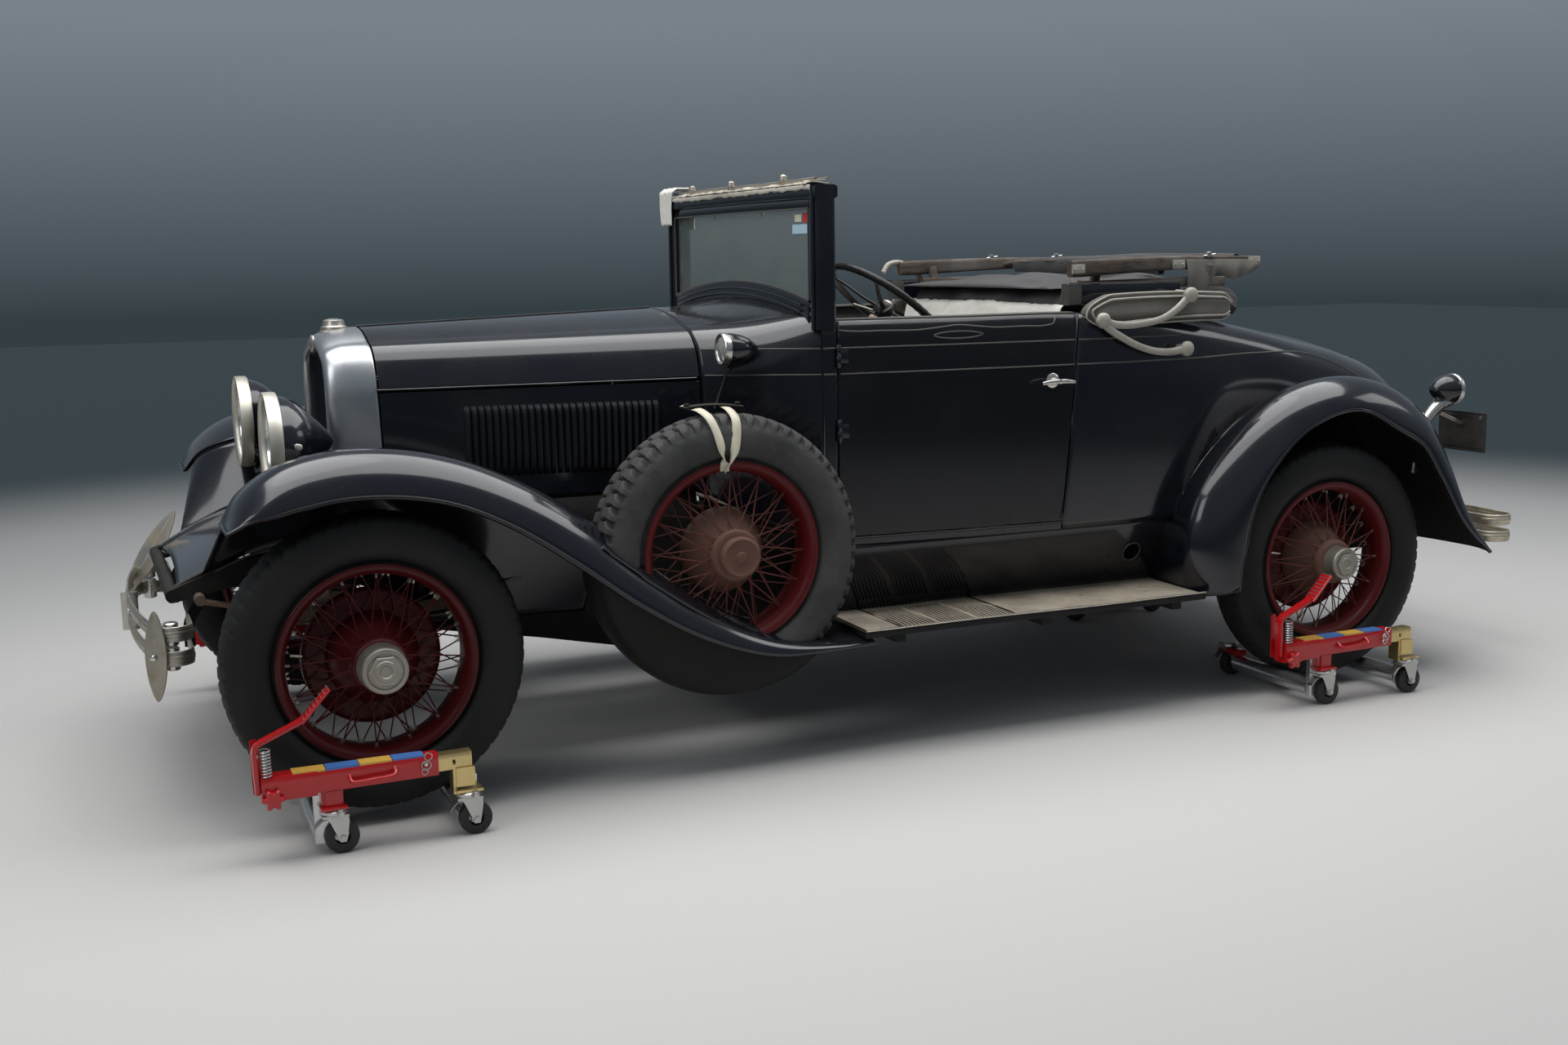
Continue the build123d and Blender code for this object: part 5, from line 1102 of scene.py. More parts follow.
def wheelPatches():
    rim = turnedPatch(((-65, 262), (-65, 270), (-62, 273), (-58, 272), (-56, 258), (-44, 252), (-16, 250),
            (0, 246), (16, 250), (44, 252), (56, 258), (58, 272), (62, 273), (65, 270), (65, 262), (58, 252),
            (44, 243), (14, 241), (0, 238), (-14, 241), (-44, 243), (-58, 252), (-65, 262)), (0, 0, 0), "y",
            96)
    hub = turnedPatch(((-48, 21), (-48, 108), (-44, 124), (-38, 128), (-28, 127), (-20, 122), (-4, 114),
            (18, 102), (40, 90), (58, 80), (66, 76), (84, 76), (92, 72), (96, 62), (96, 21)), (0, 0, 0), "y",
            64)
    rods, nipples = [], []
    for hubRadius, hubY, rimY, count, lean in spokes["rows"]:
        turn = 2 * pi * (np.arange(count) + 0.25 * (lean > 0)) / count
        rimTurn = turn + math.radians(lean)
        start = spread((hubRadius - 3) * cos(turn), np.full(count, hubY), (hubRadius - 3) * sin(turn))
        end = spread(243 * cos(rimTurn), np.full(count, rimY), 243 * sin(rimTurn))
        for a, b in zip(start, end):
            way = unit(b - a)
            up = (0, 1, 0.01)
            rods.append(tubePatch((a, b), spokes["radius"], 6, up))
            nipples.append(tubePatch((b - way * 15, b), 4.2, 6, up))
    cap = turnedPatch(((96, 0), (96, 66), (104, 67), (112, 64), (150, 64), (158, 63), (162, 60), (163, 50),
            (160, 46), (161, 34), (166, 32), (170, 28), (170, 18), (167, 15), (167, 0)), (0, 0, 0), "y", 60)
    a = np.radians(np.arange(6) * 60)
    hexagon = stack([44 * cos(a), 44 * sin(a)], 1)
    rows = array(((158, 1.0), (159, 1.03), (166, 1.03), (168, 0.96), (168.5, 0.6)))
    six = stack([spread(hexagon[:, 0] * k, np.full(6, y), hexagon[:, 1] * k) for y, k in rows])
    nut = sheetPatch(six, loopColumns=True, flip=True)
    valve = turnedAlong(((0, 0), (0, 4), (24, 4), (25, 3), (32, 3), (32, 0)), (226, 30, 40),
            (-0.9, 0.3, -0.1), 10)
    plain = turnedPatch(((96, 0), (96, 56), (104, 58), (110, 60), (124, 60), (129, 57), (131, 53), (129, 48),
            (126, 44), (127, 18), (133, 14), (134, 0)), (0, 0, 0), "y", 60)
    return rim, hub, joined(rods), joined(nipples), joined([cap, nut]), plain, valve


def placedWheel(patch, centre, side):
    points, faces = patch
    if side < 0:
        points = points * (-1, -1, 1)
    return points + np.asarray(centre, float), faces


def makeWheels():
    rim, hub, rods, nipples, cap, plain, valve = wheelPatches()
    tyre = sheetPatch(tyrePatch(4.2, 0.0, 480), loopRows=True)
    spareTyre = sheetPatch(tyrePatch(9.5, 0.5, 900), loopRows=True)
    drum = turnedPatch(((-71, 183), (-71, 190), (-66, 190), (-60, 186), (-56, 190), (-50, 190), (-46, 187),
            (-42, 178), (-40, 60), (-48, 60), (-48, 172), (-71, 183)), (0, 0, 0), "y", 72)
    wheels = [("front_left", 0, -1, "wheelRed"), ("front_right", 0, 1, "wheelRed"),
              ("rear_left", car["wheelbase"], -1, "wheelDusty"),
              ("rear_right", car["wheelbase"], 1, "wheelDusty")]
    for corner, x, side, finish in wheels:
        centre, body = (x, side * car["wheelY"], car["axleZ"]), "wheel_" + corner
        putPiece("rim_" + corner, placedWheel(rim, centre, side), finish, body, stands="wheel_" + corner,
                angle=50)
        putPiece("spokes_" + corner, placedWheel(rods, centre, side), "spokeDusty" if x else finish, body,
                angle=50)
        putPiece("hubShell_" + corner, placedWheel(hub, centre, side), "hubDusty" if x else finish, body,
                angle=50)
        putPiece("nipples_" + corner, placedWheel(joined([nipples, valve]), centre, side), "nickel", body)
        lid = (cap[0] * (0.86, 0.9, 0.86), cap[1]) if x else cap
        putPiece("hubCap_" + corner, placedWheel(lid, centre, side), "capPlate", body, angle=30)
        putPiece("drum_" + corner, placedWheel(drum, centre, side), finish, body, angle=40)
        putPiece("tread_" + corner, placedWheel(tyre, centre, side), "tyre", body, stands="tyre_" + corner,
                angle=45)
    spares, threads, tyres, shells = [], [], [], []
    for side in (-1, 1):
        centre = (car["spare"][0], side * car["spare"][1], car["spare"][2])
        spares.append(placedWheel(rim, centre, side))
        threads.append(placedWheel(joined([rods, nipples]), centre, side))
        tyres.append(placedWheel(spareTyre, centre, side))
        shells.append(placedWheel(joined([hub, plain]), centre, side))
    putPiece("spareRims", spares, "wheelDusty", stands="spare_wheels", angle=50)
    looks["spareTyre"] = treadShade()
    putPiece("spareTreads", tyres, "spareTyre", stands="spare_tyres", angle=45)
    putPiece("spareSpokes", threads, "spokeDusty", angle=50)
    putPiece("spareHubs", shells, "hubDusty", angle=40)
    arm = barPatch(((1028, 404, 560), (1028, 560, 610), (1028, 690, 664)), (60, 24, 5, 16), (1, 0, 0))
    plate = turnedPatch(((-64, 0), (-64, 70), (-50, 70), (-50, 0)), car["spare"], "y", 32)
    putPair("spareArms", [arm, plate], "frame")
    # Two straps in a V hold a flat bracket on the near spare: over the tread, down the side, under the rim
    straps = []
    axle = (1028, -735, 664)
    for route in (((948, -640, 1088), (952, -690, 1084), (956, -760, 1081), (964, -812, 1062),
            (978, -832, 1020), (990, -838, 970), (1000, -830, 938), (1006, -812, 908)),
            ((1040, -690, 1091), (1041, -730, 1087), (1041, -775, 1079), (1041, -818, 1056),
            (1036, -834, 1010), (1027, -838, 965), (1019, -830, 938), (1012, -812, 906))):
        middle = curveThrough(route, 60)
        across = unit(np.gradient(middle, axis=0))
        out = unit(middle - axle - across * np.sum((middle - axle) * across, 1, keepdims=True))
        across = unit(np.cross(across, out)) * 13
        rows = [middle + across + out * 1.5, middle + out * 2.5, middle - across + out * 1.5]
        straps.append(sheetPatch(stack(rows, 1)))
    putPiece("spareStraps", straps, "tape", thick=1.5, angle=70)
    bracket = barPatch(curveThrough(((920, -700, 1088), (960, -704, 1092), (1040, -714, 1093),
            (1100, -722, 1086)), 30), (46, 5, 5, 20))
    bolts = [turnedPatch(((1090, 9), (1098, 9), (1099, 7), (1100, 0)), (x, y, 0), "z", 12)
             for x, y in ((934, -702), (1086, -720))]
    putPiece("spareBracket", [bracket] + bolts, "frame", angle=40)
    print("wheels done")


radiator = {"frontX": -16, "rearX": 117, "bars": 27, "barStep": 16, "capX": 51}


# Outline of the radiator at x, from the right foot over the crown to the left foot, moved inwards by 'inset'
def radiatorOutline(x, inset):
    half = bodyPoint("radiator", x, linspace(0, 3, 60))[:, 1:]
    line = vstack([half, half[-2::-1] * (-1, 1)])
    along = unit(np.gradient(line, axis=0))
    return line + stack([-along[:, 1], along[:, 0]], 1) * inset


def makeRadiator():
    # Section of the shell, front edge rolled: (x, inset)
    section = ((44, 40), (20, 40), (2, 39), (-10, 36), (-16, 30), (-19, 22), (-18, 12), (-13, 5), (-4, 1),
            (12, 0), (40, 0), (80, 0), (110, 0), (117, 0.5), (120, 4))
    grid = stack([np.insert(radiatorOutline(clip(x, radiator["frontX"], radiator["rearX"]), inset), 0, x,
            axis=1) for x, inset in section])
    # its rear edge leans like the bonnet's front edge, square to the ridge
    grid[..., 0] += clip((grid[..., 0] - 40) / 60, 0, 1) * (ridge["z"] - grid[..., 2]) * ridge["slope"]
    rail = barPatch(((16, -246, 712), (16, 0, 708), (16, 246, 712)), (64, 30, 3.5, 20))
    putPiece("radiatorShell", [sheetPatch(grid, flip=True), rail], "shellPlate", stands="radiator_shell",
            thick=2.5, angle=60)
    bars = []
    for k in range(radiator["bars"]):
        y = -208 + k * radiator["barStep"]
        line = radiatorOutline(30, 38)
        top = interp(abs(y), line[59::-1, 0], line[59::-1, 1])
        bars.append(barPatch(((26, y, 722), (26, y, 980), (26, y, top + 4)), (6.2, 22, 2.2, 10), (1, 0, 0)))
    putPiece("grilleBars", bars, "fender", stands="radiator_grille")
    line = radiatorOutline(58, 24)
    core = stack([np.insert(line * (k, 1), 0, 58, axis=1) for k in (1, 0.02)])
    putPiece("radiatorCore", sheetPatch(core), "dark", slot="frame_black", thick=3)
    cap = turnedPatch(((1308, 0), (1308, 44), (1313, 44), (1316, 40), (1326, 39), (1329, 34), (1331, 33),
            (1345, 31), (1348, 26), (1351, 12), (1352, 0)), (radiator["capX"], 0, 0), "z", 48)
    putPiece("fillerCap", cap, "nickel", angle=40)
    badge = turnedPatch(((-22, 0), (-22, 21), (-20, 25), (-17, 27), (-12, 27)), (0, 0, 1276), "x", 40)
    putPiece("blankBadge", (badge[0] * (1, 1.25, 1), badge[1]), "nickel")
    print("radiator done")


headlamp = {"x": -200, "y": 375, "z": 1017, "r": 146, "barX": -145, "barZ": 862}


def makeLamps():
    r, centre = headlamp["r"], (headlamp["x"], headlamp["y"], headlamp["z"])
    shell = turnedPatch(((2, r - 6), (14, r - 4), (22, r - 9), (46, r - 16), (70, r - 27), (92, r - 45),
            (112, r - 66), (132, 60), (148, 43), (163, 26), (172, 14), (178, 0)), centre, "x", 64)
    rim = turnedPatch(((2, r - 20), (-8, r - 18), (-13, r - 12), (-16, r - 6), (-15, r - 1), (-11, r),
            (4, r + 0.5), (19, r), (22, r - 2), (23, r - 6)), centre, "x", 72)
    # Fluted lens: a shallow dome with upright flutes, 0.7 mm deep
    rings, steps = down(0, 1, 26), ringTurns(160)[None]
    reach = (r - 15) * rings
    y, z = reach * cos(steps), reach * sin(steps)
    x = -9 + 10 * rings ** 2.4 + 0.7 * cos(y / 2.6) * (rings > 0.1) * (rings < 0.97)
    lens = spread(x, y, z) + centre
    bowl = turnedPatch(((4, r - 17), (20, r - 24), (40, r - 48), (54, 62), (62, 30), (64, 0)), centre, "x",
            48, flip=True)
    bulb = turnedPatch(((8, 0), (10, 9), (18, 14), (30, 12), (44, 9), (60, 9)), centre, "x", 20)
    knob = turnedAlong(((-4, 0), (-4, 9), (3, 9), (5, 6), (12, 6), (14, 9), (20, 9), (22, 6), (22, 0)),
            array(centre) + (58, r - 24, 0), (0.25, 1, 0), 20)
    socket = turnedPatch(((846, 0), (846, 22), (856, 27), (868, 27), (878, 20), (890, 18), (902, 22),
            (912, 26)), (headlamp["barX"], headlamp["y"], 0), "z", 28)
    putPair("headlampShells", [shell, socket], "body", stands="headlamps", angle=40)
    putPair("headlampRims", [rim, knob], "lampRim", angle=40)
    putPair("headlampGlass", sheetPatch(lens, loopColumns=True, flip=True), "lens", stands="headlamp_lenses",
            angle=180)
    putPair("headlampBowls", [bowl, bulb], "mirrorGlass")
    # Cross bar: a tube with a dip in the middle and collars at its posts
    y = linspace(-484, 484, 90)
    thick = 1 + 0.25 * (exp(-((np.abs(y) - 375) / 16) ** 2) + exp(-((np.abs(y) - 470) / 12) ** 2))
    path = spread(headlamp["barX"], y, headlamp["barZ"] - 5 * cos(y / 375 * pi / 2) ** 2)
    putPiece("lampBar", tubePatch(path, 14.5, 16, (1, 0, 0), scale=thick), "nickel", slot="black_paint")
    cowlX, cowlY, cowlZ = 1108, 550, 1244
    bullet = turnedPatch(((2, 47), (16, 48), (24, 48), (44, 45), (62, 41), (82, 33), (100, 22), (112, 11),
            (118, 0)), (cowlX, cowlY, cowlZ), "x", 44)
    ring = turnedPatch(((0, 38), (-4, 41), (-6, 45), (-3, 49), (3, 50), (8, 48), (14, 49), (18, 47)),
            (cowlX, cowlY, cowlZ), "x", 48)
    dome = turnedPatch(((-9, 0), (-8, 14), (-5, 28), (0, 40)), (cowlX, cowlY, cowlZ), "x", 40)
    stalk = tubePatch(curveThrough(((1154, 436, 1172), (1154, 470, 1186), (1154, 520, 1204),
            (1154, 550, 1214)), 24), 9, 14, (1, 0, 0), scale=linspace(1.5, 0.9, 24))
    putPair("cowlLampBodies", [bullet, stalk], "body", stands="cowl_lamps", angle=50)
    putPair("cowlLampRims", ring, "brightNickel", angle=50)
    putPair("cowlLampGlass", dome, "lens", angle=180)
    conduit = curveThrough(((1122, 546, 1204), (1128, 520, 1160), (1122, 492, 1110), (1108, 478, 1060)), 30)
    putPair("lampConduits", tubePatch(conduit, 3.5, 10), "trimLine")
    print("lamps done")


screen = {"x": 1394, "half": 576, "foot": 1379, "crest": 1432, "top": 1660}


# Height of the arched lower edge: a circle through the feet and the crest
def screenFoot(y):
    rise = screen["crest"] - screen["foot"]
    big = (screen["half"] ** 2 + rise ** 2) / (2 * rise)
    return screen["crest"] - big + sqrt(big ** 2 - y ** 2)


def makeWindshield():
    front = 1379
    y = down(-594, 594, 100)
    u = over(0, 1, 10)
    top = screenFoot(clip(y, -576, 576))
    cowlTop = array([interp(abs(k), *bodyPoint("cowl", 1394, linspace(3, 1.0, 90))[:, 1:].T)
            for k in y[:, 0]])[:, None]
    z = (cowlTop - 12) * (1 - u) + top * u
    face = spread(front - 3 * (1 - u), y, z)
    sill = [sheetPatch(face, flip=True)]
    lip = spread(front + 8, y[:, 0], top[:, 0] + 1)
    sill.append(barPatch(lip, (22, 9, 3, 14)))
    frames = []
    for sign in (-1, 1):
        pillar = array(((1411, sign * 626, 1296), (1411, sign * 626, 1500), (1411, sign * 626, 1729.0)))
        frames.append(barPatch(pillar, (62, 66, 5, 24), (1, 0, 0)))
        rib = pillar + (-36, sign * 6, 0)
        frames.append(barPatch(rib, (18, 10, 3, 14), (1, 0, 0)))
        stop = pillar + (-10, -sign * 36, 0)
        frames.append(barPatch(stop, (8, 22, 4, 12), (1, 0, 0)))
    beam = array(((1411, -656, 1708), (1411, 0, 1710), (1411, 656, 1708.0)))
    frames.append(barPatch(beam, (76, 42, 6, 24)))
    lower = array(((1396, -592, 1676), (1396, 0, 1678), (1396, 592, 1676.0)))
    frames.append(barPatch(lower, (26, 34, 4, 18)))
    putPiece("screenFrame", frames, "body", stands="windshield_frame", angle=40)
    # Stepped mouldings that follow the arch below the glass
    for drop, x in ((-15, 1374), (-34, 1371)):
        arch = spread(x, y[:, 0], top[:, 0] + drop)
        sill.append(barPatch(arch[4:-4], (8, 6, 2.6, 14)))
    putPiece("screenSill", sill, "body", thick=3, angle=50)
    # Light line on the edge of each post and rail
    lines = []
    for sign in (-1, 1):
        lines.append(tubePatch(((1380, sign * 592, 1384), (1380, sign * 592, 1656)), 3.2, 8, (1, 0, 0)))
    lines.append(tubePatch(spread(1381, y[:, 0], top[:, 0] + 7), 3.2, 8, (1, 0, 0)))
    lines.append(tubePatch(((1381, -592, 1660), (1381, 0, 1661), (1381, 592, 1660)), 3.2, 8, (1, 0, 0)))
    putPiece("screenLines", lines, "trimLine")
    y = down(-screen["half"], screen["half"], 60)
    z = screenFoot(y) * (1 - over(0, 1, 30)) + screen["top"] * over(0, 1, 30)
    pane = spread(screen["x"], y, z)
    putPiece("screenGlass", sheetPatch(pane), "glass", stands="windshield_glass", thick=4)
    putPiece("redSticker", boxPatch((1389.4, -575, 1619), (1390, -532, 1648)), "redSticker")
    putPiece("paleSticker", boxPatch((1389.4, -562, 1586), (1390, -452, 1614)), "paleSticker")
    putPiece("paleLabel", boxPatch((1389.3, -520, 1622), (1389.9, -470, 1644)), "tape", slot="dusty_glass")
    # Torn padding on the header and its latches
    x = over(-40, 40, 16)
    y = down(-600, 600, 150)
    base = spread(1411 + x, y, 1731 + 5 * cos(x / 40 * pi / 2))
    wave = ripples(base, 90, 12)
    base[..., 2] += 4 * wave * cos(x / 40 * pi / 2) + 1.2 * ripples(base, 26, 3)
    base[..., 0] += 3.0 * ripples(base * (0, 1, 0), 60, 8)
    pad = putPiece("headerPadding", sheetPatch(base), "padCloth", thick=4, angle=180)
    # Torn pale strip along the front of the header, and two light rails and three knobs on top of it
    u = over(0, 1, 6)
    y = down(-630, 630, 220)
    torn = 14 + 2.2 * ripples(spread(0 * y[:, 0], y[:, 0], 0 * y[:, 0]), 70, 61)[:, None]
    strip = spread(1371.5 - 1.5 * sin(u * 3), y, 1729 - u * torn)
    putPiece("headerStrip", sheetPatch(strip, flip=True), "padCloth", thick=1.5, angle=180)
    rails = [tubePatch([(x, k, 1748 + 1.5 * math.sin(k / 160)) for k in linspace(-628, 628, 40)], 3.6, 10,
        (1, 0, 0)) for x in (1392, 1432)]
    rails += [turnedPatch(((1729, 9), (1750, 9), (1755, 13), (1765, 12), (1770, 5), (1771, 0)), (1392, k, 0),
            "z", 16) for k in (-380, 60, 430)]
    putPiece("headerRails", rails, "nickel")
    latches = []
    for yy in (-430, 0, 430):
        latches.append(boxPatch((1446, yy - 22, 1690), (1458, yy + 22, 1724)))
        latches.append(tubePatch(((1452, yy, 1694), (1476, yy, 1672), (1482, yy, 1650)), 6, 10, (0, 1, 0)))
    putPiece("headerLatches", latches, "nickel", bevel=2)
    print("windshield done")


def makeRags():
    # Rag over the far end of the header, hanging in folds on both faces
    v = down(0, 1, 70)
    u = over(-1, 1, 60)
    fold = 15 * sin(u * 7.5 + 1.2 * v) + 7 * sin(u * 15 + 3)
    drop = np.abs(v - 0.42) * 2
    away = clip(drop / 0.2, 0, 1)
    x = 1411 + np.where(v < 0.42, -1, 1) * (46 * away + fold * 0.35 * drop)
    y = 640 + 70 * u * (1 - 0.35 * drop) + 5 * sin(9 * v)
    z = 1768 - np.where(v < 0.42, 185, 150) * clip(drop - 0.12, 0, 1) + 3 * fold / 15
    grid = spread(x, y, z)
    grid[..., 1] = np.minimum(grid[..., 1], 712)
    rag = putPiece("cornerRag", sheetPatch(grid), "whiteCloth", thick=2, angle=180)


def makeDash():
    dashX, half = 1416, 592
    y = down(-half, half, 60)
    u = over(0, 1, 24)
    z = 1082 + (1290 + 28 * sqrt(clip(1 - (y / (half * 1.05)) ** 6, 0, 1)) - 1082) * u
    x = dashX + 22 + 6 * sin(u * pi) + 0 * y
    putPiece("dashPanel", sheetPatch(spread(x, y, z)), "dashPaint", stands="dashboard", thick=12, bevel=3)
    parts, faces = [], []
    for yy, zz, rr in ((-90, 1215, 46), (20, 1215, 46), (120, 1222, 30), (-190, 1222, 30)):
        parts.append(turnedPatch(((26, rr + 5), (32, rr + 5), (35, rr + 2), (33, rr - 2), (29, rr - 3)),
                (dashX, yy, zz), "x", 36, flip=True))
        faces.append(turnedPatch(((29, rr - 2), (30, 2), (30, 0)), (dashX, yy, zz), "x", 36, flip=True))
    for yy in (-140, -40, 70):
        parts.append(turnedPatch(((24, 0), (24, 6), (40, 6), (43, 12), (50, 12), (53, 8), (53, 0)),
                (dashX, yy, 1140), "x", 20, flip=True))
    putPiece("dashRings", parts, "nickel")
    putPiece("dashFaces", faces, "dial")
    rail = tubePatch(curveThrough(((1440, -590, 1292), (1440, -400, 1318), (1440, 0, 1322), (1440, 400, 1318),
            (1440, 590, 1292)), 60), 11, 14, (1, 0, 0))
    putPiece("dashRoll", rail, "blackTrim", slot="dash_wood")


wheelAt = {"centre": (1778, -330, 1352), "lean": 52, "wire": 12.5}


def makeSteering():
    lean = math.radians(wheelAt["lean"])
    axis = array((math.cos(lean), 0, math.sin(lean)))
    u, v = array((0, 1.0, 0)), np.cross(axis, (0, 1.0, 0))
    centre = array(wheelAt["centre"], float)
    turn = ringTurns(128)
    ring = centre + 215 * (cos(turn)[:, None] * u + sin(turn)[:, None] * v)
    grip = 1 + 0.06 * cos(turn * 48)
    rim = tubePatch(ring, wheelAt["wire"], 16, axis, scale=grip, loop=True)
    arms = []
    for k in range(4):
        a = math.radians(45 + 90 * k)
        way = math.cos(a) * u + math.sin(a) * v
        line = array([centre + way * d - axis * h for d, h in ((24, 16), (90, 12), (160, 3), (206, 0))])
        arms.append(barPatch(curveThrough(line, 20), (18, 8, 2.6, 14), axis, scale=linspace(1.25, 0.8, 20)))
    hub = turnedAlong(((-42, 0), (-42, 30), (-30, 34), (-4, 34), (2, 28), (6, 24), (10, 14), (11, 0)), centre,
            axis, 32)
    putPiece("steeringRim", [rim, hub] + arms, "horn", stands="steering_wheel", angle=50)
    centreCap = turnedAlong(((8, 20), (13, 17), (17, 9), (18, 0)), centre, axis, 24)
    putPiece("steeringCap", centreCap, "nickel")
    shaft = centre - axis * down(40, 830, 30)
    putPiece("steeringColumn", tubePatch(shaft, 20, 20, (0, 1, 0)), "fender", slot="black_plastic")
    # Laced gaiter round the column below the wheel: bellows folds and creases
    s = down(0, 1, 120)
    a = ringTurns(72)[None]
    radius = 25 + 11 * s ** 0.7 + 3.2 * sin(s * 48) * (0.5 + s)
    radius = radius + 3.5 * sin(3 * a + 5 * s) * s + 2.0 * sin(5 * a - 9 * s)
    place = centre - axis * (56 + 190 * s[..., None])
    grid = place + radius[..., None] * (cos(a)[..., None] * u + sin(a)[..., None] * v)
    putPiece("columnGaiter", sheetPatch(grid, loopColumns=True, flip=True), "gaiter", thick=2, angle=180)
    lever = [tubePatch(centre - axis * 30 + np.outer(linspace(0, 1, 10), way * 150), 4, 8, axis)
        for way in (u * 0.9 + v * 0.3, u * -0.9 + v * 0.3)]
    putPiece("columnLevers", lever, "nickel")
    stick = tubePatch(curveThrough(((1560, 0, 640), (1590, 0, 800), (1640, 0, 960), (1700, 0, 1090)), 40), 9,
            14, (0, 1, 0))
    knob = turnedAlong(((-16, 0), (-14, 14), (0, 22), (14, 20), (22, 8), (23, 0)), (1706, 0, 1102),
            (0.4, 0, 0.9), 24)
    putPiece("gearLever", stick, "nickel")
    putPiece("gearKnob", knob, "horn")
    print("cockpit done")


seat = {"crown": 14, "pleat": 6, "pleats": 11}


# Directions square to a section line (x, z) that point away from its middle
def outwardOf(line, tangent):
    outward = stack([-tangent[:, 1], tangent[:, 0]], 1)
    return outward * (-1 if ((line - line.mean(0)) * outward).sum() < 0 else 1)


# Padded block: a box whose faces crown and whose corners pull in; pleats run fore and aft
def paddedGrid(profile, half):
    line = curveThrough(profile, 90)
    s = over(-1, 1, 90)
    edge = clip((1 - np.abs(s)) / 0.06, 0, 1)
    pull = sqrt(1 - (1 - edge) ** 2)
    outward = unit(outwardOf(line, np.gradient(line, axis=0)))
    channel = -seat["pleat"] * exp(-((((s + 1) / 2 * seat["pleats"]) % 1 - 0.5) / 0.07) ** 2) * (edge > 0.99)
    lift = seat["crown"] * (pull - 1) * 1.6 + channel
    x = line[:, :1] + outward[:, :1] * lift
    z = line[:, 1:] + outward[:, 1:] * lift
    return spread(x, s * half, z)


# A tube of cloth or padding closed at both ends
def closedPad(grid):
    points, faces = sheetPatch(grid, loopRows=True)
    rows, columns = grid.shape[:2]
    ends = [[r * columns for r in range(rows)][::-1], [r * columns + columns - 1 for r in range(rows)]]
    return points, faces + ends


def makeSeats():
    cushion = ((1765, 650), (1748, 780), (1745, 900), (1762, 944), (1800, 956), (1980, 948), (2130, 934),
            (2225, 906), (2246, 860), (2246, 760), (2240, 650), (2000, 647))
    back = ((2268, 650), (2266, 800), (2270, 920), (2292, 1080), (2322, 1262), (2348, 1306), (2392, 1318),
            (2430, 1296), (2440, 1200), (2438, 900), (2436, 650), (2350, 647))
    base = putPiece("seatPad", closedPad(paddedGrid(cushion, 548)), "blackTrim", stands="seat_cushion",
            angle=180)
    rest = putPiece("backPad", closedPad(paddedGrid(back, 560)), "blackTrim", stands="seat_back", angle=180)
    # Sheet over the whole seat: up from the front of the cushion, along it, up the back and over its top
    route = curveThrough(((1742, 812), (1738, 900), (1762, 955), (1850, 965), (2010, 958), (2150, 944),
            (2236, 922), (2262, 950), (2284, 1060), (2300, 1200), (2304, 1296), (2318, 1336), (2370, 1344),
            (2430, 1326), (2452, 1250), (2454, 1150)), 190)
    s = over(-1, 1, 150)
    along = down(0, 1, 190)
    tangent = unit(np.gradient(route, axis=0))
    outward = stack([-tangent[:, 1], tangent[:, 0]], 1)
    y = s * (542 + 5 * sin(along * 23)) + 6 * sin(along * 9 + s * 2)
    at = spread(route[:, :1], y, route[:, 1:])
    crease = 1.5 * np.abs(ripples(at * (1, 2.4, 1), 260, 21)) ** 1.4
    small = 1.4 * ripples(at * (1, 1.8, 1), 90, 22)
    free = exp(-((along - 0.52) / 0.07) ** 2) * 9 + clip((0.09 - along) / 0.09, 0, 1) * 5
    swags = 6 * exp(-((along - 0.72 - 0.08 * cos(s * 3.1)) / 0.02) ** 2)
    swags = swags + 5 * exp(-((along - 0.32 + 0.10 * s) / 0.016) ** 2)
    lift = 3 + crease + small + free + swags
    at[..., 0] += outward[:, :1] * lift
    at[..., 2] += outward[:, 1:] * lift
    cover = putPiece("seatSheet", sheetPatch(at), "whiteCloth", thick=1.5, angle=180)
    print("seats done")


top = {"railA": (2308, 600, 1462), "railB": (3140, 505, 1478), "ironY": 712}


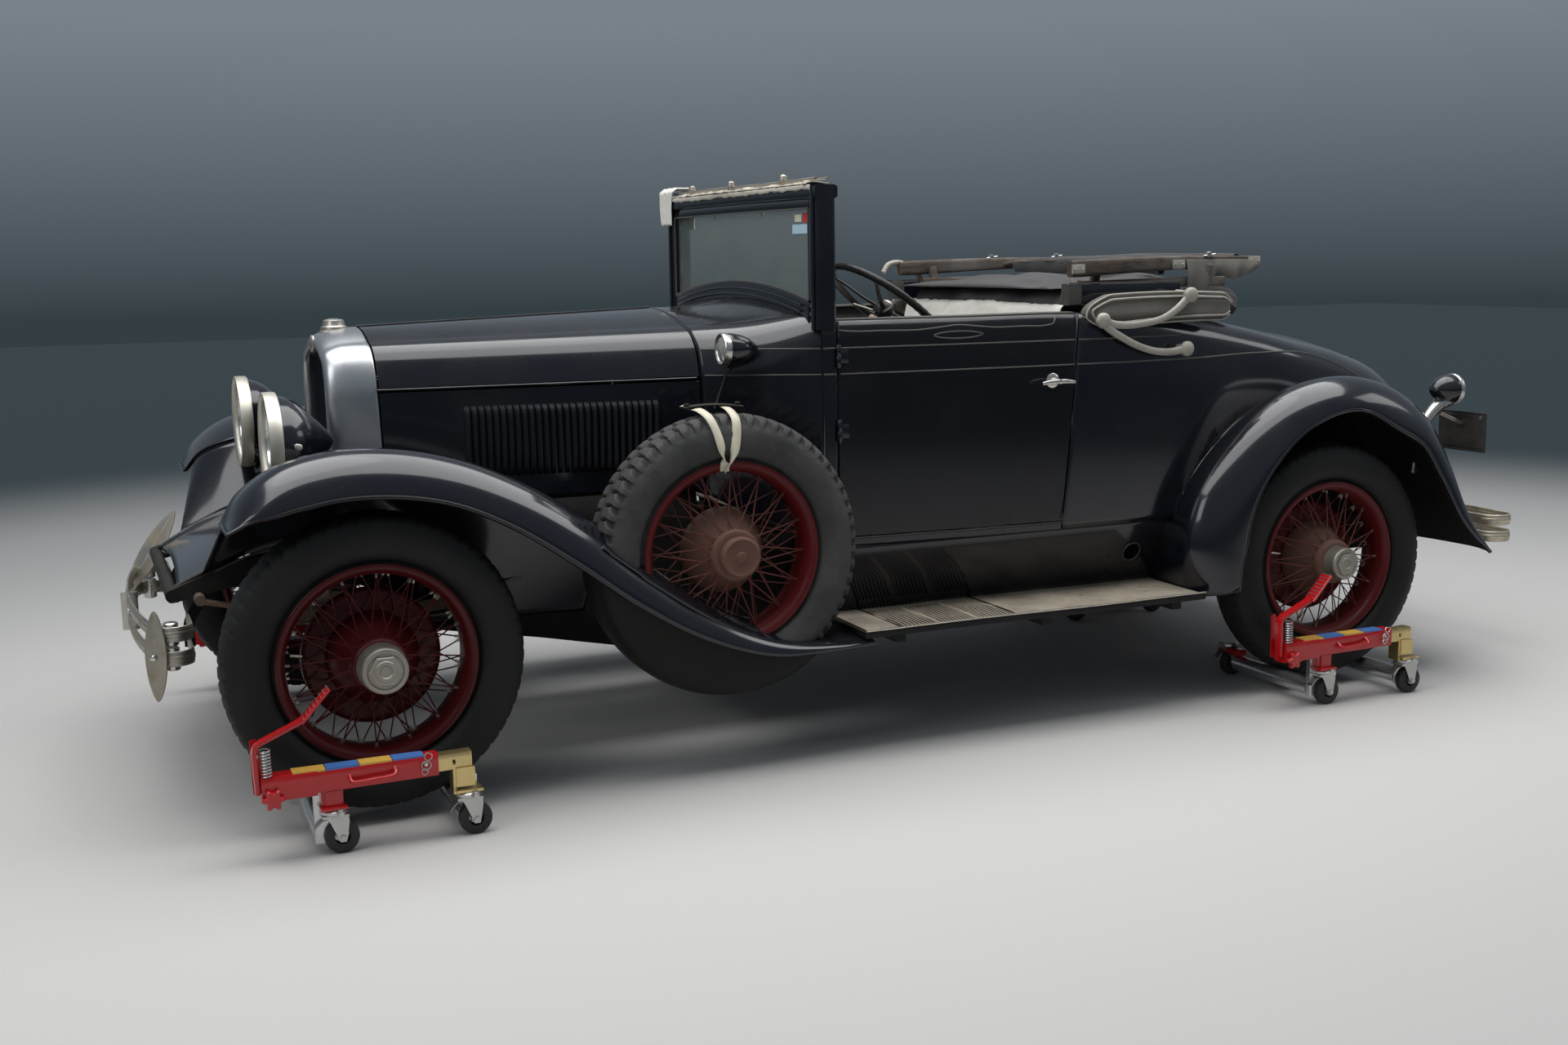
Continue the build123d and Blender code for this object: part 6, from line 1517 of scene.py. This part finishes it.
def makeTop():
    # Folded cloth: a long roll with layers; the section is a closed curve and folds run along it
    section = ((2336, 1336), (2340, 1366), (2362, 1384), (2420, 1392), (2540, 1396), (2700, 1398),
            (2860, 1396), (2960, 1392), (3022, 1378), (3052, 1344), (3044, 1302), (2960, 1298), (2790, 1318),
            (2620, 1326), (2450, 1330), (2360, 1326))
    line = curveThrough(section, 220, loop=True)
    s = over(-1, 1, 130)
    outward = outwardOf(line, unit(np.roll(line, -1, 0) - np.roll(line, 1, 0)))
    at = spread(line[:, :1], 545 * s, line[:, 1:])
    upper = clip((at[..., 2] - 1328) / 30, 0, 1)
    folds = 8 * ripples(at * (0.6, 1.6, 1), 420, 31)
    folds += 5 * np.abs(ripples(at * (1.2, 0.8, 1), 240, 32)) ** 1.3
    atRear = clip((at[..., 0] - 2820) / 120, 0, 1)
    layers = 3 * sin((at[..., 0] - 2336) / 36 + 0.6 * sin(at[..., 1] / 120)) * atRear
    lift = upper * (folds + layers) - 4 * clip(np.abs(s) - 0.94, 0, 1) / 0.06 * 6
    at[..., 0] += outward[:, :1] * lift
    at[..., 2] += outward[:, 1:] * lift
    deck = np.where(at[..., 0] < 2780, 1327.5, 1327.5 - (at[..., 0] - 2780) * 0.125)
    at[..., 2] = np.maximum(at[..., 2], deck)
    roll = putPiece("foldedCloth", closedPad(at), "topCloth", stands="top_fabric", angle=180)
    # Wide loose drape on top of the roll: long folds that fan out from the near front corner
    x = down(2296, 2980, 150)
    v = over(0, 1, 150)
    y = -500 + 1040 * v + 0 * x
    fan = np.arctan2(y + 620, x - 2150)
    rise = clip((x - 2296) / 110, 0, 1) * clip((2980 - x) / 120, 0, 1)
    rise = rise * clip(v / 0.12, 0, 1) * clip((1 - v) / 0.08, 0, 1)
    z = 1398 + rise ** 0.5 * (22 + 17 * sin(fan * 11 + x / 260) * sin(x / 95 + y / 300)
            + 9 * np.abs(sin(fan * 9 + x / 170)) ** 0.6)
    flap = spread(x + 6 * sin(v * 5 + x / 90), y, z)
    flap[..., 2] += rise * 2.5 * ripples(flap, 190, 41)
    loose = putPiece("looseDrape", sheetPatch(flap), "topCloth", thick=2.5, angle=180)
    # Rolled side of the cloth that bulges over the quarter, with piping along its rim
    x = linspace(2312, 2898, 110)
    t = (x - 2312) / 586
    tall = 58 * clip(t / 0.16, 0, 1) ** 0.5 * clip((1 - t) / 0.07, 0, 1) ** 0.5 * (1 - 0.22 * t)
    midZ = 1318 + 14 * sin(t * 2.6) + 4 * t
    turn = ringTurns(44)[None]
    across = 34 * clip(tall / 40, 0, 1)[:, None] * np.sign(cos(turn)) * np.abs(cos(turn)) ** 0.7
    crease = 2.6 * sin(5 * sin(turn) + x[:, None] / 160)
    roll = spread(x[:, None], 664 + across + crease * clip(cos(turn), 0, 1) * clip(tall / 40, 0, 1)[:, None],
            midZ[:, None] + tall[:, None] * sin(turn))
    side = putPair("sideRolls", sheetPatch(roll, loopColumns=True), "rollCloth", angle=180)
    edges = []
    for inset, out in ((2, 24), (17, 33)):
        k = tall > inset + 8
        upper = spread(x[k], 664 + out, midZ[k] + tall[k] - inset)
        loop = vstack([upper[::-1], spread(x[k], 664 + out, midZ[k] - tall[k] + inset)])
        edges.append(tubePatch(curveThrough(loop[::3], 150), 3.4, 8, (0, 1, 0)))
    putPair("rollPiping", edges, "ironPaint", slot="top_cloth", angle=180)
    # Side boards of the well above the quarter: dark boards with a light line along the top edge and an end
    # cap
    board = [barPatch(((2330, 618, 1381), (2722, 611, 1380)), (40, 66, 8, 20))]
    cap = [barPatch(((2278, 619, 1381), (2328, 618, 1381)), (43, 70, 8, 20)),
           barPatch(((2280, 640, 1417), (2722, 632, 1415)), (4, 5, 3, 10))]
    putPair("wellBoards", board, "body", angle=40)
    putPair("wellBoardCaps", cap, "trimLine", angle=40)
    # Loops of hem cloth over the rear bows
    for k, (x0, z0, half) in enumerate(((2760, 1476, 470), (2940, 1480, 450), (3110, 1484, 430))):
        a = down(-0.35 * pi, 1.35 * pi, 46)
        y = over(-half, half, 110)
        sag = 7 * sin(y / 120 + k)
        r = 17 + 2.5 * sin(y / 150 + k * 2) ** 2
        crown = 8 * (1 - (y / 520) ** 2) - 3
        xx = x0 + r * cos(a) + 0 * y
        low = clip(-sin(a), 0, 1)
        zz = z0 + crown + r * sin(a) - low * (22 + sag)
        band = spread(xx, y, zz)
        band[..., 0] += 2 * ripples(band, 160, 50 + k)
        strap = putPiece("bowCloth_%d" % k, sheetPatch(band, flip=True), "topCloth", thick=2, angle=180)
    # Wood rails: planks with rounded edges and ends, a slight bow, and brass plates at their ends
    rails = []
    a, b = array(top["railA"], float), array(top["railB"], float)
    t = down(0, 1, 40)
    line = a + (b - a) * t + sin(t * pi) * array((0, 2, 5))
    taper = (1 - 0.06 * exp(-(t[:, 0] / 0.03) ** 2)) * (1 - 0.42 * t[:, 0] ** 1.3)
    rails.append(barPatch(line, (34, 56, 5, 24), scale=taper))
    low = array([(x, 547, 1409 + 3 * math.sin(x / 200)) for x in linspace(2380, 2960, 40)])
    rails.append(barPatch(low, (29, 34, 5, 20)))
    for x in (2435, 2895):
        rails.append(barPatch(((x, 549, 1408), (x, 568 - (x - 2308) * 0.02, 1468)), (26, 30, 4, 16),
                (1, 0, 0)))
    putPair("woodRails", rails, "wood", stands="top_rails", angle=50)
    bows = []
    for x, z, half in ((2760, 1470, 552), (2940, 1474, 532), (3110, 1478, 512)):
        line = curveThrough(((x, -half, z), (x, -half + 40, z + 5), (x, -half + 130, z + 10), (x, 0, z + 12),
                (x, half - 130, z + 10), (x, half - 40, z + 5), (x, half, z)), 80)
        bows.append(barPatch(line, (36, 17, 3.2, 18)))
    putPiece("woodBows", bows, "woodAcross", angle=50)
    plates = []
    for x, y, z in ((2330, 620, 1462), (2760, 573, 1470), (3110, 530, 1477)):
        plates.append(barPatch(((x - 26, y, z), (x + 26, y - 6, z + 1)), (5, 30, 4, 14)))
        for step in (-16, 14):
            plates.append(turnedPatch(((y - 2, 0), (y + 3, 5), (y + 5, 4), (y + 6, 0)), (x + step, 0, z), "y",
                    14))
    putPair("railPlates", plates, "ironPaint")
    # Cloth that hangs from the near rail's rear half: deep by the iron's knob, shallow at the tip
    u = over(0, 1, 90)
    v = down(0, 1, 30)
    x = 2796 + 336 * u
    deep = interp(x, (2796, 2860, 2896, 2925, 3000, 3070, 3132), (96, 98, 80, 34, 46, 34, 12))
    y = -(607 - (x - 2308) * 0.114) - 8 - 7 * sin(x / 17 + 2 * v) * v - 10 * sin(v * 3.0)
    flap = spread(x - 16 * v * sin(u * 9), y, 1486 - 22 * v - deep * v - (x - 2796) * 0.012)
    hang = putPiece("rearFlap", sheetPatch(flap, flip=True), "rollCloth", thick=2.5, angle=180)
    # S-shaped irons: flat forged bars with eyes, and round knobs on their pins
    irons = []
    upper = ((2362, 1305), (2392, 1288), (2440, 1281), (2520, 1284), (2600, 1300), (2660, 1334), (2703, 1372))
    lower = ((2362, 1290), (2400, 1262), (2440, 1240), (2500, 1212), (2560, 1194), (2620, 1188), (2692, 1196))
    for route in (upper, lower):
        line = curveThrough([(x, top["ironY"], z) for x, z in route], 60)
        width = 1 - 0.15 * sin(linspace(0, pi, 60))
        irons.append(barPatch(line, (20, 27, 2.2, 20), scale=width))
    for x, z in ((2362, 1298), (2703, 1372), (2692, 1196)):
        irons.append(turnedPatch(((641, 0), (641, 17), (668, 15), (690, 13), (700, 14), (703, 20), (710, 25),
                (720, 25), (727, 18), (730, 8), (730.5, 0)), (x, 0, z), "y", 32))
    # Long handle on the far rail, and three small latches on top
    far = curveThrough(((2240, 604, 1448), (2262, 610, 1476), (2311, 612, 1486), (2368, 612, 1460),
            (2420, 608, 1412), (2452, 604, 1386)), 50)
    eye = turnedAlong(((-3, 0), (-3, 17), (4, 16), (6, 0)), (2452, 604, 1386), (0.6, 0.2, -0.7), 20)
    putPiece("farHandle", [tubePatch(far, 10, 14, (0, 1, 0)), eye], "ironPaint")
    latches = []
    for x, y in ((2985, 540), (2900, -545), (2700, 565)):
        latches += [turnedPatch(((1492, 7), (1500, 7), (1503, 12), (1509, 12), (1512, 5), (1512.5, 0)),
                                (x, y, 0), "z", 14),
                    barPatch(((x - 22, y, 1497), (x + 24, y - 4, 1503)), (13, 7, 3, 12))]
    putPiece("railLatches", latches, "brightNickel")
    putPair("forgedIrons", irons, "ironPaint", stands="top_irons", angle=50)
    print("folded top done")


def makeBumpers():
    # (arc middle x, arc end x, half width, loop x, height, z of each bar)
    sets = {"front": (-592, -548, 520, -452, 42, (536, 468)), "rear": (4262, 4222, 640, 4110, 40, (506, 444))}
    for name, (midX, endX, half, loopX, tall, heights) in sets.items():
        bars = []
        a = linspace(-1, 1, 70)
        face = stack([midX + (endX - midX) * a ** 2, half * a], 1)
        middleX, r = (endX + loopX) / 2, abs(loopX - endX) / 2
        turn = linspace(0, pi, 26)[1:]
        sign = 1 if endX < loopX else -1
        curl = stack([middleX - sign * r * cos(turn), half + r * sin(turn)], 1)
        back = stack([np.full(16, loopX), linspace(half, 352, 17)[1:]], 1)
        full = vstack([(back * (1, -1))[::-1], (curl * (1, -1))[::-1], face, curl, back])
        for z in heights:
            path = np.insert(full, 2, z, axis=1)
            bars.append(barPatch(path, (8, tall, 4, 18)))
            bars.append(barPatch(path[16:-16], (11, tall * 0.45, 3, 14)))
        look = "bumperPlate" if name == "front" else "creamBar"
        putPiece(name + "Bars", bars, look, stands=name + "_bumper", angle=50)
    # Arms inside the rails
    front = curveThrough(((-304, 340, 656), (-400, 340, 590), (-446, 340, 520), (-448, 340, 450)), 40)
    rear = curveThrough(((4018, 340, 612), (4070, 340, 545), (4102, 340, 500), (4106, 340, 428)), 40)
    arms = [barPatch(line * (1, sign, 1), (9, width, 4, 14), (1, 0, 0))
            for sign in (-1, 1) for line, width in ((front, 30), (rear, 26))]
    putPiece("bumperArms", arms, "frame")
    # Leaf-shaped uprights: half width = 34 (sin pi t)^0.62 with a raised spine and a bolt
    leaves, bolts = [], []
    # low end, high end, direction of the face: the near one stands by the curl, the far one has swung over
    near = ((-553, -556, 352), (-549, -562, 604), (-0.64, -0.77, 0))
    for low, high, out in (near, ((-584, 486, 466), (-420, 476, 728), (-0.45, -0.85, 0.3))):
        low, high = array(low, float), array(high, float)
        t = linspace(0.004, 0.996, 60)[:, None, None]
        u = linspace(-1, 1, 21)[None, :, None]
        rise = unit(high - low)
        out = unit(array(out) - rise * (array(out) @ rise))
        half = 34 * sin(pi * t) ** 0.62
        spine = 7 * (1 - np.abs(u)) ** 1.2 * sin(pi * t) ** 0.5
        face = low + (high - low) * t + np.cross(rise, out) * u * half + out * spine
        rear = low + (high - low) * t + np.cross(rise, out) * u * half - out * 4
        leaves.append(sheetPatch(np.concatenate([face, rear[:, ::-1]], 1), loopColumns=True, flip=True))
        pivot = (low + high) / 2 if low[1] < 0 else low + rise * 32
        bolts.append(turnedAlong(((-2, 10), (8, 10), (14, 9), (17, 5), (18, 0)), pivot, out, 20))
    clamp = barPatch(((-590, 0, 446), (-590, 0, 559)), (48, 14, 4, 18), (0, 1, 0))
    bolts.append(turnedPatch(((-603, 0), (-602, 7), (-598, 11), (-594, 12)), (0, 0, 502), "x", 20))
    # Rolled eyes at the curls, one above the other on each bar
    for x, y in ((-508, -548), (-508, 548)):
        for z in (468, 536):
            bolts.append(turnedPatch(((z - 33, 0), (z - 33, 16), (z - 30, 20), (z + 28, 20), (z + 31, 16),
                    (z + 31, 0)), (x, y, 0), "z", 28))
    putPiece("bumperLeaves", leaves, "bumperPlate", angle=60)
    # Cover over each frame horn, dished towards the middle, with a rolled double edge
    edge = curveThrough(((-478, 372, 632), (-400, 392, 672), (-275, 404, 724), (-150, 408, 752),
            (-30, 404, 766)), 60)
    s = linspace(0, 1, 24)[None, :, None]
    wide = array((0, -26, 0)) - clip((edge[:, :1] + 478) / 180, 0, 1) * array((0, 96, 0))
    pan = edge[:, None] + wide[:, None] * s + array((0, 0, -34)) * s ** 2
    putPair("hornCovers", sheetPatch(pan), "fender", thick=3, angle=60)
    # Splash apron between the horns: its front edge curves back, its height follows the horn covers
    y = down(-368, 368, 60)
    u = over(0, 1, 24)
    x = -476 + 12 * (1 - (y / 368) ** 2) * (1 - u) + 446 * u
    pan = spread(x, y, interp(x, edge[:, 0], edge[:, 2]) - 4 + 16 * (1 - (y / 368) ** 2))
    putPiece("splashPan", sheetPatch(pan, flip=True), "fender", thick=3, angle=60)
    rolls = [tubePatch(edge, 5, 10), tubePatch(edge + (4, 2, -14), 3.5, 8)]
    putPair("splashPanEdges", rolls, "trimLine")
    putPiece("bumperBolts", bolts + [clamp], "brightNickel")
    print("bumpers done")


tail = {"x": 3970, "y": 620, "z": 1000}


def makeTailLamps():
    y0 = tail["y"]
    centre = (tail["x"], y0, tail["z"])
    shell = turnedPatch(((-116, 0), (-112, 15), (-98, 32), (-76, 45), (-50, 52), (-30, 54), (-20, 54)),
            centre, "x", 48)
    rim = turnedPatch(((-26, 53), (-22, 56), (-10, 56), (-4, 52), (2, 46), (3, 41), (-2, 39)), centre, "x",
            48)
    lens = turnedPatch(((-2, 39), (1, 30), (3, 18), (4, 0)), centre, "x", 40)
    stalk = tubePatch(curveThrough(((3780, y0, 700), (3800, y0, 800), (3845, y0, 905), (3885, y0, 940),
            (3935, y0, 962)), 50), 14, 20, (0, 1, 0), scale=1 + 0.9 * linspace(0, 1, 50) ** 2)
    putPair("tailShells", shell, "body", stands="tail_lamps", angle=60)
    putPair("tailRims", [rim, stalk], "brightNickel", angle=60)
    putPair("tailGlass", lens, "rubyGlass", angle=180)
    y = down(-734, -508, 60)
    z = over(770, 914, 36)
    edgeY, edgeZ = np.minimum(np.abs(y + 734), np.abs(y + 508)), np.minimum(np.abs(z - 770), np.abs(z - 914))
    edge = np.minimum(edgeY, edgeZ)
    x = 4008.5 + 2.2 * exp(-((edge - 7) / 3) ** 2) + 0.8 * sin(y / 44) * sin(z / 30)
    putPiece("blankPlate", sheetPatch(spread(x, y, z), flip=True), "plateBlack", thick=2)
    rod = [tubePatch(((3898, -y0, 914), (4009, -y0, 870)), 7, 12, (0, 1, 0))]
    for yy in (-709, -531):
        rod.append(turnedPatch(((4004, 0), (4004, 7), (4012, 8), (4014, 6), (4015, 0)), (0, yy, 895), "x",
                18))
    putPiece("plateRod", rod, "nickel")
    print("tail lamps done")


dolly = {"beamY": 965, "rollerX": 190, "roller": 28, "clear": 0.3, "caster": 45}


def makeDollies():
    reach = car["tyreRadius"] + dolly["roller"] + dolly["clear"]
    rollerZ = car["axleZ"] - math.sqrt(reach ** 2 - dolly["rollerX"] ** 2)
    spots = [(0, -1, "knuckle_left", "dolly_frame_front_left", "dolly_gear_front_left"),
             (0, 1, "knuckle_right", "dolly_frame_front_right", "dolly_gear_front_right"),
             (car["wheelbase"], -1, "car", "rear_dolly_frames", "rear_dolly_gear"),
             (car["wheelbase"], 1, "car", None, None)]
    for number, (x, side, body, frameNode, gearNode) in enumerate(spots):
        def placed(patches):
            points, faces = joined(patches)
            points = points + (x, 0, 0)
            return (points, faces) if side > 0 else mirroredPatch((points, faces))

        y = dolly["beamY"]
        beam = barPatch(((-340, y, 200), (-338, y, 200), (104, y, 206), (108, y, 206)), (54, 60, 9, 28))
        sleeve = barPatch(((-342, y, 198), (-340, y, 198), (-206, y, 200), (-204, y, 200)), (60, 68, 9, 28))
        bend = ((-350, 186), (-354, 296), (-349, 312), (-336, 320), (-238, 362), (-226, 370))
        lever = barPatch([(dx, y + 4, z) for dx, z in bend], (13, 30, 7, 18), (0, 1, 0))
        pedal = barPatch(((-232, y + 4, 362), (-160, y + 4, 442)), (48, 9, 8, 18), (0.1, 0, 1))
        grips = [barPatch([(-228 + 9.2 * k, y + end, 373 + 10.2 * k) for end in (-16, 24)], (3.4, 3.4, 2, 8))
                 for k in range(8)]
        outline = ((-358, 176), (-330, 174), (-326, 232), (-344, 322), (-360, 318))
        cheek = [platePatch([(dx, y - 31, z) for dx, z in outline], (0, 4, 0)),
                 boxPatch((-196, y - 24, 116), (-140, y + 16, 172)),
                 boxPatch((-200, y - 8, 124), (-132, y + 36, 131)),
                 boxPatch((-186, y + 14, 130), (-146, y + 20, 172))]
        handle = tubePatch(curveThrough(((-122, y + 24, 210), (-121, y + 40, 200), (-116, y + 46, 196),
                (-104, y + 47, 195), (-64, y + 47, 197), (-24, y + 47, 199), (-12, y + 46, 201),
                (-7, y + 40, 206), (-6, y + 24, 216)), 80), 5.5, 12, (0, 0.2, 1))
        star = []
        a = ringTurns(60)
        r = 24 + 5 * cos(6 * a)
        for depth, k in ((0, 0.92), (3, 1.0), (15, 1.0), (19, 0.85), (20, 0.3), (20, 0.01)):
            star.append(spread(-316 + r * k * cos(a), np.full(60, y + 30 + depth), 176 + r * k * sin(a)))
        knob = sheetPatch(stack(star), loopColumns=True)
        red = putPiece("dollyBeam_%d" % number, placed([beam, sleeve, lever, pedal] + cheek), "dollyRed",
                body, angle=40)
        putPiece("dollyKnob_%d" % number, placed([knob, handle]), "dollyRed", body, angle=40)
        # Return spring: a helix with 9 turns between the beam and the lever
        a = linspace(0, 9 * 2 * pi, 220)
        t = a / a[-1]
        axis0, axis1 = array((-326, y + 20, 234)), array((-328, y + 20, 306))
        w = unit(axis1 - axis0)
        side1 = unit(np.cross(w, (0, 1, 0)))
        coil = axis0 + (axis1 - axis0) * t[:, None] + 12 * (cos(a)[:, None] * side1
                + sin(a)[:, None] * array((0, 1, 0)))
        spring = tubePatch(coil, 2.2, 6, (0, 0, 1))
        pin = tubePatch(((74, y - 34, 214), (74, y + 36, 214)), 5, 12, (1, 0, 0))
        links = [turnedPatch(((y + 9, 0), (y + 9, 7), (y + 13, 6), (y + 14, 0)), (x, 0, z), "y", 12)
                 for x, z in ((-350, 286), (-352, 246), (-350, 192))]
        loop = ringTurns(24)
        for cx, cz, r in ((74, 212, 12), (80, 236, 10), (70, 196, 8)):
            ring = spread(cx + r * cos(loop), y + 38 + 2 * sin(loop * 2), cz + r * sin(loop))
            links.append(tubePatch(ring, 1.6, 6, (0.1, 1, 0.2), loop=True))
        putPiece("dollySpring_%d" % number, placed([spring, pin] + links + grips), "zinc", body)
        bracket = [barPatch(((96, y, 207), (98, y, 207), (196, y, 209), (198, y, 209)), (44, 46, 9, 28)),
                   boxPatch((146, y - 24, 118), (154, y + 22, 214)),
                   boxPatch((154, y + 20, 138), (204, y + 26, 190)),
                   boxPatch((150, y - 8, 124), (222, y + 40, 131))]
        gold = putPiece("dollyBracket_%d" % number, placed(bracket), "goldZinc", body, angle=40)
        # Four marking strips along the top of the beam, in turn yellow and blue
        for k, (x0, x1) in enumerate(((-264, -182), (-180, -97), (-95, -12), (-10, 72))):
            strip = boxPatch((x0, y - 20, 230), (x1, y + 25, 235.6 + 0.6 * k))
            putPiece("dollyStrip%d_%d" % (k, number), placed([strip]),
                     "stripBlue" if k % 2 else "stripYellow", body)
        gear = []
        for offset in (-dolly["rollerX"], dolly["rollerX"]):
            gear.append(turnedPatch(((560, 0), (560, 27), (563, 28), (940, 28), (944, 27), (944, 0)),
                    (offset, 0, rollerZ), "y", 36))
            topZ = 168 if offset < 0 else 160
            corners = ((-24, rollerZ - 26), (24, rollerZ - 26), (24, topZ), (-24, topZ))
            gear.append(platePatch([(offset + dx, 946, z) for dx, z in corners], (0, 18, 0)))
        putPiece("dollyRollers_%d" % number, placed(gear), "steel", body, angle=40)
        feet = [barPatch(((offset, 480, 94), (offset, 578, 94)), (46, 24, 5, 18))
                for offset in (-dolly["rollerX"], dolly["rollerX"])]
        putPiece("dollyFeet_%d" % number, placed(feet), "dollyRed", body)
        tyres, forks = [], []
        for cx, cy, stem in ((-165, 968, True), (185, 975, True), (-190, 505, False), (190, 505, False)):
            at = (cx + 18, cy, dolly["caster"])
            tyres.append(turnedPatch(((-15, 20), (-15, 40), (-12, 44), (-6, 45), (6, 45), (12, 44), (15, 40),
                    (15, 20)), at, "y", 40))
            forks.append(turnedPatch(((-15.4, 0), (-15.4, 13), (-12, 12), (12, 12), (15.4, 13), (15.4, 0)),
                    at, "y", 24))
            for yy in (-1, 1):
                outline = ((-26, 108), (34, 108), (36, 88), (30, 52), (26, 34), (10, 34), (2, 56), (-14, 92))
                plate = [(cx + dx, cy + yy * 21, z) for dx, z in outline]
                forks.append(platePatch(plate, (0, yy * 3, 0)))
                forks.append(turnedPatch(((yy * 24, 0), (yy * 24, 9), (yy * 29, 8), (yy * 30, 0)), at, "y",
                        12, flip=yy < 0))
            forks.append(boxPatch((cx - 32, cy - 26, 101), (cx + 36, cy + 26, 108)))
            forks.append(turnedPatch(((107, 0), (107, 30), (110, 34), (118, 34), (122, 30), (122, 0)),
                    (cx, cy, 0), "z", 36))
            if stem:
                forks.append(turnedPatch(((113, 12), (120, 12), (121, 8), (126, 8), (127, 0)),
                        (cx + 14, cy + 34, 0), "z", 6))
            brake = curveThrough(((cx - 8, cy, 96), (cx - 30, cy, 92), (cx - 46, cy, 78), (cx - 52, cy, 70)),
                    16)
            forks.append(barPatch(brake, (3.5, 26, 4, 12), (0, 1, 0)))
        putPiece("casterTyres_%d" % number, placed(tyres), "blackRubber", body, angle=40)
        putPiece("casterForks_%d" % number, placed(forks), "zinc", body, angle=40)
        if frameNode:
            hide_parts(frameNode)
            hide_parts(gearNode)
    print("dollies done")


# CAD nodes whose shape is right keep it, and take a finish
def dressNodes():
    keeps = {"frame": ("chassis_frame", "tie_rod", "fuel_tank"), "iron": ("engine_block",),
             "rust": ("leaf_springs", "front_axle", "knuckle_left", "knuckle_right", "rear_axle", "exhaust")}
    for name, look in ((name, look) for look, names in keeps.items() for name in names):
        for piece in bpy.context.scene.objects:
            if piece.type == "MESH" and (piece.name == name or piece.name.startswith(name + ".")):
                for slot in piece.material_slots:
                    slot.material = looks[look]
    print("carried nodes dressed")


view = {"place": (-0.7379, -5.2647, 1.5227), "yaw": 0.4086, "pitch": 0.1589, "roll": -0.0154, "lens": 38.3676,
        "lowSky": (0.034, 0.049, 0.057), "highSky": (0.19, 0.22, 0.255), "floor": (0.50, 0.488, 0.47)}


def makeStage():
    yaw, pitch, roll = view["yaw"], view["pitch"], view["roll"]
    forward = array((math.sin(yaw) * math.cos(pitch), math.cos(yaw) * math.cos(pitch), -math.sin(pitch)))
    right = array((math.cos(yaw), -math.sin(yaw), 0))
    up = np.cross(right, forward)
    right, up = right * math.cos(roll) + up * math.sin(roll), up * math.cos(roll) - right * math.sin(roll)
    lens = bpy.data.cameras.new("photoCamera")
    lens.lens, lens.sensor_width = view["lens"], 36
    camera = bpy.data.objects.new("photoCamera", lens)
    bpy.context.scene.collection.objects.link(camera)
    rows = np.column_stack([right, up, -forward])
    place = array(view["place"]) + (car["axleX"] / 1000, 0, 0)
    matrix = [list(rows[k]) + [place[k]] for k in range(3)] + [[0, 0, 0, 1]]
    camera.matrix_world = Matrix(matrix)
    bpy.context.scene.camera = camera

    size = 30000
    ground = array([[(-size, -size, 0), (-size, size, 0)], [(size, -size, 0), (size, size, 0)]], float)
    mesh = bpy.data.meshes.new("ground")
    mesh.from_pydata((ground.reshape(-1, 3) / 1000).tolist(), [], [[0, 2, 3, 1]])
    floor = bpy.data.objects.new("ground", mesh)
    bpy.context.scene.collection.objects.link(floor)
    material = bpy.data.materials.new("paleFloor")
    material.use_nodes = True
    shader = material.node_tree.nodes["Principled BSDF"]
    # plain pale floor that fades to the grey of the surroundings beyond five metres
    tree = material.node_tree
    wire = Wire(tree, None).make("ShaderNodeTexCoord", None, 3)
    away = wire.make("ShaderNodeVectorMath", {"operation": "LENGTH"}, 1, i0=wire).between(5.4, 8.6)
    fade = away * away * (3 - 2 * away)
    tree.links.new(fade.tint(view["floor"], (0, 0, 0)).socket, shader.inputs["Base Color"])
    tree.links.new(fade.tint((0, 0, 0), view["lowSky"]).socket, shader.inputs["Emission Color"])
    shader.inputs["Emission Strength"].default_value = 1
    shader.inputs["Roughness"].default_value = 0.8
    shader.inputs["Specular IOR Level"].default_value = 0.1
    mesh.materials.append(material)

    world = bpy.data.worlds.new("studio")
    bpy.context.scene.world = world
    world.use_nodes = True
    tree = world.node_tree
    sky = tree.nodes["Background"]
    height = Wire(tree, None).make("ShaderNodeTexCoord", None, 0).part("Z").between(-0.03, 0.13)
    tree.links.new(height.tint(view["lowSky"], view["highSky"]).socket, sky.inputs["Color"])
    sky.inputs["Strength"].default_value = 1.0

    # A very wide sun lights the floor evenly; long lamps overhead give the paint its highlights
    sun = bpy.data.lights.new("evenSun", "SUN")
    sun.energy, sun.angle = 0.4, math.radians(40)
    high = bpy.data.objects.new("evenSun", sun)
    high.rotation_euler = (math.radians(-12), math.radians(-6), 0)
    bpy.context.scene.collection.objects.link(high)
    lamps = (("overhead", (-0.1, -0.45, 4.4), (-0.1, -0.45, 0.0), 8.0, 4.0, 350),
             ("front", (-5.2, -2.6, 3.4), (-1.2, 0, 0.8), 1.6, 2.2, 34),
             ("rear", (5.6, -2.4, 3.4), (1.6, 0, 0.8), 2.2, 1.4, 20))
    for name, place, aim, width, height, power in lamps:
        data = bpy.data.lights.new(name, "AREA")
        data.shape, data.size, data.size_y, data.energy = "RECTANGLE", width, height, power
        lamp = bpy.data.objects.new(name, data)
        bpy.context.scene.collection.objects.link(lamp)
        lamp.location = place
        lamp.rotation_euler = (Vector(aim) - Vector(place)).to_track_quat("-Z", "Y").to_euler()
    bpy.context.scene.view_settings.view_transform = "Standard"
    print("stage done")


makeBonnet()
makeBody()
makeFenders()
makeBoards()
makeWheels()
makeRadiator()
makeLamps()
makeWindshield()
makeRags()
makeDash()
makeSteering()
makeSeats()
makeTop()
makeBumpers()
makeTailLamps()
makeDollies()
dressNodes()
makeStage()
